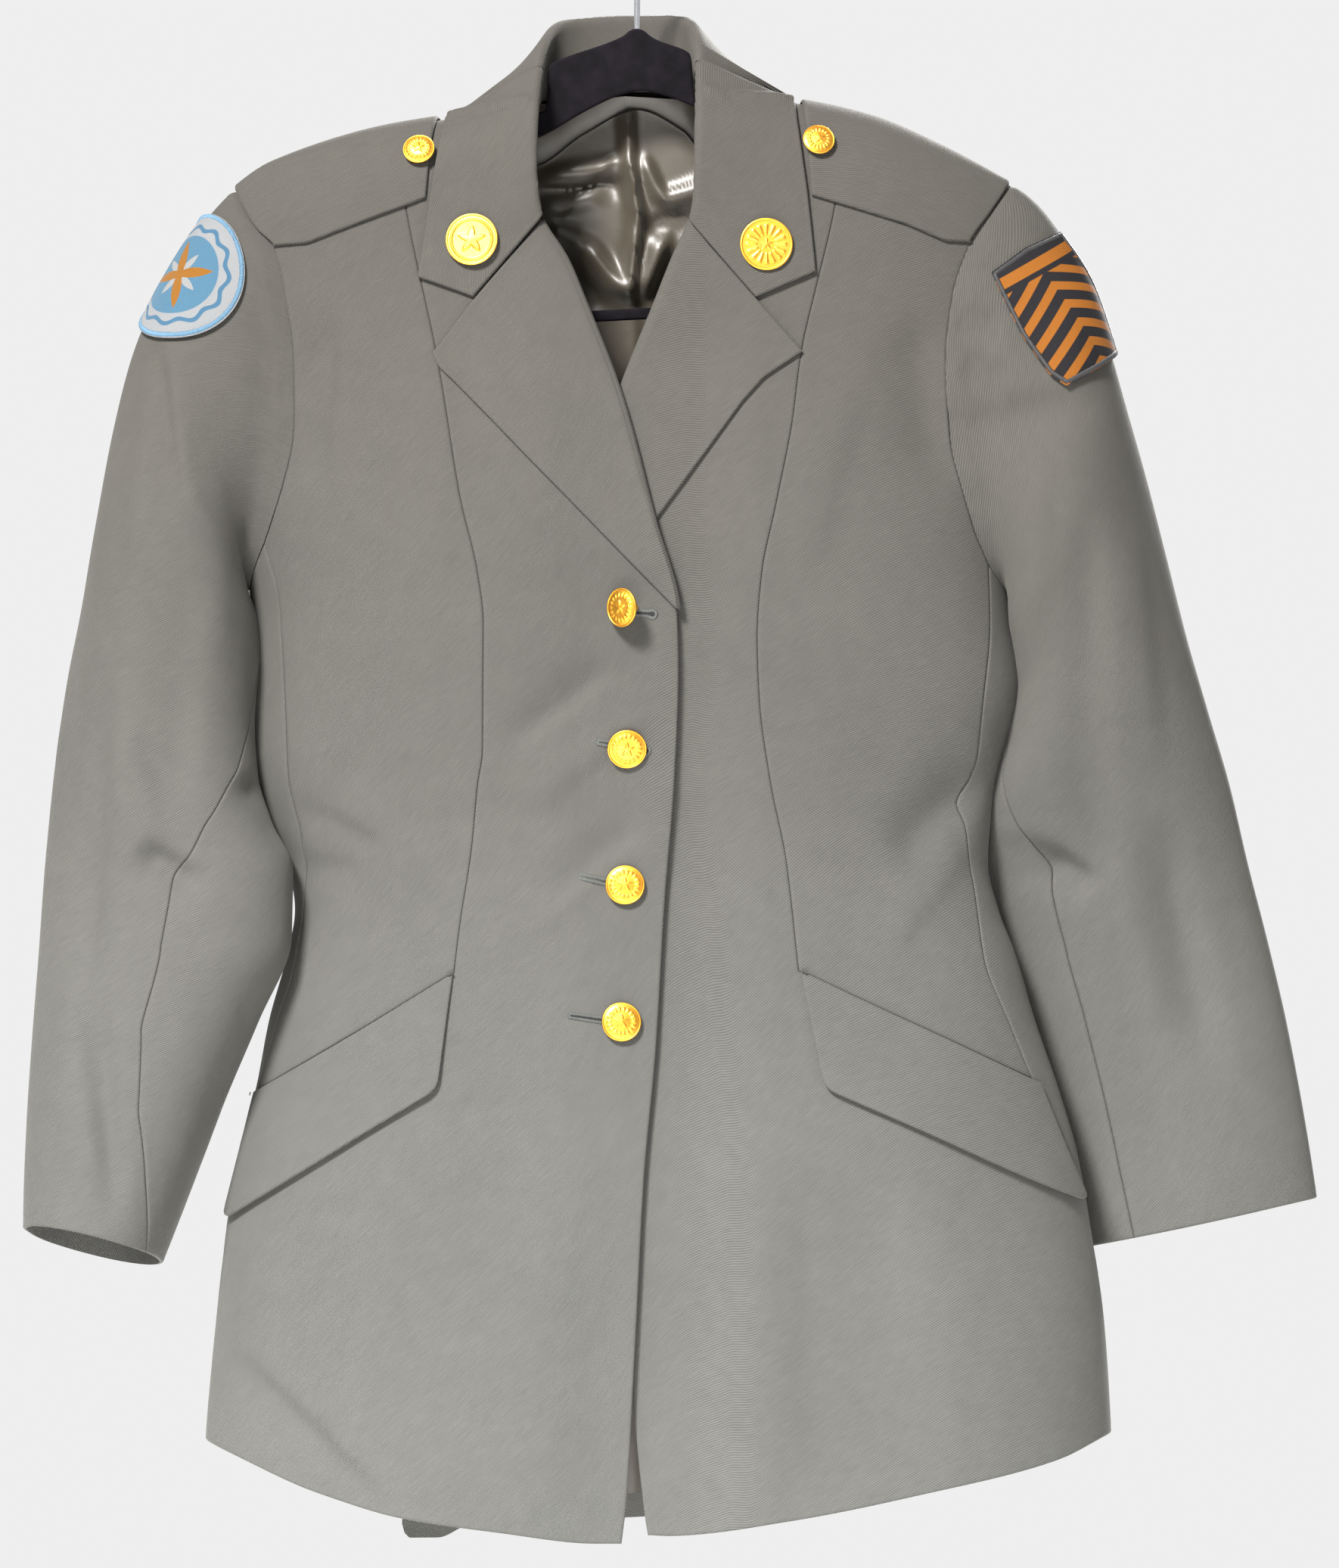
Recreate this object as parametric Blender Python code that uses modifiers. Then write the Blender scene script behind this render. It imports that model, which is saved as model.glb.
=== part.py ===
"""A single breasted service coat on a slim hanger, in metres, its front towards -Y.

Left and right are the wearer's. The origin is the inside of the top of the hook. Tables are in
millimetres: across is X, height is Z, depth is Y, and a face is 1 on the front and -1 on the back.
"""
import math

import bmesh
import bpy
import numpy as np
from mathutils import Matrix, Vector
from mathutils.bvhtree import BVHTree

MM = 0.001
COLLECTION = "military_blazer"

CLOTH = 1.6
LINING = 1.0
SEAM_GAP = 0.3
LAYER_GAP = 0.9
CROWN = 32.0
SIDE_FULLNESS = 0.25
UNDERLAP = 5.2
FOLD_FADE = 0.4

SHOULDER_ROWS = 11
CHEST_ROWS = 8
SKIRT_ROWS = 8
FRONT_COLUMNS = 6
SIDE_FRONT_COLUMNS = 6
SIDE_COLUMNS = 7
NECK_COLUMNS = 3

BACK_NECK = (-6.2, -106.4)
ARMPIT_DIP = 17.0
LEFT_COVER = (24.0, 61.0, -196.0, -240.0)

SLEEVE_HEAD = 4.0
SLEEVE_ROWS = 19
TOP_SLEEVE_COLUMNS = 11
UNDER_SLEEVE_COLUMNS = 8

LAPEL_ROWS = 12
LAPEL_COLUMNS = 6
LAPEL_SPRING = 1.4
ROLL_OVERHANG = 2.0
ROLL_EDGE_LIFT = 0.6

COLLAR_LIFT = 1.6
COLLAR_FOLD = 2.2
COLLAR_ROOM = 0.8
COLLAR_FOOT_GAP = 2.2

FLAP_THICKNESS = 1.8
FLAP_ROOM = 0.5
FLAP_COLUMNS = 11
FLAP_ROWS = 5
LOOP_COLUMNS = 9
LOOP_ROWS = 8
LOOP_BACK = -8.0
LOOP_MARGIN = 1.2

BUTTON_STEPS = 18
BUTTON_PROFILE = ((0.0, 3.6), (0.5, 3.2), (0.84, 2.1), (0.92, 2.3), (1.0, 1.6), (0.93, 0.5), (0.86, 0.0))
SHANK_RADIUS = 1.8
DISC_STEPS = 22
DISC_PROFILE = ((0.0, 1.5), (11.4, 1.5), (11.9, 1.9), (12.7, 1.2), (12.4, 0.0), (0.0, 0.0))
DISC_GAP = 0.5

BADGE_THICKNESS = 1.4
BADGE_ROOM = 0.5
BADGE_SPOKES = 20
BADGE_RINGS = (0.34, 0.67, 1.0)
WALK_STEPS = 3
ROUND_BADGE_RADIUS = 34.0
SHIELD = [(-24.0, 31.0), (24.0, 31.0), (24.0, -14.0), (13.0, -28.0), (0.0, -34.0), (-13.0, -28.0), (-24.0, -14.0)]

HANGER_HALF_THICKNESS = 2.6
HOOK_RADIUS = 20.0
HOOK_WIRE = 1.5
HOOK_STEM = ((0.0, -75.4), (0.0, -57.0), (1.0, -51.5), (3.8, -46.5), (8.0, -42.4))
HOOK_START = -48.0
HOOK_END = 196.0
HOOK_POINTS = 16

# Colour, metallic and roughness of each kind of part, by the first words of its name.
FINISHES = {
    "front_button shoulder_button collar_disc": ((0.83, 0.55, 0.15), 1.0, 0.3),
    "hanger_body": ((0.025, 0.02, 0.025), 0.0, 0.9),
    "hanger_hook": ((0.6, 0.6, 0.62), 1.0, 0.25),
    "back_lining": ((0.06, 0.055, 0.035), 0.0, 0.35),
    "round_badge": ((0.2, 0.42, 0.62), 0.0, 0.8),
    "shield_badge": ((0.3, 0.22, 0.05), 0.0, 0.8),
    "front side back top_sleeve under_sleeve collar lapel pocket_flap shoulder_loop":
        ((0.11, 0.105, 0.085), 0.0, 0.85),
}

LINING_TURN = 0.6
LINING_COLUMNS = 15
LINING_ROWS = 13
NECK_TURN = 0.2
NECK_DEPTH = 53.0
SHOULDER_DEPTH = 58.0
LINING_SHORT = 12.0
LINING_GAP = 2.2
LINING_PLEAT = 1.6
LINING_WAVE = 0.9

# Body outline as it hangs, a row for each level.
# Columns: height, right side, left side, front depth, back depth.
BODY_RINGS = (
    (-83.8, -197.8, 185.4, 21.0, 27.0),
    (-154.6, -197.8, 185.4, 30.0, 32.0),
    (-224.6, -195.6, 183.2, 44.0, 40.0),
    (-280.9, -193.4, 181.0, 55.0, 45.0),
    (-334.2, -189.1, 179.6, 60.0, 48.0),
    (-361.2, -185.4, 181.8, 60.0, 47.0),
    (-392.2, -186.2, 186.2, 57.0, 46.0),
    (-421.4, -186.9, 178.1, 54.0, 44.0),
    (-440.0, -184.0, 173.0, 52.0, 43.0),
    (-459.0, -177.4, 170.5, 50.0, 42.0),
    (-478.0, -169.0, 169.4, 50.0, 42.0),
    (-500.6, -165.0, 174.5, 52.0, 43.0),
    (-521.4, -168.6, 182.5, 54.0, 45.0),
    (-553.5, -177.4, 192.0, 58.0, 48.0),
    (-587.5, -184.0, 203.7, 62.0, 52.0),
    (-617.8, -192.4, 212.4, 66.0, 55.0),
    (-652.1, -197.8, 218.6, 69.0, 58.0),
    (-701.0, -203.3, 225.6, 72.0, 60.0),
    (-753.9, -208.0, 228.9, 74.0, 62.0),
    (-813.8, -211.0, 230.7, 75.0, 62.0),
)
# Top line of the shoulders and, inside the neck, the line they would meet on.
# Columns: across, height.
SHOULDER_LINE = (
    (-223.4, -187.8),
    (-201.5, -162.2),
    (-193.8, -154.6),
    (-174.8, -141.4),
    (-125.9, -125.4),
    (-89.8, -119.2),
    (-66.4, -115.2),
    (-47.4, -111.5),
    (-26.3, -96.9),
    (0.0, -84.5),
    (23.0, -95.4),
    (35.0, -108.6),
    (74.8, -111.5),
    (108.8, -118.4),
    (146.7, -133.8),
    (180.7, -152.0),
    (197.5, -164.1),
    (221.9, -187.8),
)
# Neck, roll line and front edge of the right front.
# Columns: height, across.
RIGHT_FRONT_EDGE = (
    (-111.5, -47.4),
    (-127.6, -49.6),
    (-149.5, -51.1),
    (-169.2, -46.4),
    (-190.0, -34.3),
    (-211.1, -25.2),
    (-256.8, -7.7),
    (-311.9, 7.3),
    (-356.8, 19.3),
    (-383.4, 20.1),
    (-440.0, 17.9),
    (-496.9, 13.5),
    (-564.8, 9.5),
    (-629.1, 3.6),
    (-705.0, -0.4),
    (-780.5, -4.7),
    (-802.1, -7.3),
)
# Neck, roll line and front edge of the left front, which lies under the right.
# Columns: height, across.
LEFT_FRONT_EDGE = (
    (-108.6, 35.0),
    (-127.6, 32.1),
    (-149.5, 30.7),
    (-170.3, 26.6),
    (-187.1, 19.3),
    (-205.7, 11.7),
    (-256.8, -9.1),
    (-295.5, -17.2),
    (-356.8, -27.0),
    (-383.4, -27.0),
    (-440.0, -26.3),
    (-496.9, -24.5),
    (-553.9, -20.4),
    (-591.1, -15.3),
    (-664.1, -7.3),
    (-738.2, -1.5),
    (-791.9, 4.0),
    (-798.4, 5.1),
)
# Seam from the right shoulder to the pocket line.
# Columns: height, across.
RIGHT_PRINCESS = (
    (-123.2, -115.7),
    (-145.8, -113.5),
    (-165.5, -110.6),
    (-206.8, -102.2),
    (-245.1, -93.8),
    (-303.1, -84.3),
    (-339.3, -75.9),
    (-363.4, -73.0),
    (-423.6, -73.4),
    (-440.0, -75.9),
    (-471.4, -79.2),
    (-505.0, -84.3),
    (-530.5, -87.2),
)
# Seam from the left shoulder to the pocket line.
# Columns: height, across.
LEFT_PRINCESS = (
    (-116.6, 100.7),
    (-138.5, 98.2),
    (-160.8, 94.9),
    (-201.7, 85.8),
    (-230.9, 79.6),
    (-267.0, 74.8),
    (-303.1, 67.5),
    (-339.3, 60.2),
    (-370.7, 58.0),
    (-399.5, 58.8),
    (-440.0, 63.9),
    (-476.1, 71.2),
    (-529.4, 77.7),
)
# Seam from the right armhole to the pocket line.
# Columns: height, across.
RIGHT_SIDE_SEAM = (
    (-324.7, -180.7),
    (-351.3, -173.0),
    (-399.5, -169.4),
    (-438.2, -167.5),
    (-454.6, -163.9),
    (-466.6, -161.3),
    (-488.2, -159.9),
    (-524.3, -163.9),
    (-555.7, -173.7),
    (-587.1, -182.5),
)
# Seam from the left armhole to the pocket line.
# Columns: height, across.
LEFT_SIDE_SEAM = (
    (-334.5, 168.3),
    (-363.4, 169.0),
    (-399.5, 166.4),
    (-438.2, 162.8),
    (-452.0, 158.8),
    (-471.4, 159.1),
    (-488.2, 161.7),
    (-524.3, 166.4),
    (-555.7, 179.6),
    (-582.0, 191.3),
)
# Seam from the right armhole to the hem at the back.
# Columns: height, across.
RIGHT_BACK_SEAM = (
    (-313.7, -175.2),
    (-363.4, -166.8),
    (-423.6, -154.0),
    (-478.0, -146.7),
    (-536.4, -142.3),
    (-645.9, -128.5),
    (-802.8, -113.5),
)
# Seam from the left armhole to the hem at the back.
# Columns: height, across.
LEFT_BACK_SEAM = (
    (-317.4, 167.2),
    (-363.4, 163.5),
    (-423.6, 153.3),
    (-478.0, 147.1),
    (-536.4, 143.4),
    (-645.9, 132.5),
    (-802.8, 117.9),
)
# Right armhole seam.
# Columns: height, across on the front, across on the back.
RIGHT_ARMHOLE = (
    (-154.6, -193.8, -193.8),
    (-162.2, -188.7, -189.8),
    (-171.4, -182.5, -186.2),
    (-183.0, -173.7, -181.4),
    (-204.2, -168.6, -176.7),
    (-224.6, -166.8, -174.5),
    (-258.6, -167.5, -173.7),
    (-296.2, -171.9, -174.5),
    (-313.7, -177.0, -175.2),
    (-324.7, -180.7, -178.8),
)
# Left armhole seam.
# Columns: height, across on the front, across on the back.
LEFT_ARMHOLE = (
    (-152.0, 180.7, 180.7),
    (-162.2, 173.0, 175.2),
    (-179.0, 162.4, 168.6),
    (-205.7, 152.9, 163.5),
    (-231.9, 150.0, 161.3),
    (-273.6, 152.2, 162.8),
    (-317.4, 161.3, 167.2),
    (-334.5, 168.3, 170.8),
)
# Hem of the fronts and of the sides.
# Columns: across, height.
FRONT_HEM = (
    (-234.3, -748.1),
    (-207.0, -756.5),
    (-156.2, -778.7),
    (-114.6, -790.0),
    (-65.3, -797.0),
    (-19.0, -802.1),
    (-7.3, -802.1),
    (5.1, -798.4),
    (14.2, -798.8),
    (70.8, -791.9),
    (146.7, -776.9),
    (203.3, -763.4),
    (228.9, -752.8),
    (254.8, -744.4),
)
# Hem of the back.
# Columns: across, height.
BACK_HEM = (
    (-234.3, -748.1),
    (-207.0, -756.5),
    (-156.2, -777.3),
    (-117.5, -792.4),
    (-112.4, -806.8),
    (-97.5, -806.8),
    (-81.0, -800.2),
    (0.0, -797.0),
    (60.0, -793.0),
    (117.9, -786.0),
    (203.3, -761.8),
    (228.9, -751.7),
    (254.8, -744.4),
)
# Soft folds of the body, a trough where the height is negative.
# Columns: face, start across, start height, end across, end height, half width, height.
BODY_FOLDS = (
    (1, -15.3, -385.2, -59.1, -418.8, 7.0, -1.6),
    (1, -1.5, -459.7, -44.5, -496.9, 7.0, -1.6),
    (1, 165.7, -436.4, 129.2, -476.5, 11.0, -3.0),
    (1, -201.5, -713.4, -123.0, -788.9, 12.0, -2.6),
    (1, -150.4, -215.2, -159.9, -295.5, 14.0, -2.2),
    (1, 136.1, -218.8, 145.3, -295.5, 13.0, -2.0),
    (1, -44.5, -645.9, -51.8, -788.2, 30.0, 1.8),
    (1, 105.1, -631.3, 127.0, -784.6, 32.0, -2.0),
    (1, -135.8, -441.5, -102.9, -492.6, 14.0, 1.6),
    (-1, -88.3, -171.4, -73.7, -295.5, 16.0, -2.4),
    (-1, 86.9, -175.0, 70.4, -302.8, 16.0, -2.2),
    (-1, -51.8, -492.6, -102.9, -609.4, 18.0, 2.2),
    (-1, 57.7, -485.3, 97.8, -602.1, 20.0, -2.0),
    (-1, -132.1, -437.8, -70.1, -474.3, 11.0, -2.2),
    (-1, 127.0, -434.2, 79.6, -467.0, 12.0, -2.0),
    (-1, -81.0, -631.3, -88.3, -788.2, 24.0, -2.6),
    (-1, 75.9, -645.9, 90.5, -784.6, 24.0, 2.4),
)
# Right sleeve from the armhole to the cuff, a row for each section.
# Columns: outer across, outer height, inner across, inner height, centre depth, half depth, front seam, back seam, twist.
RIGHT_SLEEVE = (
    (-193.8, -154.6, -196.7, -342.9, 0.0, 30.0, 178, 290, 0.0),
    (-201.5, -162.2, -196.0, -345.8, 0.0, 32.0, 178, 290, 0.0),
    (-219.7, -184.1, -193.4, -349.5, 0.0, 37.0, 178, 290, 0.0),
    (-234.3, -209.7, -191.3, -353.1, 0.0, 42.0, 178, 290, 0.0),
    (-244.5, -237.1, -189.8, -358.2, -1.0, 46.0, 178, 290, 0.0),
    (-252.6, -269.9, -189.1, -365.5, -2.0, 48.0, 178, 291, 0.0),
    (-260.6, -313.7, -189.8, -377.9, -3.0, 50.0, 176, 292, 0.0),
    (-267.9, -356.8, -192.7, -394.0, -4.0, 50.0, 172, 293, 0.0),
    (-274.5, -390.4, -194.2, -412.3, -5.0, 49.0, 164, 294, 0.0),
    (-279.6, -425.0, -192.7, -434.9, -7.0, 48.0, 146, 295, 0.0),
    (-283.2, -459.7, -185.4, -459.0, -10.0, 46.0, 118, 296, 0.0),
    (-285.4, -485.3, -175.2, -482.3, -12.0, 45.0, 97, 296, 0.0),
    (-287.6, -518.1, -175.2, -514.5, -14.0, 45.0, 92, 296, 0.0),
    (-290.5, -557.5, -186.9, -554.6, -16.0, 44.0, 91, 296, 0.0),
    (-293.1, -598.4, -201.1, -597.0, -19.0, 43.0, 101, 296, 1.0),
    (-294.6, -631.3, -216.1, -635.6, -22.0, 42.0, 122, 296, 2.5),
    (-294.9, -647.3, -227.8, -663.4, -24.0, 41.0, 143, 296, 4.0),
)
# Left sleeve from the armhole to the cuff, a row for each section.
# Columns: outer across, outer height, inner across, inner height, centre depth, half depth, front seam, back seam, twist.
LEFT_SLEEVE = (
    (180.7, -152.0, 183.6, -350.2, 0.0, 30.0, 178, 290, 0.0),
    (189.8, -157.5, 184.0, -353.1, 0.0, 32.0, 178, 290, 0.0),
    (203.7, -172.1, 184.0, -356.1, 0.0, 36.0, 178, 290, 0.0),
    (216.1, -194.0, 184.0, -359.7, 0.0, 40.0, 178, 290, 0.0),
    (225.6, -222.5, 184.3, -365.5, 1.0, 43.0, 178, 290, 0.0),
    (235.1, -255.3, 186.2, -372.8, 2.0, 44.0, 177, 291, 0.0),
    (245.6, -291.8, 189.1, -383.1, 4.0, 43.0, 176, 292, 0.0),
    (255.5, -330.1, 192.7, -394.7, 6.0, 41.0, 174, 293, 0.0),
    (265.7, -370.3, 194.2, -414.1, 9.0, 38.0, 170, 294, 0.0),
    (275.9, -405.0, 189.8, -437.8, 13.0, 34.0, 160, 295, 0.0),
    (286.5, -440.0, 181.8, -459.7, 18.0, 31.0, 142, 296, 0.0),
    (295.6, -478.0, 174.5, -481.6, 23.0, 29.0, 125, 296, 0.0),
    (305.5, -515.9, 177.0, -518.1, 28.0, 27.0, 121, 296, 0.0),
    (313.9, -551.0, 185.4, -554.6, 31.0, 26.0, 121, 296, 0.0),
    (320.5, -583.8, 194.5, -591.1, 34.0, 25.0, 121, 296, 0.0),
    (326.3, -616.7, 203.7, -631.3, 36.0, 24.0, 121, 296, 0.0),
    (330.0, -640.8, 211.0, -665.9, 37.0, 24.0, 120, 296, 0.0),
)
# Soft folds of the sleeves.
# Columns: face, start across, start height, end across, end height, half width, height.
SLEEVE_FOLDS = (
    (1, -235.1, -228.3, -224.1, -303.1, 9.0, -2.6),
    (1, -259.9, -390.4, -267.2, -532.7, 13.0, -3.0),
    (1, -272.3, -532.7, -259.1, -631.3, 9.0, 2.2),
    (1, -238.0, -470.7, -212.4, -488.9, 8.0, -2.8),
    (1, -197.8, -437.8, -171.5, -459.7, 7.0, -2.2),
    (1, 153.3, -217.0, 174.5, -221.0, 6.0, -2.0),
    (1, 154.8, -239.2, 178.1, -244.4, 6.0, -2.0),
    (1, 148.9, -266.3, 218.3, -257.5, 9.0, -2.2),
    (1, 198.2, -470.7, 220.1, -489.6, 8.0, -3.0),
    (1, 214.6, -317.4, 226.3, -499.9, 13.0, -2.6),
    (1, 254.8, -463.4, 278.1, -572.9, 12.0, -2.6),
    (-1, -245.3, -288.2, -256.2, -426.9, 13.0, -2.4),
    (-1, -252.6, -470.7, -216.1, -499.9, 9.0, -2.6),
    (-1, 247.5, -295.5, 262.1, -426.9, 13.0, -2.6),
    (-1, 218.3, -478.0, 269.4, -507.2, 10.0, -2.6),
    (-1, 276.7, -518.1, 291.3, -609.4, 12.0, 2.2),
)
# Collar round the neck from the right gorge to the left, a row for each section.
# Columns: seam face, seam across, seam height, fold across, fold depth, fold height, edge face, edge across, edge height.
COLLAR_ROWS = (
    (1, -47.9, -166.9, -45.6, -36.5, -167.2, 1, -78.8, -206.9),
    (1, -50.4, -154.6, -47.4, -36.0, -157.5, 1, -105.5, -197.3),
    (1, -50.7, -138.5, -48.5, -34.0, -144.0, 1, -99.3, -157.1),
    (1, -49.3, -125.7, -48.2, -29.0, -126.8, 1, -94.9, -133.8),
    (1, -47.8, -115.9, -47.1, -17.0, -104.9, 1, -91.6, -122.4),
    (-1, -46.4, -112.2, -45.3, -3.0, -88.1, -1, -86.6, -119.4),
    (-1, -41.6, -110.8, -42.0, 12.0, -77.2, -1, -73.7, -123.9),
    (-1, -34.3, -108.9, -36.5, 24.0, -71.3, -1, -55.5, -123.2),
    (-1, -20.4, -107.5, -22.6, 33.0, -68.8, -1, -29.9, -119.5),
    (-1, -2.6, -106.4, -5.1, 36.0, -67.7, -1, -2.6, -117.3),
    (-1, 16.1, -106.8, 13.9, 33.0, -67.7, -1, 26.6, -118.1),
    (-1, 25.6, -107.5, 24.1, 24.0, -69.9, -1, 52.2, -119.5),
    (-1, 31.0, -108.2, 27.7, 12.0, -75.0, -1, 67.2, -117.3),
    (-1, 34.3, -108.9, 28.8, -3.0, -84.5, -1, 74.1, -111.6),
    (1, 33.9, -115.9, 28.8, -17.0, -103.5, 1, 75.8, -115.4),
    (1, 32.9, -125.7, 28.5, -29.0, -123.9, 1, 77.7, -129.0),
    (1, 31.8, -138.5, 28.1, -34.0, -144.0, 1, 81.0, -153.8),
    (1, 30.7, -154.6, 27.7, -36.0, -157.5, 1, 85.4, -194.7),
    (1, 27.7, -168.4, 25.6, -36.5, -169.2, 1, 56.9, -207.1),
)
# Gorge and notch of the right lapel.
# Columns: across, height.
RIGHT_LAPEL_TOP = (
    (-46.7, -170.3),
    (-80.3, -209.7),
    (-98.2, -234.1),
)
# Free edge of the right lapel.
# Columns: across, height.
RIGHT_LAPEL_EDGE = (
    (-98.2, -234.1),
    (-94.9, -240.7),
    (-68.3, -267.0),
    (-18.6, -318.1),
    (18.6, -356.1),
)
# Gorge and notch of the left lapel.
# Columns: across, height.
LEFT_LAPEL_TOP = (
    (27.4, -171.0),
    (58.8, -208.6),
    (79.9, -233.0),
)
# Free edge of the left lapel.
# Columns: across, height.
LEFT_LAPEL_EDGE = (
    (79.9, -233.0),
    (61.3, -245.5),
    (50.4, -257.5),
    (10.2, -311.9),
    (-24.1, -356.1),
)
# Lower edge of the right shoulder loop.
# Columns: across, height.
RIGHT_LOOP = (
    (-173.7, -181.6),
    (-157.7, -180.5),
    (-138.3, -172.8),
    (-103.0, -159.4),
    (-101.5, -158.8),
)
# Lower edge of the left shoulder loop.
# Columns: across, height.
LEFT_LOOP = (
    (162.1, -179.8),
    (148.9, -179.4),
    (129.2, -171.4),
    (84.0, -157.9),
    (83.2, -157.5),
)
# Upper outline of the hanger from the right end to the left end.
# Columns: across, height.
HANGER_TOP = (
    (-184.7, -171.4),
    (-184.0, -157.5),
    (-178.8, -148.7),
    (-168.6, -144.3),
    (-125.9, -129.0),
    (-89.8, -122.8),
    (-66.4, -119.2),
    (-46.0, -116.6),
    (-43.1, -113.0),
    (-43.1, -94.7),
    (-40.1, -91.1),
    (-8.0, -80.8),
    (-2.9, -75.7),
    (2.9, -75.7),
    (8.0, -80.8),
    (24.1, -86.0),
    (26.6, -89.6),
    (27.4, -109.3),
    (29.9, -114.1),
    (74.8, -115.5),
    (108.8, -122.4),
    (146.7, -137.8),
    (163.5, -146.5),
    (171.5, -152.4),
    (175.2, -160.4),
    (175.9, -171.4),
)
# Lower outline of the shoulders of the hanger from right to left.
# Columns: across, height.
HANGER_HOLE = (
    (-178.8, -182.3),
    (-175.2, -175.7),
    (-161.3, -170.6),
    (-124.8, -157.5),
    (-88.3, -144.3),
    (-47.4, -129.4),
    (-26.3, -115.9),
    (-4.0, -105.3),
    (10.9, -106.4),
    (35.8, -116.6),
    (72.3, -134.9),
    (112.4, -152.4),
    (152.6, -168.4),
    (167.2, -175.0),
    (170.5, -182.3),
)
# Buttons.
# Columns: name, across, height, radius, stand-off, lean to the side, shank.
BUTTONS = (
    ("front_button_1", -5.8, -355.7, 9.4, 7.6, -40.0, 8.0),
    ("front_button_2", -4.7, -422.8, 9.4, 1.2, 0.0, 0.8),
    ("front_button_3", -5.5, -488.5, 9.4, 1.2, 0.0, 0.8),
    ("front_button_4", -7.3, -553.9, 9.4, 1.0, 0.0, 0.8),
    ("shoulder_button_right", -104.0, -137.4, 7.7, 3.6, 0.0, 0.8),
    ("shoulder_button_left", 86.5, -132.7, 7.7, 3.6, 0.0, 0.8),
)
# Collar discs.
# Columns: name, across, height.
DISCS = (
    ("collar_disc_right", -78.8, -179.4),
    ("collar_disc_left", 62.0, -181.6),
)
# Bottom bar of the hanger, its lower side from the left end to the right end.
# Columns: across, height.
HANGER_FOOT = (
    (175.9, -202.0),
    (173.7, -205.7),
    (167.2, -207.9),
    (10.6, -215.5),
    (-24.8, -217.4),
    (-168.6, -225.0),
    (-178.8, -223.9),
    (-183.2, -220.3),
    (-184.7, -215.2),
)
# Bottom bar of the hanger, its upper side from left to right.
# Columns: across, height.
HANGER_BAR = (
    (170.5, -197.6),
    (167.9, -201.3),
    (162.8, -202.4),
    (10.6, -210.1),
    (-24.8, -211.9),
    (-167.2, -219.2),
    (-173.7, -218.8),
    (-177.4, -216.6),
    (-178.8, -212.2),
)
ROUND_BADGE = (-217.5, -195.4, 0.0)
SHIELD_BADGE = (198.6, -208.6, -0.52)
# Corners of the flaps: inner top, outer top, outer foot, inner foot.
FLAPS = {
    "right": ((-87.2, -530.5), (-183.2, -588.2), (-196.7, -650.2), (-94.5, -586.0)),
    "left": ((78.5, -529.4), (194.2, -583.8), (215.3, -641.5), (89.4, -586.0)),
}

def follow(table, at, value=1, key=0):
    """Value column of a table at a key, along a smooth curve that never overshoots its rows."""
    rows = sorted(table, key=lambda row: row[key])
    x = np.array([row[key] for row in rows], float)
    y = np.array([row[value] for row in rows], float)
    step = np.diff(x)
    slope = np.diff(y) / step
    tangent = np.concatenate(([slope[0]], np.zeros(len(x) - 2), [slope[-1]]))
    for i in range(1, len(x) - 1):
        if slope[i - 1] * slope[i] > 0:
            tangent[i] = 2 * slope[i - 1] * slope[i] / (slope[i - 1] + slope[i])
    at = np.clip(np.asarray(at, float), x[0], x[-1])
    i = np.clip(np.searchsorted(x, at) - 1, 0, len(x) - 2)
    t = (at - x[i]) / step[i]
    start = (1 + 2 * t) * (1 - t) ** 2 * y[i] + t * (1 - t) ** 2 * step[i] * tangent[i]
    return start + t * t * (3 - 2 * t) * y[i + 1] + t * t * (t - 1) * step[i] * tangent[i + 1]


def ease(value):
    """Smooth rise from 0 to 1."""
    t = np.clip(value, 0.0, 1.0)
    return t * t * (3 - 2 * t)


def fold_height(table, x, z, face):
    """Height of the soft folds of a table at points on one face."""
    total = np.zeros(np.shape(x))
    for row_face, x0, z0, x1, z1, width, height in table:
        length = math.hypot(x1 - x0, z1 - z0)
        along = ((x - x0) * (x1 - x0) + (z - z0) * (z1 - z0)) / length
        aside = ((x - x0) * (z1 - z0) - (z - z0) * (x1 - x0)) / length
        reach = ease((along + width) / (2 * width)) * ease((length + width - along) / (2 * width))
        total += np.where(face == row_face, height * reach * np.exp(-(aside / width) ** 2), 0.0)
    return total


def ring(z):
    """Centre and half width of the body at a height."""
    right = follow(BODY_RINGS, z, 1)
    left = follow(BODY_RINGS, z, 2)
    return (left + right) / 2, (left - right) / 2


def crown_height(turn):
    """Height of the line where front and back meet over a turn round the body."""
    centre, half = ring(BODY_RINGS[0][0])
    return follow(SHOULDER_LINE, centre + half * np.sin(turn))


def drop(depth):
    """Fall below the shoulder line after a way along the cloth."""
    bend = np.minimum(depth / CROWN, math.pi / 2)
    return CROWN * (1 - np.cos(bend)) + np.maximum(depth - CROWN * math.pi / 2, 0.0)


def body(turn, depth):
    """Points of the body's outside, at turns round it and ways down the cloth from the shoulder."""
    turn, depth = np.broadcast_arrays(np.asarray(turn, float), np.asarray(depth, float))
    z = crown_height(turn) - drop(depth)
    centre, half = ring(z)
    face = np.where(np.cos(turn) >= 0, 1, -1)
    reach = np.where(face > 0, follow(BODY_RINGS, z, 3), follow(BODY_RINGS, z, 4))
    bend = np.sin(np.minimum(depth / CROWN, math.pi / 2))
    x = centre + half * np.sin(turn)
    y = -reach * np.cos(turn) * (1 + SIDE_FULLNESS * np.sin(turn) ** 2) * bend
    out = fold_height(BODY_FOLDS, x, z, face) * ease(np.abs(np.cos(turn)) / FOLD_FADE)
    return np.stack((x + out * np.sin(turn), y - out * np.cos(turn), z), -1)


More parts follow.
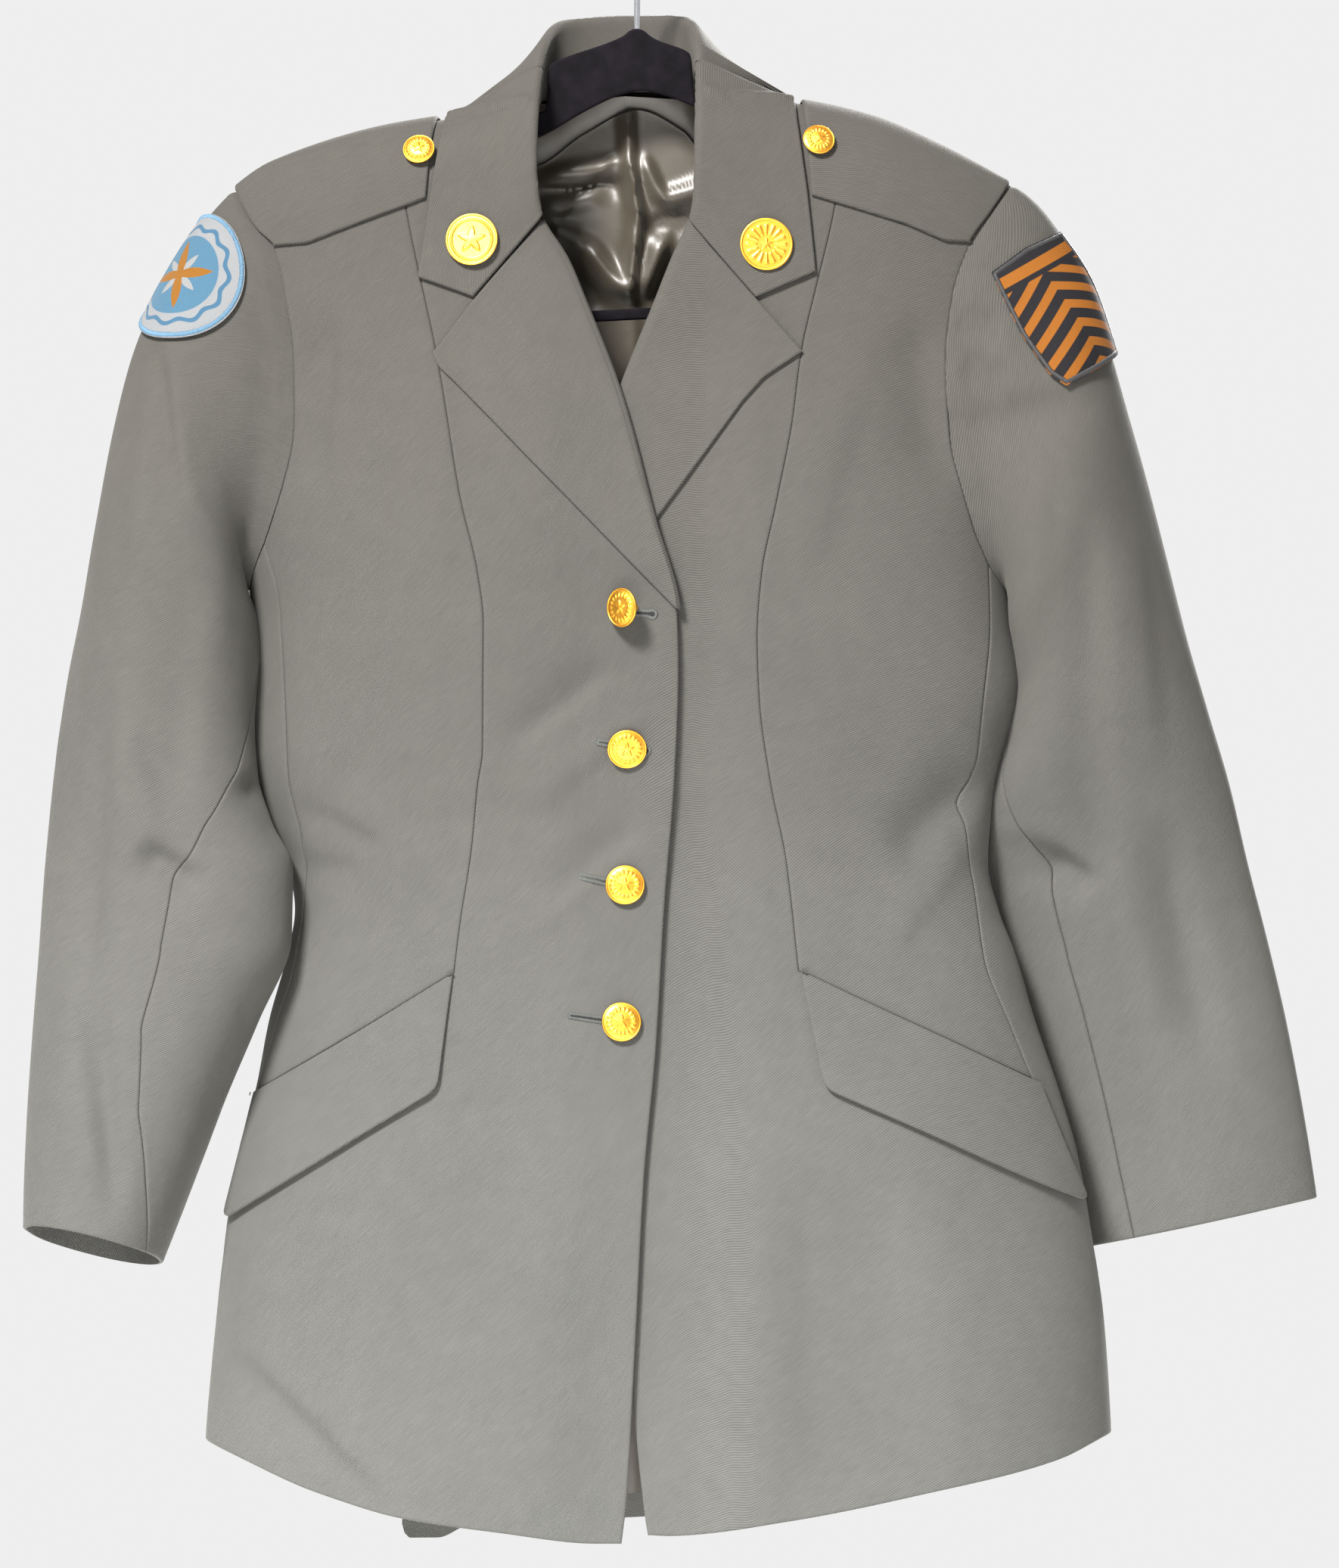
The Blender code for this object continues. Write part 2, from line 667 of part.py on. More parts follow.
def unit(vectors):
    """Vectors of length one."""
    return vectors / np.maximum(np.linalg.norm(vectors, axis=-1, keepdims=True), 1e-9)


def body_normal(turn, depth):
    """Outward directions of the body's outside."""
    across = body(turn + 0.004, depth) - body(turn - 0.004, depth)
    down = body(turn, depth + 0.4) - body(turn, depth - 0.4)
    return unit(np.cross(down, across))


def place(x, z, face=1, side=0):
    """Turn and depth of the body's points at X and Z on one face."""
    x, z = np.broadcast_arrays(np.asarray(x, float), np.asarray(z, float))
    centre, half = ring(z)
    turn = np.arcsin(np.clip((x - centre) / half, -1.0, 1.0))
    if face < 0:
        turn = np.where((turn < 0) if side == 0 else (side < 0), -math.pi, math.pi) - turn
    fall = np.maximum(crown_height(turn) - z, 0.0)
    bend = np.arccos(1 - np.minimum(fall, CROWN) / CROWN)
    return np.stack((turn, CROWN * bend + np.maximum(fall - CROWN, 0.0)), -1)


def hang(turn, hem):
    """Turn and depth where the cloth of these turns meets a hem."""
    turn = np.asarray(turn, float)
    z = np.full(turn.shape, hem[1][1])
    for _ in range(6):
        centre, half = ring(z)
        z = follow(hem, centre + half * np.sin(turn))
    return np.stack((turn, CROWN * (math.pi / 2 - 1) + crown_height(turn) - z), -1)


def levels(top, bottom, count):
    """Heights from a shoulder down, closer together where the cloth turns over it."""
    length = CROWN * (math.pi / 2 - 1) + top - bottom
    return top - drop(length * np.linspace(0, 1, count) ** 1.35)


def trace(points, count, face=1, side=0):
    """Evenly spaced places along a line of X and Z points."""
    points = np.array(points, float)
    way = np.concatenate(([0], np.cumsum(np.linalg.norm(np.diff(points, axis=0), axis=1))))
    at = np.linspace(0, way[-1], count)
    return place(np.interp(at, way, points[:, 0]), np.interp(at, way, points[:, 1]), face, side)


def seam(table, heights, face=1, side=0, value=1):
    """Places along a seam of the table at some heights."""
    return place(follow(table, heights, value), heights, face, side)


def patch(top, bottom, left, right):
    """Grid of places between four lines, rows running down and columns across."""
    across = np.linspace(0, 1, len(top))[None, :, None]
    down = np.linspace(0, 1, len(left))[:, None, None]
    sides = (1 - across) * left[:, None] + across * right[:, None]
    ends = (1 - down) * top[None] + down * bottom[None]
    corners = (1 - down) * ((1 - across) * top[0] + across * top[-1])
    corners = corners + down * ((1 - across) * bottom[0] + across * bottom[-1])
    return sides + ends - corners


def weld(grids):
    """Shared places and faces of grids that meet along lines."""
    places, faces, known = [], [], {}
    for grid in grids:
        rows, columns = grid.shape[:2]
        index = np.zeros((rows, columns), int)
        for i in range(rows):
            for j in range(columns):
                mark = tuple(np.round(grid[i, j], 4))
                if mark not in known:
                    known[mark] = len(places)
                    places.append(grid[i, j])
                index[i, j] = known[mark]
        for i in range(rows - 1):
            for j in range(columns - 1):
                faces.append((index[i, j], index[i + 1, j], index[i + 1, j + 1], index[i, j + 1]))
    return np.array(places), faces


def edge_moves(points, normals, faces, amount):
    """Moves that draw the free edges of a sheet in by an amount."""
    owner = {}
    for face in faces:
        for a, b in zip(face, face[1:] + face[:1]):
            owner[(a, b)] = face
    free = [pair for pair in owner if (pair[1], pair[0]) not in owner]
    inward = {}
    for a, b in free:
        middle = points[list(owner[(a, b)])].mean(axis=0)
        for end in (a, b):
            aim = np.cross(normals[end], points[b] - points[a])
            aim = unit(aim) * (1 if aim @ (middle - points[a]) > 0 else -1)
            inward.setdefault(end, []).append(aim)
    moves = np.zeros(points.shape)
    for end, aims in inward.items():
        moves[end] = amount * (aims[0] + aims[-1]) / max(1 + aims[0] @ aims[-1], 0.4)
    return moves, free


def solid(name, outer, inner, faces, free):
    """Object of a wall between an outer and an inner sheet with the same faces."""
    count = len(outer)
    points = np.concatenate((outer, inner)) * MM
    every = list(faces) + [tuple(face[k] + count for k in (0, *range(len(face) - 1, 0, -1))) for face in faces]
    for a, b in free:
        rim = (b, a, a + count, b + count)
        every.append(rim if outer[b][2] < outer[a][2] else rim[1:] + rim[:1])
    return mesh_object(name, points.tolist(), every)


def mesh_object(name, points, faces):
    """Object of points and faces with its faces turned outward."""
    mesh = bpy.data.meshes.new(name)
    mesh.from_pydata(points, [], [tuple(int(i) for i in face) for face in faces])
    work = bmesh.new()
    work.from_mesh(mesh)
    bmesh.ops.recalc_face_normals(work, faces=work.faces)
    work.to_mesh(mesh)
    work.free()
    return finish(bpy.data.objects.new(name, mesh))




def body_surface(places):
    """Points and outward directions of the body at places."""
    return body(places[:, 0], places[:, 1]), body_normal(places[:, 0], places[:, 1])


def cloth(name, grids, surface=body_surface, lift=0.0, thickness=CLOTH, inset=SEAM_GAP / 2):
    """Wall of cloth over grids of places on a surface, moved out by a lift."""
    places, faces = weld(grids)
    points, normals = surface(places)
    amount = lift(points, places) if callable(lift) else np.full(len(points), float(lift))
    moves, free = edge_moves(points, normals, faces, inset)
    outer = points + moves + normals * amount[:, None]
    return solid(name, outer, outer - normals * thickness, faces, free)


def joined(*lines):
    """One line of places from lines that share their end places."""
    return np.concatenate([lines[0]] + [line[1:] for line in lines[1:]])


def straight(start, end, count):
    """Evenly spaced places between two places."""
    return start + (end - start) * np.linspace(0, 1, count)[:, None]


def from_shoulder(line):
    """The line with its first place on the shoulder line."""
    line = line.copy()
    line[0, 1] = 0.0
    return line


def underlap(points, places):
    """Lift of the left front, which sinks where the right front covers it."""
    across = ease((LEFT_COVER[1] - points[:, 0]) / (LEFT_COVER[1] - LEFT_COVER[0]))
    down = ease((LEFT_COVER[2] - points[:, 2]) / (LEFT_COVER[2] - LEFT_COVER[3]))
    return -UNDERLAP * across * down


def half_body(name, side, tables, lift):
    """Front, side front, side and back of one half, sharing the lines of their seams."""
    edge, princess, side_seam, back_seam, armhole = tables
    arm_low, pocket_out, pocket_in = side_seam[0][0], side_seam[-1][0], princess[-1][0]
    back_low = back_seam[0][0]

    def upper(table, end):
        heights = levels(table[0][0], arm_low, SHOULDER_ROWS)
        rest = np.linspace(arm_low, end, CHEST_ROWS)
        return from_shoulder(seam(table, np.concatenate((heights, rest[1:]))))

    edge_upper = upper(edge, pocket_in)
    princess_upper = upper(princess, pocket_in)
    arm_front = from_shoulder(seam(armhole, levels(armhole[0][0], arm_low, SHOULDER_ROWS)))
    side_upper = seam(side_seam, np.linspace(arm_low, pocket_out, CHEST_ROWS))
    pocket = trace([(row[1], row[0]) for row in (princess[-1], side_seam[-1])], SIDE_FRONT_COLUMNS)

    edge_lower = seam(edge, np.linspace(pocket_in, edge[-1][0], SKIRT_ROWS))
    middle_low = hang([princess_upper[-1, 0] * 0.98], FRONT_HEM)[0]
    middle = straight(princess_upper[-1], middle_low, SKIRT_ROWS)
    side_low = hang([side * math.radians(98)], FRONT_HEM)[0]
    side_lower = straight(side_upper[-1], side_low, SKIRT_ROWS)
    bow = 1 - (1 - np.linspace(0, 1, SKIRT_ROWS)) ** 2
    side_lower[:, 0] = side_upper[-1, 0] + (side_low[0] - side_upper[-1, 0]) * bow
    hem_front = hang(np.linspace(edge_lower[-1, 0], middle_low[0], FRONT_COLUMNS), FRONT_HEM)
    hem_front[0] = edge_lower[-1]
    hem_side = hang(np.linspace(middle_low[0], side_low[0], SIDE_FRONT_COLUMNS), FRONT_HEM)

    top_front = straight(edge_upper[0], princess_upper[0], FRONT_COLUMNS)
    top_side = straight(princess_upper[0], arm_front[0], SIDE_FRONT_COLUMNS)
    cross = straight(edge_upper[-1], princess_upper[-1], FRONT_COLUMNS)
    cloth("front_" + name, (
        patch(top_front, cross, edge_upper, princess_upper),
        patch(cross, hem_front, edge_lower, middle),
        patch(pocket, hem_side, middle, side_lower)), lift=lift)
    outer_edge = joined(arm_front, side_upper)
    cloth("side_front_" + name, (patch(top_side, pocket, princess_upper, outer_edge),))

    heights = np.linspace(back_low, follow(FRONT_HEM, back_seam[-1][1]), CHEST_ROWS + SKIRT_ROWS - 1)
    back_line = seam(back_seam, heights, -1, side)
    back_line[-1] = hang(back_line[-1:, 0], FRONT_HEM)[0]
    side_line = joined(side_upper, side_lower)
    armpit = straight(side_line[0], back_line[0], SIDE_COLUMNS)
    armpit[:, 1] += ARMPIT_DIP * np.sin(np.linspace(0, math.pi, SIDE_COLUMNS))
    hem_turns = np.linspace(side_line[-1, 0], back_line[-1, 0], SIDE_COLUMNS)
    cloth("side_" + name, (patch(armpit, hang(hem_turns, FRONT_HEM), side_line, back_line),))

    arm_back = seam(armhole, levels(armhole[0][0], back_low, SHOULDER_ROWS), -1, side, 2)
    arm_back[0] = (side * math.pi - arm_front[0, 0], 0.0)
    flank = joined(arm_back, back_line)
    flank = np.concatenate((flank, hang(flank[-1:, 0], BACK_HEM)))
    neck = trace([(edge[0][1], edge[0][0]), (BACK_NECK[0], BACK_NECK[1])], NECK_COLUMNS, -1, side)
    neck[0] = (side * math.pi - edge_upper[0, 0], 0.0)
    over = joined(top_front, top_side)[::-1]
    over = np.stack((side * math.pi - over[:, 0], over[:, 1]), -1)
    top = joined(over, neck)
    heights = np.linspace(BACK_NECK[1], follow(BACK_HEM, BACK_NECK[0]), len(flank))
    centre = place(BACK_NECK[0], heights, -1, side)
    hem = hang(np.linspace(flank[-1, 0], centre[-1, 0], len(top)), BACK_HEM)
    hem[-1] = centre[-1]
    cloth("back_" + name, (patch(top, hem, flank, centre),))
    return arm_front, armpit, arm_back


def sleeve_surface(table, side, armhole):
    """Surface of a sleeve over section numbers and angles, starting on the armhole seam."""
    front, under, back = (body_surface(line)[0] for line in armhole)
    lowest = len(under) // 2
    fronts = np.concatenate((front, under[1:lowest + 1]))
    backs = np.concatenate((back, under[lowest:-1][::-1]))

    def hole(angle):
        share = (1 - np.cos(angle)) / 2
        points = []
        for line in (fronts, backs):
            z = line[0, 2] + (line[-1, 2] - line[0, 2]) * share
            points.append(np.stack([np.interp(-z, -line[:, 2], line[:, k]) for k in (0, 1)] + [z], -1))
        return np.where((np.sin(angle) >= 0)[:, None], points[0], points[1])

    def points_at(section, angle):
        row = [np.interp(section, np.arange(len(table)), [line[k] for line in table]) for k in range(9)]
        soft = [follow([(i,) + line for i, line in enumerate(table)], section, k + 1) for k in range(6)]
        outer_x, outer_z, inner_x, inner_z, y, depth = soft
        x = (outer_x + inner_x) / 2 + (outer_x - inner_x) / 2 * np.cos(angle)
        z = (outer_z + inner_z) / 2 + (outer_z - inner_z) / 2 * np.cos(angle)
        z = z - row[8] * (1 - np.sin(angle)) / 2
        tube = np.stack((x, y - depth * np.sin(angle), z), -1)
        share = np.clip(1 - section / SLEEVE_HEAD, 0, 1)[:, None] ** 2
        shape = tube * (1 - share) + hole(angle) * share
        face = np.where(np.sin(angle) >= 0, 1, -1)
        out = fold_height(SLEEVE_FOLDS, shape[:, 0], shape[:, 2], face) * ease(np.abs(np.sin(angle)) / FOLD_FADE)
        aim = np.stack((side * np.cos(angle), -np.sin(angle), 0 * angle), -1)
        return shape + aim * out[:, None] + np.array((side * SEAM_GAP * 1.5, 0, 0))

    def surface(places):
        section, angle = places[:, 0], places[:, 1]
        last = len(table) - 1
        near, far = np.clip(section - 0.06, 0, last), np.clip(section + 0.06, 0, last)
        down = points_at(far, angle) - points_at(near, angle)
        round_it = points_at(section, angle + 0.02) - points_at(section, angle - 0.02)
        return points_at(section, angle), unit(np.cross(down, round_it)) * -side

    return surface


def sleeve(name, side, table, armhole):
    """Top sleeve and under sleeve of one arm."""
    surface = sleeve_surface(table, side, armhole)
    sections = np.linspace(0, len(table) - 1, SLEEVE_ROWS)
    front = np.radians(np.interp(sections, np.arange(len(table)), [row[6] for row in table]))
    back = np.radians(np.interp(sections, np.arange(len(table)), [row[7] for row in table]))
    for part, start, end, columns in (("top_sleeve_", back - 2 * math.pi, front, TOP_SLEEVE_COLUMNS),
                                      ("under_sleeve_", front, back, UNDER_SLEEVE_COLUMNS)):
        share = np.linspace(0, 1, columns)[None, :]
        angle = start[:, None] * (1 - share) + end[:, None] * share
        grid = np.stack((np.broadcast_to(sections[:, None], angle.shape), angle), -1)
        cloth(part + name, (grid,), surface=surface)
    return surface


def lapel(name, side, edge, top, free_edge, lift):
    """Lapel folded out over its front, with a rolled inner edge."""
    head = trace(top, LAPEL_COLUMNS)
    outer = trace(free_edge, LAPEL_ROWS)
    low = free_edge[-1][1]
    roll = seam(edge, np.linspace(top[0][1], low, LAPEL_ROWS))
    grid = patch(head, straight(roll[-1], outer[-1], LAPEL_COLUMNS), roll, outer)
    beyond = grid[:, :1].copy()
    beyond[:, :, 0] += side * -ROLL_OVERHANG / 190.0
    grid = np.concatenate((beyond, grid), axis=1)
    share = {}
    for row in grid:
        for j, point in enumerate(row):
            share[tuple(np.round(point, 4))] = (j - 1) / (LAPEL_COLUMNS - 1)

    def height(points, places):
        at = np.array([share[tuple(np.round(place_, 4))] for place_ in places])
        rise = LAYER_GAP + CLOTH + LAPEL_SPRING * (1 - np.clip(at, 0, 1)) ** 2
        base = lift(points, places) if callable(lift) else np.zeros(len(points))
        rise = rise - LAPEL_SPRING * (1 - np.clip(at, 0, 1)) ** 2 * np.abs(base) / UNDERLAP
        return np.where(at < 0, ROLL_EDGE_LIFT, rise) + base

    cloth("lapel_" + name, (grid,), lift=height)


def collar_grid():
    """Middle surface of the collar, sections running round the neck and points up, over and down."""
    table = [(i,) + row for i, row in enumerate(COLLAR_ROWS)]
    count = (len(table) - 1) * 2 + 1
    at = np.linspace(0, len(table) - 1, count)
    soft = [follow(table, at, k + 1) for k in range(9)]
    hard = [np.interp(at, np.arange(len(table)), [row[k] for row in COLLAR_ROWS]) for k in range(9)]
    grid = []
    for i in range(count):
        seam_face, edge_face = (1 if hard[k][i] >= 0 else -1 for k in (0, 6))
        foot = body_surface(place([soft[1][i]], [soft[2][i]], seam_face))
        foot = foot[0][0] - foot[1][0] * CLOTH / 2
        rim = body_surface(place([hard[7][i]], [hard[8][i]], edge_face))
        rim = rim[0][0] + rim[1][0] * (COLLAR_LIFT + CLOTH / 2)
        fold = np.array((soft[3][i], soft[4][i], soft[5][i]))
        up = unit(fold - (foot + rim) / 2)
        out = rim - foot
        out = unit(out - up * (out @ up))
        foot = foot + unit(fold - foot) * COLLAR_FOOT_GAP
        line = [foot]
        for aside, below in ((-1.0, 1.6), (-0.7, 0.5), (0.0, 0.0), (0.7, 0.5), (1.0, 1.6)):
            line.append(fold + COLLAR_FOLD * (aside * out - below * up))
        start = line[-1]
        for share in (0.25, 0.5, 0.75):
            point = start + (rim - start) * share
            face = 1 if point[1] < 0 else -1
            base, normal = (value[0] for value in body_surface(place([point[0]], [point[2]], face)))
            short = COLLAR_LIFT + CLOTH / 2 + COLLAR_ROOM - (point - base) @ normal
            line.append(point + normal * max(short, 0.0))
        line.append(rim)
        grid.append(line)
    return np.array(grid)


def sheet(name, grid, thickness):
    """Wall on both sides of a grid of points."""
    rows, columns = grid.shape[:2]
    normals = unit(np.cross(np.gradient(grid, axis=0), np.gradient(grid, axis=1))).reshape(-1, 3)
    points = grid.reshape(-1, 3)
    faces = [(i * columns + j, (i + 1) * columns + j, (i + 1) * columns + j + 1, i * columns + j + 1)
             for i in range(rows - 1) for j in range(columns - 1)]
    moves, free = edge_moves(points, normals, faces, 0.0)
    half = normals * thickness / 2
    return solid(name, points + half, points - half, faces, free)


def flap(name, corners, lift=LAYER_GAP + FLAP_ROOM + FLAP_THICKNESS):
    """Pocket flap on a front, from its four corners: inner top, outer top, outer foot, inner foot."""
    inner_top, outer_top, outer_foot, inner_foot = corners
    grid = patch(trace((inner_top, outer_top), FLAP_COLUMNS), trace((inner_foot, outer_foot), FLAP_COLUMNS),
                 trace((inner_top, inner_foot), FLAP_ROWS), trace((outer_top, outer_foot), FLAP_ROWS))
    cloth("pocket_flap_" + name, (grid,), lift=lift, thickness=FLAP_THICKNESS, inset=0.0)


def shoulder_loop(name, side, table, armhole, collar_x):
    """Strap over a shoulder, from the armhole seam to the edge of the collar."""
    low = trace(table, LOOP_COLUMNS)
    heights = levels(armhole[0][0], table[0][1], LOOP_ROWS)
    outer = place(follow(armhole, heights, 1) - side * LOOP_MARGIN, heights)
    outer[:, 1] = np.linspace(LOOP_BACK, low[0, 1], LOOP_ROWS)
    outer[-1] = low[0]
    inner = straight(place([collar_x], [-120.0])[0], low[-1], LOOP_ROWS)
    inner[:, 1] = np.linspace(LOOP_BACK, low[-1, 1], LOOP_ROWS)
    grid = patch(straight(outer[0], inner[0], LOOP_COLUMNS), low, outer, inner)
    cloth("shoulder_loop_" + name, (grid,), lift=LAYER_GAP + CLOTH, inset=0.0)


def turned(name, profile, steps, centre, aim):
    """Round part from a profile of radius and height, standing on a point and facing an aim."""
    mesh = bpy.data.meshes.new(name)
    mesh.from_pydata([(r * MM, 0.0, h * MM) for r, h in profile], [(i, i + 1) for i in range(len(profile) - 1)], [])
    part = finish(bpy.data.objects.new(name, mesh))
    screw = part.modifiers.new("turn", "SCREW")
    screw.steps = steps
    screw.render_steps = steps
    screw.use_merge_vertices = True
    screw.merge_threshold = 0.00001
    turn = Vector(aim).to_track_quat("Z", "Y").to_matrix().to_4x4()
    part.matrix_world = Matrix.Translation(Vector(centre) * MM) @ turn
    return part


def button(name, x, z, radius, lift, lean, shank):
    """Domed button on a shank, standing off the cloth of the front."""
    point, normal = (value[0] for value in body_surface(place([x], [z])))
    aim = Matrix.Rotation(math.radians(lean), 3, "Z") @ Vector(normal)
    profile = [(r * radius, h) for r, h in BUTTON_PROFILE] + [(SHANK_RADIUS, 0.0), (SHANK_RADIUS, -shank), (0.0, -shank)]
    turned(name, profile, BUTTON_STEPS, point + normal * lift, aim)


def walk(surface, start, heading, distances):
    """Places at distances along a straight way over a surface."""
    def jacobian(at):
        sides = [surface(np.array([at + move]))[0][0] - surface(np.array([at - move]))[0][0]
                 for move in (np.array((0.02, 0)), np.array((0, 0.01)))]
        return np.stack((sides[0] / 0.04, sides[1] / 0.02), -1)

    at, found, way = np.array(start, float), [], 0.0
    for distance in distances:
        for _ in range(WALK_STEPS):
            step = (distance - way) / WALK_STEPS
            slope = jacobian(at)
            at = at + np.linalg.lstsq(slope, heading * step, rcond=None)[0]
            heading = unit(jacobian(at) @ np.linalg.lstsq(slope, heading, rcond=None)[0])
        way = distance
        found.append(at.copy())
    return found


def badge(name, surface, x, z, upward, outline):
    """Patch sewn on a sleeve, as rings of points walked out from its middle."""
    sections = np.linspace(0.5, 8, 76)
    angles = np.radians(np.linspace(5, 150, 73))
    grid = np.stack(np.meshgrid(sections, angles, indexing="ij"), -1).reshape(-1, 2)
    points, normals = surface(grid)
    nearest = np.argmin(np.hypot(points[:, 0] - x, points[:, 2] - z))
    start, normal = grid[nearest], normals[nearest]
    up = np.array((math.sin(upward), 0.0, math.cos(upward)))
    up = unit(up - normal * (up @ normal))
    across = np.cross(up, normal)
    rings = []
    for i in range(BADGE_SPOKES):
        spoke = 2 * math.pi * i / BADGE_SPOKES
        heading = unit(across * math.sin(spoke) + up * math.cos(spoke))
        reach = outline(spoke)
        rings.append(walk(surface, start, heading, [reach * share for share in BADGE_RINGS]))
    places = [start] + [place_ for spoke in rings for place_ in spoke]
    count = len(BADGE_RINGS)
    faces = []
    for i in range(BADGE_SPOKES):
        a, b = 1 + i * count, 1 + (i + 1) % BADGE_SPOKES * count
        faces.append((0, a, b))
        faces += [(a + k, a + k + 1, b + k + 1, b + k) for k in range(count - 1)]
    points, normals = surface(np.array(places))
    free = [(b, a) for a, b in ((f[1], f[2]) for f in faces if len(f) == 4)
            if a % count == 0 and b % count == 0]
    outer = points + normals * (LAYER_GAP + BADGE_ROOM + BADGE_THICKNESS)
    solid(name, outer, outer - normals * BADGE_THICKNESS, faces, free)


def shield(spoke):
    """Distance from the middle of the shield patch to its edge."""
    best = 1e9
    aim = (math.sin(spoke), math.cos(spoke))
    for (x0, y0), (x1, y1) in zip(SHIELD, SHIELD[1:] + SHIELD[:1]):
        cross = aim[0] * (y1 - y0) - aim[1] * (x1 - x0)
        if abs(cross) > 1e-9:
            way = (x0 * (y1 - y0) - y0 * (x1 - x0)) / cross
            share = (aim[1] * x0 - aim[0] * y0) / cross
            if way > 0 and -1e-6 <= share <= 1 + 1e-6:
                best = min(best, way)
    return best


def disc(name, collar, x, z):
    """Round collar disc lying on the fall of the collar."""
    hit, normal = collar.ray_cast(Vector((x, -300.0, z)), Vector((0.0, 1.0, 0.0)))[:2]
    if normal.y > 0:
        normal = -normal
    turned(name, DISC_PROFILE, DISC_STEPS, hit + normal * (CLOTH / 2 + DISC_GAP), normal)


def outline(name, loops, half_thickness):
    """Flat bar work cut to outlines and standing in the plane of the hook."""
    curve = bpy.data.curves.new(name, "CURVE")
    curve.dimensions = "2D"
    curve.fill_mode = "BOTH"
    curve.extrude = half_thickness * MM
    for loop in loops:
        spline = curve.splines.new("POLY")
        spline.points.add(len(loop) - 1)
        for point, (x, z) in zip(spline.points, loop):
            point.co = (x * MM, z * MM, 0.0, 1.0)
        spline.use_cyclic_u = True
    part = finish(bpy.data.objects.new(name, curve))
    part.matrix_world = Matrix.Rotation(math.pi / 2, 4, "X")
    return part


def hook(name):
    """Steel hook whose inside meets the origin at its top."""
    centre = HOOK_RADIUS + HOOK_WIRE
    path = list(HOOK_STEM)
    for i in range(HOOK_POINTS + 1):
        angle = math.radians(HOOK_START + (HOOK_END - HOOK_START) * i / HOOK_POINTS)
        path.append((centre * math.cos(angle), HOOK_WIRE - centre + centre * math.sin(angle)))
    curve = bpy.data.curves.new(name, "CURVE")
    curve.dimensions = "3D"
    curve.bevel_depth = HOOK_WIRE * MM
    curve.bevel_resolution = 1
    curve.use_fill_caps = True
    spline = curve.splines.new("POLY")
    spline.points.add(len(path) - 1)
    for point, (x, z) in zip(spline.points, path):
        point.co = (x * MM, 0.0, z * MM, 1.0)
    return finish(bpy.data.objects.new(name, curve))


def finish(part):
    """The object in the collection, with the material of its kind."""
    bpy.data.collections[COLLECTION].objects.link(part)
    for words, (colour, metallic, roughness) in FINISHES.items():
        if any(part.name.startswith(word) for word in words.split()):
            material = bpy.data.materials.new(part.name)
            material.use_nodes = True
            shader = material.node_tree.nodes["Principled BSDF"]
            shader.inputs["Base Color"].default_value = colour + (1.0,)
            shader.inputs["Metallic"].default_value = metallic
            shader.inputs["Roughness"].default_value = roughness
            part.data.materials.append(material)
            break
    return part


def clear_scene():
    """Empty file with the collection of the garment."""
    for item in list(bpy.data.objects):
        bpy.data.objects.remove(item, do_unlink=True)
    collection = bpy.data.collections.new(COLLECTION)
    bpy.context.scene.collection.children.link(collection)


def lining():
    """Back lining, hung inside the backs."""
    turns = np.linspace(math.pi - LINING_TURN, math.pi + LINING_TURN, LINING_COLUMNS)
    centre = turns[:, None] * np.ones(LINING_ROWS)[None, :]
    top = np.where(np.abs(turns - math.pi) < NECK_TURN, NECK_DEPTH, SHOULDER_DEPTH)
    low = hang(turns, BACK_HEM)[:, 1] - LINING_SHORT
    depth = top[:, None] + (low - top)[:, None] * np.linspace(0, 1, LINING_ROWS)[None, :]
    grid = np.stack((centre, depth), -1).transpose(1, 0, 2)

    def height(points, places):
        at = (places[:, 0] - math.pi) / LINING_TURN
        pleat = LINING_PLEAT * np.exp(-((at + 0.02) / 0.06) ** 2)
        wave = LINING_WAVE * (1 + np.cos(at * 19.0 + 0.012 * points[:, 2]))
        head = LINING_GAP * ease((points[:, 2] + 190.0) / 60.0)
        return -(CLOTH + LINING_GAP) - head - pleat - wave * ease((110.0 - np.abs(points[:, 0])) / 60.0)

    cloth("back_lining", (grid,), lift=height, thickness=LINING)


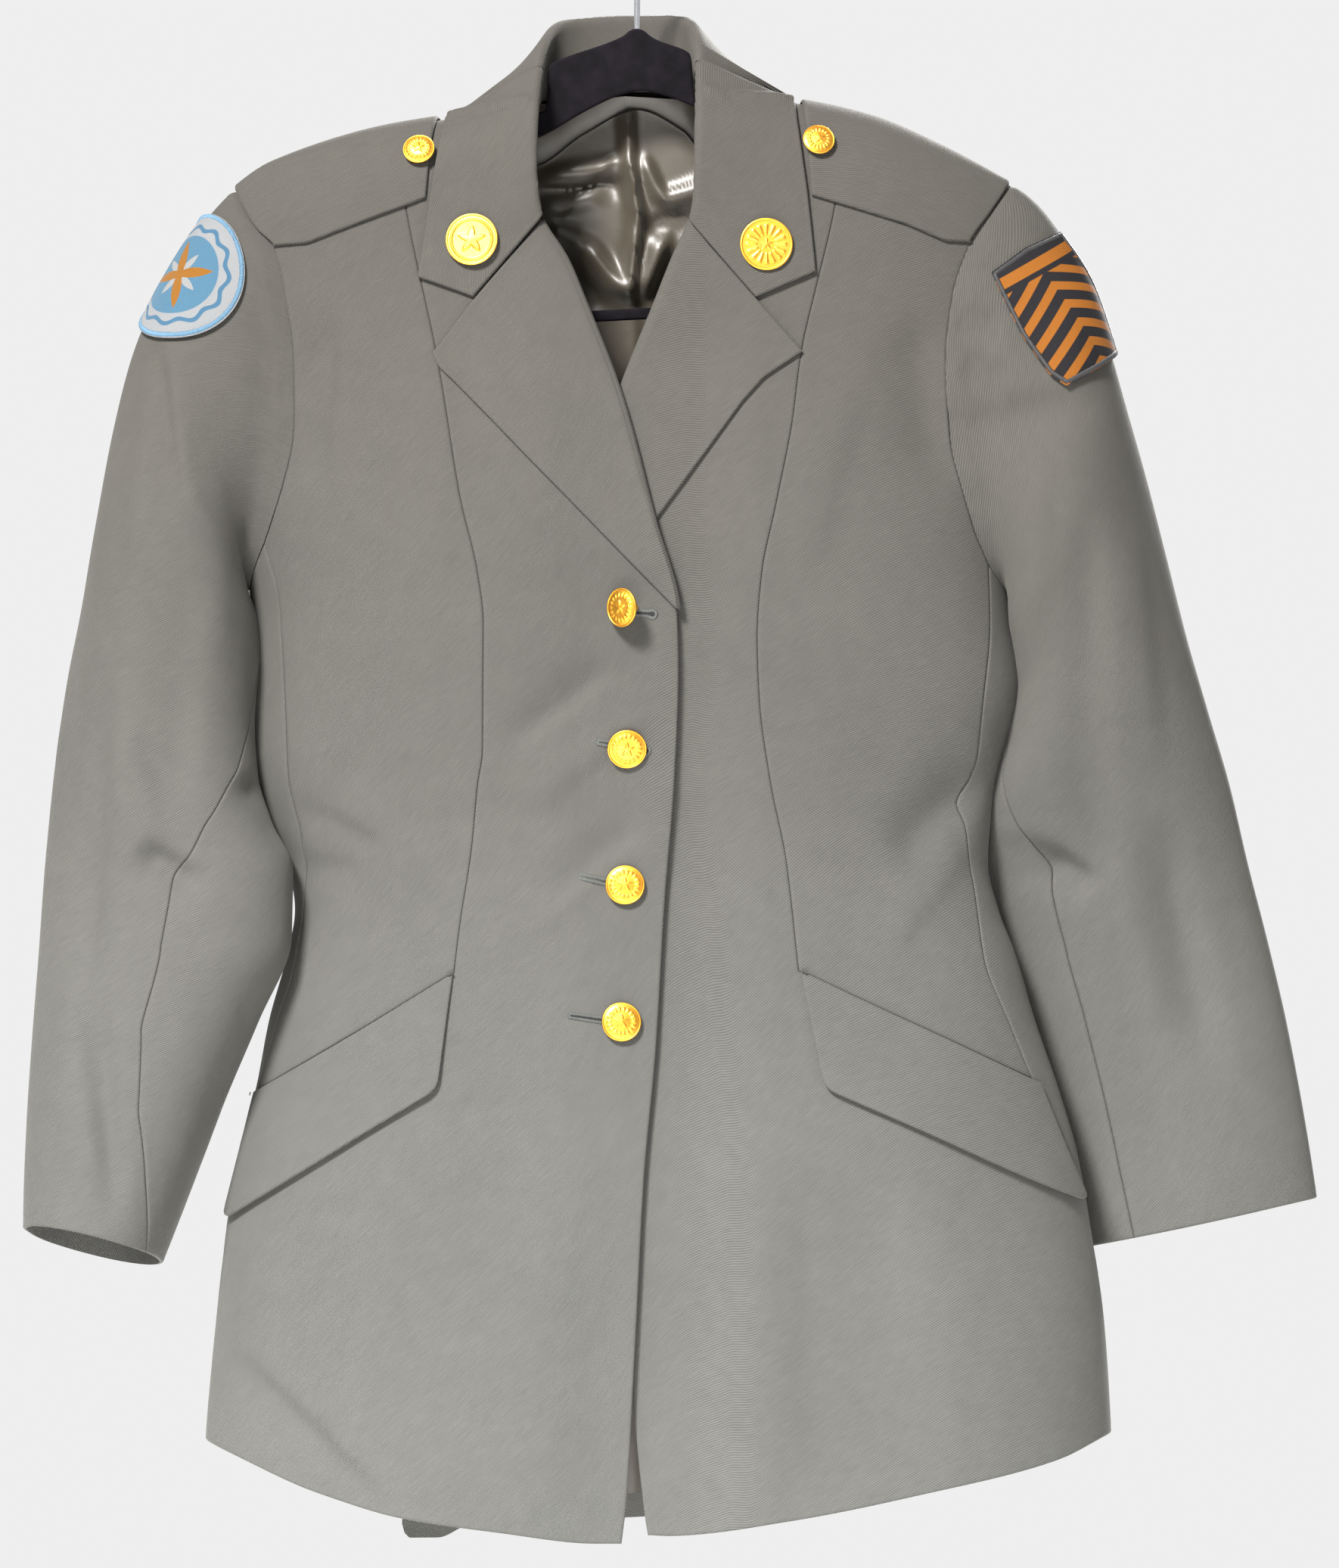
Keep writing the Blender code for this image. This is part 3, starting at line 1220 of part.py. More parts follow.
def main():
    clear_scene()
    right = half_body("right", -1, (RIGHT_FRONT_EDGE, RIGHT_PRINCESS, RIGHT_SIDE_SEAM, RIGHT_BACK_SEAM,
                                    RIGHT_ARMHOLE), 0.0)
    left = half_body("left", 1, (LEFT_FRONT_EDGE, LEFT_PRINCESS, LEFT_SIDE_SEAM, LEFT_BACK_SEAM,
                                 LEFT_ARMHOLE), underlap)
    lining()
    right_sleeve = sleeve("right", -1, RIGHT_SLEEVE, right)
    left_sleeve = sleeve("left", 1, LEFT_SLEEVE, left)
    lapel("right", -1, RIGHT_FRONT_EDGE, RIGHT_LAPEL_TOP, RIGHT_LAPEL_EDGE, 0.0)
    lapel("left", 1, LEFT_FRONT_EDGE, LEFT_LAPEL_TOP, LEFT_LAPEL_EDGE, underlap)
    collar = collar_grid()
    sheet("collar", collar, CLOTH)
    rows, columns = collar.shape[:2]
    faces = [(i * columns + j, (i + 1) * columns + j, (i + 1) * columns + j + 1, i * columns + j + 1)
             for i in range(rows - 1) for j in range(columns - 1)]
    middle = BVHTree.FromPolygons(collar.reshape(-1, 3).tolist(), faces)
    for name, x, z in DISCS:
        disc(name, middle, x, z)
    for name, corners in FLAPS.items():
        flap(name, corners)
    shoulder_loop("right", -1, RIGHT_LOOP, RIGHT_ARMHOLE, -94.0)
    shoulder_loop("left", 1, LEFT_LOOP, LEFT_ARMHOLE, 78.5)
    for name, *sizes in BUTTONS:
        button(name, *sizes)
    badge("round_badge_right", right_sleeve, *ROUND_BADGE, lambda spoke: ROUND_BADGE_RADIUS)
    badge("shield_badge_left", left_sleeve, *SHIELD_BADGE, shield)
    outline("hanger_body", (HANGER_TOP + HANGER_FOOT, HANGER_HOLE + HANGER_BAR), HANGER_HALF_THICKNESS)
    hook("hanger_hook")


main()
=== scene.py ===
"""Looks of a single breasted service coat on a slim hanger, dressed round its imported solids.

Left and right are the wearer's. Tables are in millimetres: across is X, height is Z, depth is Y, a face
is 1 on the front of the coat and -1 on its back. The frame's origin is the inside of the hook's top.
"""
import logging
import math
from dataclasses import dataclass, field
from enum import Enum
from typing import Callable, Optional, Sequence, Union

import bmesh
import bpy
import numpy as np
from mathutils import Matrix, Vector
from mathutils.bvhtree import BVHTree
from mathutils.kdtree import KDTree


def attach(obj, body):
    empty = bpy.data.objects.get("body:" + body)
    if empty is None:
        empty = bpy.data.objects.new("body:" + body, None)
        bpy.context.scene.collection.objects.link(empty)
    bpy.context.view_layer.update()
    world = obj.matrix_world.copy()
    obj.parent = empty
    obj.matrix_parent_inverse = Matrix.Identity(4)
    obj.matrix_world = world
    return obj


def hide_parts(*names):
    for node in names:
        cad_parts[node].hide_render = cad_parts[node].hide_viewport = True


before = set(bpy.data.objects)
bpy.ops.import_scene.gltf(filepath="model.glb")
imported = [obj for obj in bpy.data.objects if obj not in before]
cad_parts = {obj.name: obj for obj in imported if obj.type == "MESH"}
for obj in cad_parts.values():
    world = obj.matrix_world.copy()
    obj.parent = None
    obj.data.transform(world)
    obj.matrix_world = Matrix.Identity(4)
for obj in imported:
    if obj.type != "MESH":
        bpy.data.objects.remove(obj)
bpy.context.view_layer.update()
LOG = logging.getLogger("service_coat")

Array = np.ndarray
Table = Sequence[Sequence[float]]
Value = Union["Socket", float]

MM = 0.001
BODY = "root"

PHOTO_SIZE = (1770, 2072)
PIXEL = 0.365
PHOTO_CENTRE = (15.7, -440.0)
CAMERA_DISTANCE = 6.0
SENSOR = 36.0
FLOOR_HEIGHT = -1.35

CLOTH = 1.6
LINING = 0.5
LAYER_GAP = 0.9
CROWN = 32.0
SIDE_FULLNESS = 0.25
UNDERLAP = 5.2
FOLD_FADE = 0.4
BACK_NECK = (-6.2, -106.4)
ARMPIT_DIP = 17.0
LEFT_COVER = (24.0, 61.0, -196.0, -240.0)
SLEEVE_HEAD = 4.0
HEAD_FULLNESS = 1.6
ARMHOLE_GAP = 0.1
ARMHOLE_TUCK = (3.0, 2.8)
FOLD_DEPTH = 2.2
FOLD_TAPER = 0.42
FOLD_SKEW = 0.45
SAG_DEPTH = 2.2
STUDIO_LIGHT = 5.4

CLOTH_STEP = 3.2
LINE_SAMPLES = 241
EDGE_STEPS = (0.35, 0.9, 1.6, 2.4)
EDGE_CLEAR = 3.4
EDGE_ROLL = 1.5
TURN_UP = 32.0
WEAVE_MAP = "weave"
SHARP_FROM = 50.0
WALL_SHARP_FROM = 70.0
WELD = 0.01
CROWN_SPACING = 1.35
CHART_STEPS = 61
DISC_RADIUS = 12.7
DISC_GAP = 0.3
ROUND_RADIUS = 33.0
LOOP_ENDS = (-94.0, 78.5)
BODY_STEPS = (0.004, 0.4)
SLEEVE_STEPS = (0.06, 0.02)
CHART_SECTIONS = 65
CHART_ANGLES = 181
HEAD_SECTIONS = 2.6
TUCK_SECTIONS = 0.2
WRAP_SECTIONS = (0.0, 10.0, 81)
WRAP_ANGLES = (-120.0, 200.0, 161)
PUCKER_WAVES = ((0.31, 0.83), (0.75, -0.29))
PUCKER_PHASE = 1.3
PUCKER_FADE = 7.0
RIDGE_WIDTH = 0.5
PALE = (0.85, 0.85, 0.84, 1.0)
SKY_STRENGTH = 0.86
# Soft lights in metres and watts.
# Columns: name, place, size, power.
LIGHTS = (
    ("key", (-1.6, -3.2, 2.7), 0.9, 1150.0),
    ("low", (-0.1, -1.6, -1.25), 0.9, 40.0),
    ("behind", (1.2, 3.4, 1.6), 1.2, 520.0),
)


# Body outline as it hangs, a row for each level.
# Columns: height, right side, left side, front depth, back depth.
BODY_RINGS = (
    (-83.8, -197.8, 185.4, 21, 27), (-154.6, -197.8, 185.4, 30, 32), (-224.6, -195.6, 183.2, 44, 40),
    (-280.9, -193.4, 181, 55, 45), (-334.2, -189.1, 179.6, 60, 48), (-361.2, -185.4, 181.8, 60, 47),
    (-392.2, -186.2, 186.2, 57, 46), (-421.4, -186.9, 178.1, 54, 44), (-440, -184, 173, 52, 43),
    (-459, -177.4, 170.5, 50, 42), (-478, -169, 169.4, 50, 42), (-500.6, -165, 174.5, 52, 43),
    (-521.4, -168.6, 182.5, 54, 45), (-553.5, -177.4, 192, 58, 48), (-587.5, -184, 203.7, 62, 52),
    (-617.8, -192.4, 212.4, 66, 55), (-652.1, -197.8, 218.6, 69, 58), (-701, -203.3, 225.6, 72, 60),
    (-753.9, -208, 228.9, 74, 62), (-813.8, -211, 230.7, 75, 62),
)
# Top line of the shoulders and, inside the neck, the line they would meet on.
# Columns: across, height.
SHOULDER_LINE = (
    (-223.4, -187.8), (-201.5, -162.2), (-193.8, -154.6), (-174.8, -141.4), (-125.9, -125.4),
    (-89.8, -119.2), (-66.4, -115.2), (-47.4, -111.5), (-26.3, -96.9), (0, -84.5), (23, -95.4),
    (35, -108.6), (74.8, -111.5), (108.8, -118.4), (146.7, -133.8), (180.7, -152), (197.5, -164.1),
    (221.9, -187.8),
)
# Neck, roll line and front edge of the right front.
# Columns: height, across.
RIGHT_FRONT_EDGE = (
    (-111.5, -47.4), (-127.6, -49.6), (-149.5, -51.1), (-169.2, -46.4), (-190, -34.3), (-211.1, -25.2),
    (-256.8, -7.7), (-311.9, 7.3), (-356.8, 19.3), (-383.4, 20.1), (-440, 17.9), (-496.9, 13.5),
    (-564.8, 9.5), (-629.1, 3.6), (-705, -0.4), (-780.5, -4.7), (-802.1, -7.3),
)
# Neck, roll line and front edge of the left front, which lies under the right.
# Columns: height, across.
LEFT_FRONT_EDGE = (
    (-108.6, 35), (-127.6, 32.1), (-149.5, 30.7), (-170.3, 26.6), (-187.1, 19.3), (-205.7, 11.7),
    (-256.8, -9.1), (-295.5, -17.2), (-356.8, -27), (-383.4, -27), (-440, -26.3), (-496.9, -24.5),
    (-553.9, -20.4), (-591.1, -15.3), (-664.1, -7.3), (-738.2, -1.5), (-791.9, 4), (-798.4, 5.1),
)
# Seam from the right shoulder to the pocket line.
# Columns: height, across.
RIGHT_PRINCESS = (
    (-123.2, -115.7), (-145.8, -113.5), (-165.5, -110.6), (-206.8, -102.2), (-245.1, -93.8),
    (-303.1, -84.3), (-339.3, -75.9), (-363.4, -73), (-423.6, -73.4), (-440, -75.9), (-471.4, -79.2),
    (-505, -84.3), (-530.5, -87.2),
)
# Seam from the left shoulder to the pocket line.
# Columns: height, across.
LEFT_PRINCESS = (
    (-116.6, 100.7), (-138.5, 98.2), (-160.8, 94.9), (-201.7, 85.8), (-230.9, 79.6), (-267, 74.8),
    (-303.1, 67.5), (-339.3, 60.2), (-370.7, 58), (-399.5, 58.8), (-440, 63.9), (-476.1, 71.2),
    (-529.4, 77.7),
)
# Seam from the right armhole to the pocket line.
# Columns: height, across.
RIGHT_SIDE_SEAM = (
    (-324.7, -180.7), (-351.3, -173), (-399.5, -169.4), (-438.2, -167.5), (-454.6, -163.9),
    (-466.6, -161.3), (-488.2, -159.9), (-524.3, -163.9), (-555.7, -173.7), (-587.1, -182.5),
)
# Seam from the left armhole to the pocket line.
# Columns: height, across.
LEFT_SIDE_SEAM = (
    (-334.5, 168.3), (-363.4, 169), (-399.5, 166.4), (-438.2, 162.8), (-452, 158.8), (-471.4, 159.1),
    (-488.2, 161.7), (-524.3, 166.4), (-555.7, 179.6), (-582, 191.3),
)
# Seam from the right armhole to the hem at the back.
# Columns: height, across.
RIGHT_BACK_SEAM = (
    (-313.7, -175.2), (-363.4, -166.8), (-423.6, -154), (-478, -146.7), (-536.4, -142.3), (-645.9, -128.5),
    (-802.8, -113.5),
)
# Seam from the left armhole to the hem at the back.
# Columns: height, across.
LEFT_BACK_SEAM = (
    (-317.4, 167.2), (-363.4, 163.5), (-423.6, 153.3), (-478, 147.1), (-536.4, 143.4), (-645.9, 132.5),
    (-802.8, 117.9),
)
# Right armhole seam.
# Columns: height, across on the front, across on the back.
RIGHT_ARMHOLE = (
    (-154.6, -193.8, -193.8), (-162.2, -188.7, -189.8), (-171.4, -182.5, -186.2), (-183, -173.7, -181.4),
    (-204.2, -168.6, -176.7), (-224.6, -166.8, -174.5), (-258.6, -167.5, -173.7), (-296.2, -171.9, -174.5),
    (-313.7, -177, -175.2), (-324.7, -180.7, -178.8),
)
# Left armhole seam.
# Columns: height, across on the front, across on the back.
LEFT_ARMHOLE = (
    (-152, 180.7, 180.7), (-162.2, 173, 175.2), (-179, 162.4, 168.6), (-205.7, 152.9, 163.5),
    (-231.9, 150, 161.3), (-273.6, 152.2, 162.8), (-317.4, 161.3, 167.2), (-334.5, 168.3, 170.8),
)
# Hem of the fronts and of the sides.
# Columns: across, height.
FRONT_HEM = (
    (-234.3, -748.1), (-207, -756.5), (-156.2, -778.7), (-114.6, -790), (-65.3, -797), (-19, -802.1),
    (-7.3, -802.1), (5.1, -798.4), (14.2, -798.8), (70.8, -791.9), (146.7, -776.9), (203.3, -763.4),
    (228.9, -752.8), (254.8, -744.4),
)
# Hem of the back.
# Columns: across, height.
BACK_HEM = (
    (-234.3, -748.1), (-207, -756.5), (-156.2, -777.3), (-117.5, -792.4), (-112.4, -806.8), (-97.5, -806.8),
    (-81, -800.2), (0, -797), (60, -793), (117.9, -786), (203.3, -761.8), (228.9, -751.7), (254.8, -744.4),
)
# Soft folds of the body, a trough where the height is negative.
# Columns: face, start across, start height, end across, end height, half width, height.
BODY_FOLDS = (
    (1, -15.3, -385.2, -59.1, -418.8, 7, -1.6), (1, -1.5, -459.7, -44.5, -496.9, 7, -1.6),
    (1, 165.7, -436.4, 129.2, -476.5, 11, -3), (1, -201.5, -713.4, -123, -788.9, 12, -2.6),
    (1, -150.4, -215.2, -159.9, -295.5, 14, -2.2), (1, 136.1, -218.8, 145.3, -295.5, 13, -2),
    (1, -44.5, -645.9, -51.8, -788.2, 30, 1.8), (1, 105.1, -631.3, 127, -784.6, 32, -2),
    (1, -135.8, -441.5, -102.9, -492.6, 14, 1.6), (-1, -88.3, -171.4, -73.7, -295.5, 16, -2.4),
    (-1, 86.9, -175, 70.4, -302.8, 16, -2.2), (-1, -51.8, -492.6, -102.9, -609.4, 18, 2.2),
    (-1, 57.7, -485.3, 97.8, -602.1, 20, -2), (-1, -132.1, -437.8, -70.1, -474.3, 11, -2.2),
    (-1, 127, -434.2, 79.6, -467, 12, -2), (-1, -81, -631.3, -88.3, -788.2, 24, -2.6),
    (-1, 75.9, -645.9, 90.5, -784.6, 24, 2.4), (1, 6, -404, -52, -448, 9, 0.9),
    (1, -12, -476, -60, -516, 9, 0.8), (1, -160, -452, -122, -470, 6, -1),
    (1, -166, -478, -132, -482, 6, -0.9), (1, 156, -470, 118, -520, 9, 1),
    (1, 100, -250, 76, -340, 13, 0.9), (1, -100, -230, -92, -340, 13, 0.8),
    (1, 60, -620, 64, -780, 22, 0.8), (1, -120, -600, -132, -760, 20, 0.8),
    (-1, -20, -130, -70, -190, 10, -0.9), (-1, 16, -130, 66, -200, 10, -0.8),
)
# Right sleeve from the armhole to the cuff, a row for each section.
# Columns: outer across, outer height, inner across, inner height, centre depth, half depth, front seam,
# back seam, twist.
RIGHT_SLEEVE = (
    (-193.8, -154.6, -196.7, -342.9, 0, 30, 178, 290, 0),
    (-201.5, -162.2, -196, -345.8, 0, 32, 178, 290, 0),
    (-219.7, -184.1, -193.4, -349.5, 0, 37, 178, 290, 0),
    (-234.3, -209.7, -191.3, -353.1, 0, 42, 178, 290, 0),
    (-244.5, -237.1, -189.8, -358.2, -1, 46, 178, 290, 0),
    (-252.6, -269.9, -189.1, -365.5, -2, 48, 178, 291, 0),
    (-260.6, -313.7, -189.8, -377.9, -3, 50, 176, 292, 0),
    (-267.9, -356.8, -192.7, -394, -4, 50, 172, 293, 0),
    (-274.5, -390.4, -194.2, -412.3, -5, 49, 164, 294, 0),
    (-279.6, -425, -192.7, -434.9, -7, 48, 146, 295, 0),
    (-283.2, -459.7, -185.4, -459, -10, 46, 118, 296, 0),
    (-285.4, -485.3, -175.2, -482.3, -12, 45, 97, 296, 0),
    (-287.6, -518.1, -175.2, -514.5, -14, 45, 92, 296, 0),
    (-290.5, -557.5, -186.9, -554.6, -16, 44, 91, 296, 0),
    (-293.1, -598.4, -201.1, -597, -19, 43, 101, 296, 1),
    (-294.6, -631.3, -216.1, -635.6, -22, 42, 122, 296, 2.5),
    (-294.9, -647.3, -227.8, -663.4, -24, 41, 143, 296, 4),
)
# Left sleeve from the armhole to the cuff, a row for each section.
# Columns: outer across, outer height, inner across, inner height, centre depth, half depth, front seam,
# back seam, twist.
LEFT_SLEEVE = (
    (180.7, -152, 183.6, -350.2, 0, 30, 178, 290, 0), (189.8, -157.5, 184, -353.1, 0, 32, 178, 290, 0),
    (203.7, -172.1, 184, -356.1, 0, 36, 178, 290, 0), (216.1, -194, 184, -359.7, 0, 40, 178, 290, 0),
    (225.6, -222.5, 184.3, -365.5, 1, 43, 178, 290, 0), (235.1, -255.3, 186.2, -372.8, 2, 44, 177, 291, 0),
    (245.6, -291.8, 189.1, -383.1, 4, 43, 176, 292, 0), (255.5, -330.1, 192.7, -394.7, 6, 41, 174, 293, 0),
    (265.7, -370.3, 194.2, -414.1, 9, 38, 170, 294, 0), (275.9, -405, 189.8, -437.8, 13, 34, 160, 295, 0),
    (286.5, -440, 181.8, -459.7, 18, 31, 142, 296, 0), (295.6, -478, 174.5, -481.6, 23, 29, 125, 296, 0),
    (305.5, -515.9, 177, -518.1, 28, 27, 121, 296, 0), (313.9, -551, 185.4, -554.6, 31, 26, 121, 296, 0),
    (320.5, -583.8, 194.5, -591.1, 34, 25, 121, 296, 0),
    (326.3, -616.7, 203.7, -631.3, 36, 24, 121, 296, 0), (330, -640.8, 211, -665.9, 37, 24, 120, 296, 0),
)
# Soft folds of the sleeves.
# Columns: face, start across, start height, end across, end height, half width, height.
SLEEVE_FOLDS = (
    (1, -235.1, -228.3, -224.1, -303.1, 9, -2.6), (1, -259.9, -390.4, -267.2, -532.7, 13, -3),
    (1, -272.3, -532.7, -259.1, -631.3, 9, 2.2), (1, -238, -470.7, -212.4, -488.9, 8, -2.8),
    (1, -197.8, -437.8, -171.5, -459.7, 7, -2.2), (1, 153.3, -217, 174.5, -221, 6, -2),
    (1, 154.8, -239.2, 178.1, -244.4, 6, -2), (1, 148.9, -266.3, 218.3, -257.5, 9, -2.2),
    (1, 198.2, -470.7, 220.1, -489.6, 8, -3), (1, 214.6, -317.4, 226.3, -499.9, 13, -2.6),
    (1, 254.8, -463.4, 278.1, -572.9, 12, -2.6), (-1, -245.3, -288.2, -256.2, -426.9, 13, -2.4),
    (-1, -252.6, -470.7, -216.1, -499.9, 9, -2.6), (-1, 247.5, -295.5, 262.1, -426.9, 13, -2.6),
    (-1, 218.3, -478, 269.4, -507.2, 10, -2.6), (-1, 276.7, -518.1, 291.3, -609.4, 12, 2.2),
    (1, -185.4, -212.6, -168.3, -235.6, 4.5, -1), (1, -183.6, -241.1, -168.3, -258.2, 4.5, -0.9),
    (1, -244.6, -250, -250, -340, 7, -1.3), (1, -222, -345, -226, -450, 13, -1.7),
    (1, -206, -290, -207, -380, 10, 1.2), (1, -250, -410, -232, -475, 9, 1.2),
    (1, -258, -545, -250, -650, 9, -1.6), (1, 191, -290, 193, -375, 9, 1.2),
    (1, 238, -320, 248, -430, 9, 1.1), (1, 228, -510, 262, -645, 11, -1.4),
    (1, 192, -465, 206, -486, 6, -1.4),
)
# Collar round the neck from the right gorge to the left, a row for each section.
# Columns: seam face, seam across, seam height, fold across, fold depth, fold height, edge face,
# edge across, edge height.
COLLAR_ROWS = (
    (1, -47.9, -166.9, -45.6, -36.5, -167.2, 1, -78.8, -206.9),
    (1, -50.4, -154.6, -47.4, -36, -157.5, 1, -105.5, -197.3),
    (1, -50.7, -138.5, -48.5, -34, -144, 1, -99.3, -157.1),
    (1, -49.3, -125.7, -48.2, -29, -126.8, 1, -94.9, -133.8),
    (1, -47.8, -115.9, -47.1, -17, -104.9, 1, -91.6, -122.4),
    (-1, -46.4, -112.2, -45.3, -3, -88.1, -1, -86.6, -119.4),
    (-1, -41.6, -110.8, -42, 12, -77.2, -1, -73.7, -123.9),
    (-1, -34.3, -108.9, -36.5, 24, -71.3, -1, -55.5, -123.2),
    (-1, -20.4, -107.5, -22.6, 33, -68.8, -1, -29.9, -119.5),
    (-1, -2.6, -106.4, -5.1, 36, -67.7, -1, -2.6, -117.3),
    (-1, 16.1, -106.8, 13.9, 33, -67.7, -1, 26.6, -118.1),
    (-1, 25.6, -107.5, 24.1, 24, -69.9, -1, 52.2, -119.5),
    (-1, 31, -108.2, 27.7, 12, -75, -1, 67.2, -117.3),
    (-1, 34.3, -108.9, 28.8, -3, -84.5, -1, 74.1, -111.6),
    (1, 33.9, -115.9, 28.8, -17, -103.5, 1, 75.8, -115.4),
    (1, 32.9, -125.7, 28.5, -29, -123.9, 1, 77.7, -129), (1, 31.8, -138.5, 28.1, -34, -144, 1, 81, -153.8),
    (1, 30.7, -154.6, 27.7, -36, -157.5, 1, 85.4, -194.7),
    (1, 27.7, -168.4, 25.6, -36.5, -169.2, 1, 56.9, -207.1),
)
# Gorge and notch of the right lapel.
# Columns: across, height.
RIGHT_LAPEL_TOP = (
    (-46.7, -170.3), (-80.3, -209.7), (-98.2, -234.1),
)
# Free edge of the right lapel.
# Columns: across, height.
RIGHT_LAPEL_EDGE = (
    (-98.2, -234.1), (-94.9, -240.7), (-68.3, -267), (-18.6, -318.1), (18.6, -356.1),
)
# Gorge and notch of the left lapel.
# Columns: across, height.
LEFT_LAPEL_TOP = (
    (27.4, -171), (58.8, -208.6), (79.9, -233),
)
# Free edge of the left lapel.
# Columns: across, height.
LEFT_LAPEL_EDGE = (
    (79.9, -233), (61.3, -245.5), (50.4, -257.5), (10.2, -311.9), (-24.1, -356.1),
)
# Lower edge of the right shoulder loop.
# Columns: across, height.
RIGHT_LOOP = (
    (-173.7, -181.6), (-157.7, -180.5), (-138.3, -172.8), (-103, -159.4), (-101.5, -158.8),
)
# Lower edge of the left shoulder loop.
# Columns: across, height.
LEFT_LOOP = (
    (162.1, -179.8), (148.9, -179.4), (129.2, -171.4), (84, -157.9), (83.2, -157.5),
)
# Upper outline of the hanger from the right end to the left end.
# Columns: across, height.
HANGER_TOP = (
    (-184.7, -171.4), (-184, -157.5), (-178.8, -148.7), (-168.6, -144.3), (-125.9, -129), (-89.8, -122.8),
    (-66.4, -119.2), (-46, -116.6), (-43.1, -113), (-43.1, -94.7), (-40.1, -91.1), (-8, -80.8),
    (-2.9, -75.7), (2.9, -75.7), (8, -80.8), (24.1, -86), (26.6, -89.6), (27.4, -109.3), (29.9, -114.1),
    (74.8, -115.5), (108.8, -122.4), (146.7, -137.8), (163.5, -146.5), (171.5, -152.4), (175.2, -160.4),
    (175.9, -171.4),
)
# Lower outline of the shoulders of the hanger from right to left.
# Columns: across, height.
HANGER_HOLE = (
    (-178.8, -182.3), (-175.2, -175.7), (-161.3, -170.6), (-124.8, -157.5), (-88.3, -144.3),
    (-47.4, -129.4), (-26.3, -115.9), (-4, -105.3), (10.9, -106.4), (35.8, -116.6), (72.3, -134.9),
    (112.4, -152.4), (152.6, -168.4), (167.2, -175), (170.5, -182.3),
)
# Buttons.
# Columns: name, across, height, radius, stand-off, lean to the side, shank.
BUTTONS = (
    ("front_button_1", -5.8, -355.7, 9.4, 7.6, -40, 8), ("front_button_2", -4.7, -422.8, 9.4, 1.2, 0, 0.8),
    ("front_button_3", -5.5, -488.5, 9.4, 1.2, 0, 0.8), ("front_button_4", -7.3, -553.9, 9.4, 1, 0, 0.8),
    ("shoulder_button_right", -104, -137.4, 7.7, 3.6, 0, 0.8),
    ("shoulder_button_left", 86.5, -132.7, 7.7, 3.6, 0, 0.8),
)
# Collar discs.
# Columns: name, across, height.
DISCS = (
    ("collar_disc_right", -78.8, -179.4), ("collar_disc_left", 62, -181.6),
)
# Bottom bar of the hanger, its lower side from the left end to the right end.
# Columns: across, height.
HANGER_FOOT = (
    (175.9, -202), (173.7, -205.7), (167.2, -207.9), (10.6, -215.5), (-24.8, -217.4), (-168.6, -225),
    (-178.8, -223.9), (-183.2, -220.3), (-184.7, -215.2),
)
# Bottom bar of the hanger, its upper side from left to right.
# Columns: across, height.
HANGER_BAR = (
    (170.5, -197.6), (167.9, -201.3), (162.8, -202.4), (10.6, -210.1), (-24.8, -211.9), (-167.2, -219.2),
    (-173.7, -218.8), (-177.4, -216.6), (-178.8, -212.2),
)
# Middle of the round patch and how it leans, from the photo.
ROUND_BADGE = (-217.5, -195.4, 0.0)
# Corners of the flaps: inner top, outer top, outer foot, inner foot.
FLAPS = {
    "right": ((-87.2, -530.5), (-183.2, -588.2), (-196.7, -650.2), (-94.5, -586.0)),
    "left": ((78.5, -529.4), (194.2, -583.8), (215.3, -641.5), (89.4, -586.0)),
}


# Slight unevenness of the hanging cloth, as waves.
# Columns: wave across, wave up, phase, height.
SAG_WAVES = (
    (21, 60, 0.4, 0.28), (-34, 38, 1.9, 0.3), (13, -90, 2.7, 0.16), (55, 24, 0.9, 0.2),
)
# Folds of the back lining, as it stands inward.
# Columns: face, start across, start height, end across, end height, half width, height.
LINING_FOLDS = (
    (1, -4, -112, -3, -140, 3.2, 2.6), (1, -3, -136, 1.5, -166, 3.4, 3.4),
    (1, 1.5, -162, -4, -205, 3.8, 3.4), (1, -46, -146, -6, -138, 4.6, 2.6),
    (1, -46, -153, -6, -149, 4, -1.8), (1, -48, -160, -14, -152, 4.4, 2.2),
    (1, -44, -169, -24, -177, 5, 2.8), (1, -25, -176, -5, -202, 5.4, 3.4),
    (1, -40, -184, -16, -208, 6, -2.2), (1, 3, -136, 14, -158, 4, 2.2), (1, 12, -156, 34, -150, 5, 2.4),
    (1, 6, -170, 26, -164, 5, -2), (1, 15, -172, 2, -203, 4.4, 2.8), (1, 22, -182, 10, -212, 5, -1.8),
    (1, -30, -205, -34, -300, 8, 2.2), (1, 28, -200, 30, -320, 9, 2), (1, -2, -205, -2, -780, 5, 2.4),
    (1, -60, -240, -66, -640, 12, 1.8), (1, 62, -260, 70, -660, 12, 1.8),
)


# Middle of the shield patch and how it leans, from the photo.
SHIELD_PLACE = (206.0, -211.0, -0.5)
# Outline of the shield patch round its middle.
# Columns: across, up.
SHIELD = (
    (-26, 33), (0, 35), (26, 33), (27, 0), (24.5, -24), (21, -32), (-21, -32), (-24.5, -24), (-27, 0),
)
# Buttonholes of the right front.
# Columns: name, inner end, eyelet end.
BUTTONHOLES = (
    ("1", (-12, -356.5), (7.6, -359)), ("2", (-18.3, -420), (4.4, -424)),
    ("3", (-27.4, -484.2), (-5, -489)), ("4", (-31.8, -550.6), (-8.5, -554)),
)
# Stitches at the ends of the pockets.
# Columns: name, start, end, lift.
BAR_TACKS = (
    ("right_inner", (-87.4, -530.5), (-89.5, -531.6), 2.2),
    ("left_inner", (79, -529.6), (81.2, -530.6), 2.2),
    ("right_outer", (-186.6, -590.5), (-185.4, -589.4), 2.2),
)


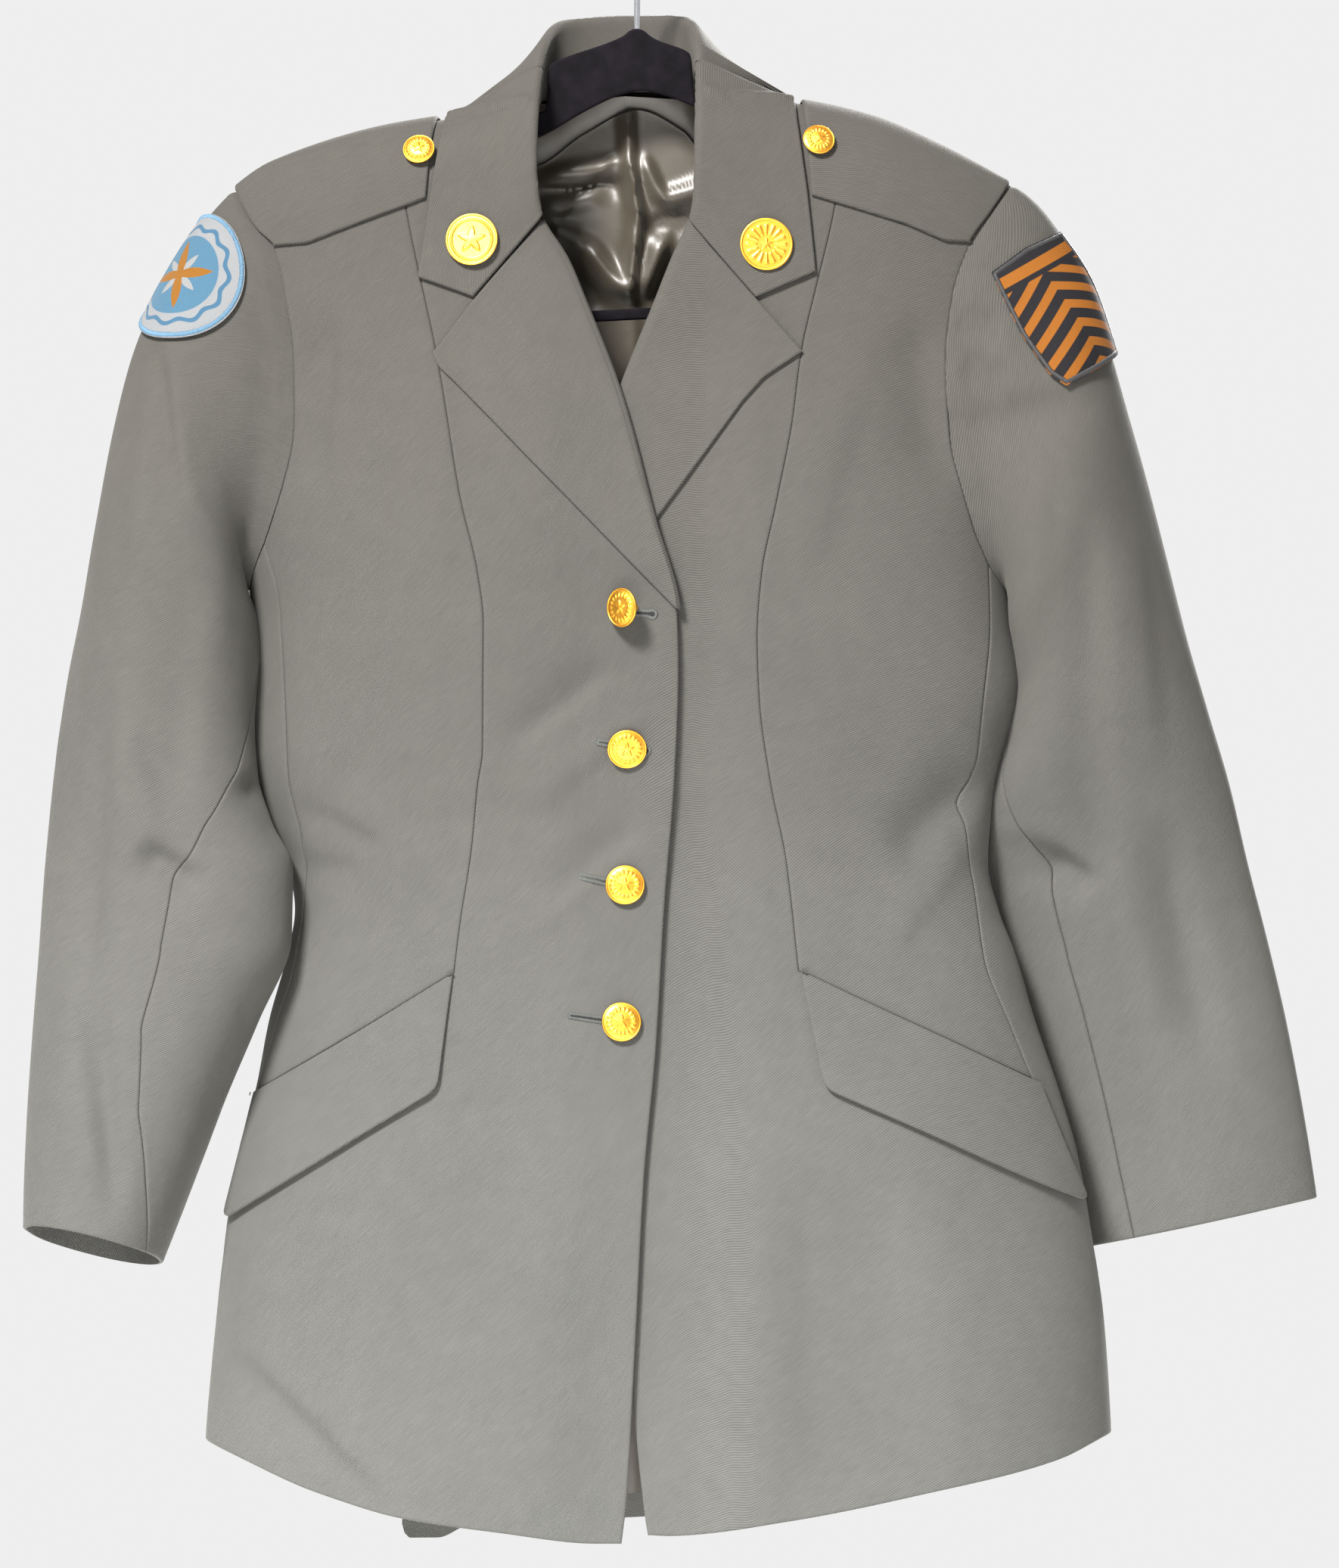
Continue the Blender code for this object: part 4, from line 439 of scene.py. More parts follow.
# How the inner side of each sleeve swings against the body, and how far the back of its cuff hangs down.
# Columns: section, inward, forward, down.
RIGHT_SWING = (
    (0, 0, 0, 0), (1.5, 2, 0, 0), (3, 6.5, 2, 0), (5, 8, 4, 0), (8, 10.5, 9, 0), (10, 10.5, 12, 0),
    (12, 9.5, 11, 0), (13, 5, 6, 0), (14, 1, 1, 1), (16, 0, 0, 9),
)
LEFT_SWING = (
    (0, 0, 0, 0), (1.5, 1.5, 0, 0), (3, 4, 1, 0), (5, 6, 3, 0), (7, 12, 7, 0), (8, 17, 10, 0),
    (9, 18.5, 12, 0), (10, 14, 10, 0), (11, 6, 5, 0), (13, 0, 0, 0), (16, 0, 0, 0),
)


def follow(table: Table, at: Array, value: int = 1, key: int = 0) -> Array:
    """Reads a table along a smooth curve that never overshoots its rows.

    Args:
        table: Rows of numbers.
        at: Keys to read at.
        value: Column to read.
        key: Column of the keys.

    Returns:
        The column's values at the keys.
    """
    rows = sorted(table, key=lambda row: row[key])
    x = np.array([row[key] for row in rows], float)
    y = np.array([row[value] for row in rows], float)
    step = np.diff(x)
    slope = np.diff(y) / step
    tangent = np.concatenate(([slope[0]], np.zeros(len(x) - 2), [slope[-1]]))
    for i in range(1, len(x) - 1):
        if slope[i - 1] * slope[i] > 0:
            tangent[i] = 2 * slope[i - 1] * slope[i] / (slope[i - 1] + slope[i])
    at = np.clip(np.asarray(at, float), x[0], x[-1])
    i = np.clip(np.searchsorted(x, at) - 1, 0, len(x) - 2)
    t = (at - x[i]) / step[i]
    start = (1 + 2 * t) * (1 - t) ** 2 * y[i] + t * (1 - t) ** 2 * step[i] * tangent[i]
    return start + t * t * (3 - 2 * t) * y[i + 1] + t * t * (t - 1) * step[i] * tangent[i + 1]


def ease(value: Array) -> Array:
    """Smooth rise from 0 to 1."""
    t = np.clip(value, 0.0, 1.0)
    return t * t * (3 - 2 * t)


def unit(vectors: Array) -> Array:
    """Vectors of length one."""
    return vectors / np.maximum(np.linalg.norm(vectors, axis=-1, keepdims=True), 1e-9)


def fold_height(table: Table, x: Array, z: Array, face: Array) -> Array:
    """Adds up the soft folds of a table.

    Args:
        table: Rows of face, start, end, half width and height.
        x: Points across.
        z: Points up.
        face: Face of each point.

    Returns:
        How far the cloth stands out at each point, in millimetres.
    """
    total = np.zeros(np.shape(x))
    for row_face, x0, z0, x1, z1, width, height in table:
        length = math.hypot(x1 - x0, z1 - z0)
        along = ((x - x0) * (x1 - x0) + (z - z0) * (z1 - z0)) / length
        aside = ((x - x0) * (z1 - z0) - (z - z0) * (x1 - x0)) / length
        fade = max(FOLD_TAPER * length, width)
        reach = ease(along / fade + 0.35) * ease((length - along) / fade + 0.35)
        side = width * (1 + FOLD_SKEW * np.tanh(aside / width))
        total += np.where(face == row_face, height * reach * np.exp(-(aside / side) ** 2), 0.0)
    return total * FOLD_DEPTH


def along(line: Array, shares: Array) -> Array:
    """Places at shares of a line of places."""
    at = np.linspace(0, 1, len(line))
    return np.stack([np.interp(shares, at, line[:, k]) for k in range(line.shape[1])], -1)


def spread(length: float, step: float = CLOTH_STEP) -> Array:
    """Shares along a line, closer at both ends, where the cloth turns into its seam."""
    ends = np.array(EDGE_STEPS) / length
    middle = np.linspace(0, 1, max(int(round(length / step)), 5) + 1)
    clear = EDGE_CLEAR / length
    middle = middle[(middle > clear) & (middle < 1 - clear)]
    return np.concatenate(([0.0], ends, middle, (1 - ends)[::-1], [1.0]))


def patch(top: Array, bottom: Array, left: Array, right: Array, columns: Array, rows: Array) -> Array:
    """Fills a grid of places between four lines.

    Args:
        top, bottom, left, right: The lines, which share their corners.
        columns: Shares across.
        rows: Shares down.

    Returns:
        The grid, rows running down and columns across.
    """
    top, bottom = along(top, columns), along(bottom, columns)
    left, right = along(left, rows), along(right, rows)
    across, down = columns[None, :, None], rows[:, None, None]
    sides = (1 - across) * left[:, None] + across * right[:, None]
    ends = (1 - down) * top[None] + down * bottom[None]
    corners = (1 - down) * ((1 - across) * top[0] + across * top[-1])
    return sides + ends - corners - down * ((1 - across) * bottom[0] + across * bottom[-1])


def grid_of(rows: Array, columns: Array) -> Array:
    """Every pair of a row's and a column's value, row by row."""
    return np.stack(np.meshgrid(rows, columns, indexing="ij"), -1).reshape(-1, 2)


def grid_faces(rows: int, columns: int, start: int = 0) -> Array:
    """Faces of a grid whose points are counted row by row from a start."""
    index = start + np.arange(rows * columns).reshape(rows, columns)
    return np.stack((index[:-1, :-1], index[1:, :-1], index[1:, 1:], index[:-1, 1:]), -1).reshape(-1, 4)


def travelled(points: Array, axis: int = 0) -> Array:
    """Length along lines of points from their first ones."""
    steps = np.linalg.norm(np.diff(points, axis=axis), axis=-1)
    return np.insert(np.cumsum(steps, axis), 0, 0.0, axis)


def numbered(table: Table) -> list[tuple[float, ...]]:
    """Rows of a table with their number in front."""
    return [(i,) + tuple(row) for i, row in enumerate(table)]


def flattened(shape: Array, row: int, column: int) -> Array:
    """Lengths along the columns from one row, and along the rows from one column, of a grid of points.

    Args:
        shape: Points by row and column.
        row: Row from which the lengths down are counted.
        column: Column from which the lengths across are counted.

    Returns:
        Lengths across and down at each point.
    """
    down, across = travelled(shape), travelled(shape, 1)
    return np.stack((across - across[:, column:column + 1], down - down[row:row + 1]), -1)


def read_grid(values: Array, rows: Array, columns: Array, at: Array) -> Array:
    """Reads a grid of values between evenly spaced rows and columns."""
    i = np.clip((at[:, 0] - rows[0]) / (rows[1] - rows[0]), 0, len(rows) - 1.001)
    j = np.clip((at[:, 1] - columns[0]) / (columns[1] - columns[0]), 0, len(columns) - 1.001)
    a, b = i.astype(int), j.astype(int)
    i, j = (i - a)[:, None], (j - b)[:, None]
    upper = values[a, b] * (1 - j) + values[a, b + 1] * j
    lower = values[a + 1, b] * (1 - j) + values[a + 1, b + 1] * j
    return upper * (1 - i) + lower * i


def joined(*lines: Array) -> Array:
    """One line of places from lines that share their end places."""
    return np.concatenate([lines[0]] + [line[1:] for line in lines[1:]])


def straight(start: Array, end: Array, count: int = LINE_SAMPLES) -> Array:
    """Evenly spaced places between two places."""
    return start + (end - start) * np.linspace(0, 1, count)[:, None]


@dataclass(frozen=True)
class BodyForm:
    """The coat's body as one surface over a turn round it and a way down the cloth."""

    rings: Table = BODY_RINGS
    shoulder: Table = SHOULDER_LINE
    folds: Table = BODY_FOLDS
    crown: float = CROWN
    girth: float = 190.0

    def ring(self, z: Array) -> tuple[Array, Array]:
        """Centre and half width of the body at a height."""
        right, left = follow(self.rings, z, 1), follow(self.rings, z, 2)
        return (left + right) / 2, (left - right) / 2

    def crown_height(self, turn: Array) -> Array:
        """Height of the line where front and back meet over a turn."""
        centre, half = self.ring(self.rings[0][0])
        return follow(self.shoulder, centre + half * np.sin(turn))

    def drop(self, depth: Array) -> Array:
        """Fall below the shoulder line after a way along the cloth."""
        bend = np.minimum(depth / self.crown, math.pi / 2)
        return self.crown * (1 - np.cos(bend)) + np.maximum(depth - self.crown * math.pi / 2, 0.0)

    def points(self, turn: Array, depth: Array) -> Array:
        """Points of the body's outside at turns and depths."""
        turn, depth = np.broadcast_arrays(np.asarray(turn, float), np.asarray(depth, float))
        z = self.crown_height(turn) - self.drop(depth)
        centre, half = self.ring(z)
        face = np.where(np.cos(turn) >= 0, 1, -1)
        reach = np.where(face > 0, follow(self.rings, z, 3), follow(self.rings, z, 4))
        bend = np.sin(np.minimum(depth / self.crown, math.pi / 2))
        x = centre + half * np.sin(turn)
        y = -reach * np.cos(turn) * (1 + SIDE_FULLNESS * np.sin(turn) ** 2) * bend
        out = fold_height(self.folds, x, z, face) + self.sag(x, z, face)
        out = out * ease(np.abs(np.cos(turn)) / FOLD_FADE)
        return np.stack((x + out * np.sin(turn), y - out * np.cos(turn), z), -1)

    @staticmethod
    def sag(x: Array, z: Array, face: Array) -> Array:
        """Slight unevenness of the hanging cloth, in millimetres."""
        total = np.zeros(np.shape(x))
        for length_x, length_z, phase, height in SAG_WAVES:
            total += height * np.sin(x / length_x + z / length_z + phase * face)
        return total * SAG_DEPTH

    def surface(self, places: Array) -> tuple[Array, Array]:
        """Points and outward directions of the body at places."""
        turn, depth = places[:, 0], places[:, 1]
        aside, below = BODY_STEPS
        across = self.points(turn + aside, depth) - self.points(turn - aside, depth)
        down = self.points(turn, depth + below) - self.points(turn, depth - below)
        return self.points(turn, depth), unit(np.cross(down, across))

    def chart(self, places: Array) -> Array:
        """The cloth's flat position at places, in millimetres."""
        low, high = places.min(axis=0)[:2] - 1e-6, places.max(axis=0)[:2] + 1e-6
        turns, depths = (np.linspace(low[k], high[k], CHART_STEPS) for k in (0, 1))
        flat = flattened(self.points(turns[None, :], depths[:, None]), CHART_STEPS // 2, CHART_STEPS // 2)
        return read_grid(flat * (1.0, -1.0), depths, turns, places[:, 1::-1]) + (0.0, -low[1])

    def place(self, x: Array, z: Array, face: int = 1, side: int = 0) -> Array:
        """Finds places from points.

        Args:
            x: Points across.
            z: Points up.
            face: The face that they are on.
            side: On the back, the half of the coat, or 0 where the points say.

        Returns:
            Turn and depth of each point.
        """
        x, z = np.broadcast_arrays(np.asarray(x, float), np.asarray(z, float))
        centre, half = self.ring(z)
        turn = np.arcsin(np.clip((x - centre) / half, -1.0, 1.0))
        if face < 0:
            turn = np.where((turn < 0) if side == 0 else (side < 0), -math.pi, math.pi) - turn
        fall = np.maximum(self.crown_height(turn) - z, 0.0)
        bend = np.arccos(1 - np.minimum(fall, self.crown) / self.crown)
        return np.stack((turn, self.crown * bend + np.maximum(fall - self.crown, 0.0)), -1)

    def point(self, x: float, z: float, face: int = 1) -> tuple[Array, Array]:
        """One point of the surface and its outward direction."""
        points, normals = self.surface(self.place([x], [z], face))
        return points[0], normals[0]

    def hang(self, turn: Array, hem: Table) -> Array:
        """Places where the cloth of these turns meets a hem."""
        turn = np.asarray(turn, float)
        z = np.full(turn.shape, float(hem[1][1]))
        for _ in range(6):
            centre, half = self.ring(z)
            z = follow(hem, centre + half * np.sin(turn))
        return np.stack((turn, self.crown * (math.pi / 2 - 1) + self.crown_height(turn) - z), -1)

    def levels(self, top: float, bottom: float, count: int = LINE_SAMPLES) -> Array:
        """Heights from a shoulder down, closer together where the cloth turns over it."""
        length = self.crown * (math.pi / 2 - 1) + top - bottom
        return top - self.drop(length * np.linspace(0, 1, count) ** CROWN_SPACING)

    def trace(self, points: Table, count: int = LINE_SAMPLES, face: int = 1, side: int = 0) -> Array:
        """Evenly spaced places along a line of across and height."""
        points = np.array(points, float)
        way = travelled(points)
        at = np.linspace(0, way[-1], count)
        return self.place(np.interp(at, way, points[:, 0]), np.interp(at, way, points[:, 1]), face, side)

    def seam(self, table: Table, heights: Array, face: int = 1, side: int = 0, value: int = 1) -> Array:
        """Places along a seam of a table at some heights."""
        return self.place(follow(table, heights, value), heights, face, side)


@dataclass(frozen=True)
class SleeveForm:
    """One sleeve as a surface over section numbers and angles, starting on the armhole seam."""

    body: BodyForm
    side: int
    table: Table
    armhole: tuple[Array, Array, Array]
    swing: Table
    folds: Table = SLEEVE_FOLDS

    def hole(self, angle: Array) -> Array:
        """Points of the armhole seam at angles round it."""
        front, under, back = (self.body.surface(line)[0] for line in self.armhole)
        lowest = len(under) // 2
        lines = (np.concatenate((front, under[1:lowest + 1])),
                 np.concatenate((back, under[lowest:-1][::-1])))
        share = (1 - np.cos(angle)) / 2
        found = []
        for line in lines:
            z = line[0, 2] + (line[-1, 2] - line[0, 2]) * share
            found.append(np.stack([np.interp(-z, -line[:, 2], line[:, k]) for k in (0, 1)] + [z], -1))
        return np.where((np.sin(angle) >= 0)[:, None], found[0], found[1])

    def points(self, section: Array, angle: Array) -> Array:
        """Points of the sleeve's outside."""
        rows = numbered(self.table)
        outer_x, outer_z, inner_x, inner_z, y, depth = (follow(rows, section, k + 1) for k in range(6))
        twist = np.interp(section, np.arange(len(rows)), [row[9] for row in rows])
        x = (outer_x + inner_x) / 2 + (outer_x - inner_x) / 2 * np.cos(angle)
        z = (outer_z + inner_z) / 2 + (outer_z - inner_z) / 2 * np.cos(angle)
        z = z - (twist + follow(self.swing, section, 3)) * (1 - np.sin(angle)) / 2
        tube = np.stack((x, y - depth * np.sin(angle), z), -1)
        share = np.clip(1 - section / SLEEVE_HEAD, 0, 1)[:, None] ** 2
        shape = tube * (1 - share) + self.hole(angle) * share
        face = np.where(np.sin(angle) >= 0, 1, -1)
        out = fold_height(self.folds, shape[:, 0], shape[:, 2], face)
        out = out + self.body.sag(shape[:, 0] + shape[:, 1], shape[:, 2], face) * np.clip(section / 2, 0, 1)
        out = out * ease(np.abs(np.sin(angle)) / FOLD_FADE)
        head = np.clip(section / 0.5, 0, 1) * np.clip(HEAD_SECTIONS - section, 0, 1)
        full = HEAD_FULLNESS * head * ease((1 + np.cos(angle)) / 1.4)
        aim = np.stack((self.side * np.cos(angle), -np.sin(angle), 0 * angle), -1)
        swung, ahead = (follow(self.swing, section, k) * ((1 - np.cos(angle)) / 2) ** 2 for k in (1, 2))
        tucked = np.clip(-section / TUCK_SECTIONS, 0, 1)
        move = np.stack((-self.side * (swung + tucked * ARMHOLE_TUCK[0]), -ahead, 0 * swung), -1)
        full = full - tucked * ARMHOLE_TUCK[1]
        return shape + aim * (out + full)[:, None] + move + np.array((self.side * ARMHOLE_GAP, 0, 0))

    def surface(self, places: Array) -> tuple[Array, Array]:
        """Points and outward directions of the sleeve at places."""
        section, angle = places[:, 0], places[:, 1]
        last = len(self.table) - 1
        below, aside = SLEEVE_STEPS
        near, far = np.clip(section - below, 0, last), np.clip(section + below, 0, last)
        down = self.points(far, angle) - self.points(near, angle)
        round_it = self.points(section, angle + aside) - self.points(section, angle - aside)
        return self.points(section, angle), unit(np.cross(down, round_it)) * -self.side

    def chart(self, places: Array) -> Array:
        """The cloth's flat position at places, in millimetres."""
        angles = np.linspace(-math.pi, 2 * math.pi, CHART_ANGLES)
        sections = np.linspace(0, len(self.table) - 1, CHART_SECTIONS)
        shape = self.points(*grid_of(sections, angles).T).reshape(len(sections), len(angles), 3)
        flat = flattened(shape, len(sections) // 2, int(np.argmin(np.abs(angles - math.pi / 2))))
        return read_grid(flat * (-self.side, -1.0), sections, angles, places)


@dataclass(frozen=True)
class Sewing:
    """How a wall of cloth is cut and how it ends along its edges, in millimetres."""

    thickness: float = CLOTH
    inset: float = 0.02
    edge_drop: float = 1.0
    ridge: float = 0.0
    pucker: float = 0.1
    grain: float = 0.0
    turned_up_below: float = -1e6
    lined: bool = True
    held: str = "hung"


@dataclass
class Wall:
    """A closed wall of cloth over welded grids, with its flat cut as its weave map.

    Attributes:
        name: Name of the piece.
        points: Points of the outside before it is lifted.
        normals: Outward directions at the points.
        flat: The cloth's flat position at the points.
        faces: Faces of four points.
        sewing: How the wall is sewn.
        edge: Distance of each point from the nearest free edge.
        pairs: The two points of each free edge.
        owner: The face of each free edge.
    """

    name: str
    points: Array
    normals: Array
    flat: Array
    faces: Array
    sewing: Sewing
    edge: Array = field(init=False)
    pairs: Array = field(init=False)
    owner: Array = field(init=False)

    def __post_init__(self) -> None:
        """Turns the faces outward and finds the free edges."""
        corners = self.points[self.faces]
        across = np.cross(corners[:, 2] - corners[:, 0], corners[:, 3] - corners[:, 1])
        if (across * self.normals[self.faces[:, 0]]).sum() < 0:
            self.faces = self.faces[:, ::-1]
        pairs = np.concatenate([self.faces[:, [k, (k + 1) % 4]] for k in range(4)])
        owner = np.tile(np.arange(len(self.faces)), 4)
        marks = pairs @ np.array((len(self.points), 1))
        free = ~np.isin(marks, pairs[:, ::-1] @ np.array((len(self.points), 1)))
        self.pairs, self.owner = pairs[free], owner[free]
        self.edge = self.edge_distance()

    def edge_distance(self) -> Array:
        """Distance of each point from the nearest free edge."""
        start, end = self.points[self.pairs[:, 0]], self.points[self.pairs[:, 1]]
        marks = np.concatenate([start + (end - start) * k / 5 for k in range(5)])
        tree = KDTree(len(marks))
        for i, mark in enumerate(marks):
            tree.insert(mark, i)
        tree.balance()
        return np.array([tree.find(point)[2] for point in self.points])

    def drawn_in(self) -> Array:
        """Moves that draw the free edges in by the seam's gap."""
        a, b = self.pairs[:, 0], self.pairs[:, 1]
        middle = self.points[self.faces[self.owner]].mean(axis=1)
        aim = unit(np.cross(self.normals[a], self.points[b] - self.points[a]))
        aim *= np.sign(((middle - self.points[a]) * aim).sum(axis=1))[:, None]
        total = np.zeros(self.points.shape)
        np.add.at(total, a, aim)
        np.add.at(total, b, aim)
        return unit(total) * self.sewing.inset * (self.edge < 1e-6)[:, None]

    def build(self, lift: Union[Array, float], inner: Union[Array, float, None] = None) -> bpy.types.Object:
        """Makes the wall.

        Args:
            lift: How far the outside stands off the points.
            inner: How far the inside stands off them, or None for the cloth's thickness below the lift.

        Returns:
            The piece, with its outside in material slot 0 and its inside in slot 1.
        """
        sewing, edge = self.sewing, self.edge
        lift = np.broadcast_to(np.asarray(lift, float), edge.shape)
        if inner is None:
            inner = lift - sewing.thickness
        inner = np.broadcast_to(np.asarray(inner, float), edge.shape)
        turn = np.clip(1 - edge / EDGE_ROLL, 0, 1)
        rise = lift - sewing.edge_drop * (1 - np.sqrt(1 - turn ** 2 * 0.999))
        rise = rise - sewing.ridge * np.exp(-((edge - EDGE_STEPS[-1]) / RIDGE_WIDTH) ** 2)
        wave = np.sin(self.flat @ np.array(PUCKER_WAVES[0]))
        wave = wave * np.sin(self.flat @ np.array(PUCKER_WAVES[1]) + PUCKER_PHASE)
        rise = rise + sewing.pucker * wave * np.exp(-edge / PUCKER_FADE) * np.clip(edge / 2, 0, 1)
        moved = self.points + self.drawn_in()
        points = np.concatenate([moved + self.normals * height[:, None] for height in (rise, inner)])
        count = len(self.points)
        a, b = self.pairs[:, 0], self.pairs[:, 1]
        rim = np.stack((b, a, a + count, b + count), -1)
        faces = np.concatenate((self.faces, self.faces[:, ::-1] + count, rim))
        inside = np.zeros(len(faces), int)
        if sewing.lined:
            low = self.points[self.faces, 2].min(axis=1) < sewing.turned_up_below
            hem = low & (edge[self.faces].min(axis=1) < TURN_UP)
            inside[len(self.faces):2 * len(self.faces)] = ~hem
        mesh = bpy.data.meshes.new(self.name)
        mesh.from_pydata((points * MM).tolist(), [], faces.tolist())
        mesh.polygons.foreach_set("material_index", inside)
        mesh.polygons.foreach_set("use_smooth", np.ones(len(faces), bool))
        cosine, sine = math.cos(sewing.grain), math.sin(sewing.grain)
        turned = self.flat @ np.array(((cosine, sine), (-sine, cosine)))
        weave = np.concatenate((turned, turned))[faces.reshape(-1)] * MM
        mesh.uv_layers.new(name=WEAVE_MAP).data.foreach_set("uv", weave.reshape(-1).astype(np.float32))
        mesh.set_sharp_from_angle(angle=math.radians(WALL_SHARP_FROM))
        return bpy.data.objects.new(self.name, mesh)

    def declare(self, piece: bpy.types.Object) -> None:
        width, length = (np.ptp(self.flat, axis=0) * MM).tolist()
        corners = self.flat[self.faces] * MM
        one, two = corners[:, 2] - corners[:, 0], corners[:, 3] - corners[:, 1]
        area = float(np.abs(one[:, 0] * two[:, 1] - one[:, 1] * two[:, 0]).sum() / 2)
        area = min(max(area, 0.31 * width * length), width * length)
        LOG.info("%s: cut %.0f x %.0f mm, %.4f m2", piece.name, width / MM, length / MM, area)


def weld(grids: Sequence[Array]) -> tuple[Array, Array]:
    """Shared places and faces of grids that meet along lines."""
    places = np.concatenate([grid.reshape(-1, grid.shape[2]) for grid in grids])
    faces, start = [], 0
    for grid in grids:
        faces.append(grid_faces(*grid.shape[:2], start))
        start += grid.shape[0] * grid.shape[1]
    _, first, shared = np.unique(np.round(places, 5), axis=0, return_index=True, return_inverse=True)
    return places[first], shared.reshape(-1)[np.concatenate(faces)]


def cloth(name: str, form: Union[BodyForm, SleeveForm], grids: Sequence[Array],
          sewing: Sewing) -> tuple[Wall, Array]:
    """A wall over grids of places on a form, and its welded places."""
    places, faces = weld(grids)
    points, normals = form.surface(places)
    return Wall(name, points, normals, form.chart(places), faces, sewing), places


def softened(before: Array, corner: Array, after: Array, reach: float) -> tuple[Array, Array]:
    """The two halves of a round corner.

    Args:
        before, corner, after: Points of the outline round the corner.
        reach: How far from the corner the round starts.

    Returns:
        The points up to the middle of the round, and the points from there on.
    """
    start = corner + unit(before - corner) * reach
    end = corner + unit(after - corner) * reach
    t = np.linspace(0, 1, 17)[:, None]
    arc = (1 - t) ** 2 * start + 2 * t * (1 - t) * corner + t * t * end
    return arc[:9], arc[8:]


@dataclass(frozen=True)
class HalfCut:
    """Seam tables of one half of the coat."""

    name: str
    side: int
    edge: Table
    princess: Table
    side_seam: Table
    back_seam: Table
    armhole: Table


RIGHT_CUT = HalfCut("right", -1, RIGHT_FRONT_EDGE, RIGHT_PRINCESS, RIGHT_SIDE_SEAM, RIGHT_BACK_SEAM,
                    RIGHT_ARMHOLE)
LEFT_CUT = HalfCut("left", 1, LEFT_FRONT_EDGE, LEFT_PRINCESS, LEFT_SIDE_SEAM, LEFT_BACK_SEAM, LEFT_ARMHOLE)


def underlap(points: Array) -> Array:
    """Lift of the left front, which sinks where the right front covers it."""
    across = ease((LEFT_COVER[1] - points[:, 0]) / (LEFT_COVER[1] - LEFT_COVER[0]))
    down = ease((LEFT_COVER[2] - points[:, 2]) / (LEFT_COVER[2] - LEFT_COVER[3]))
    return -UNDERLAP * across * down


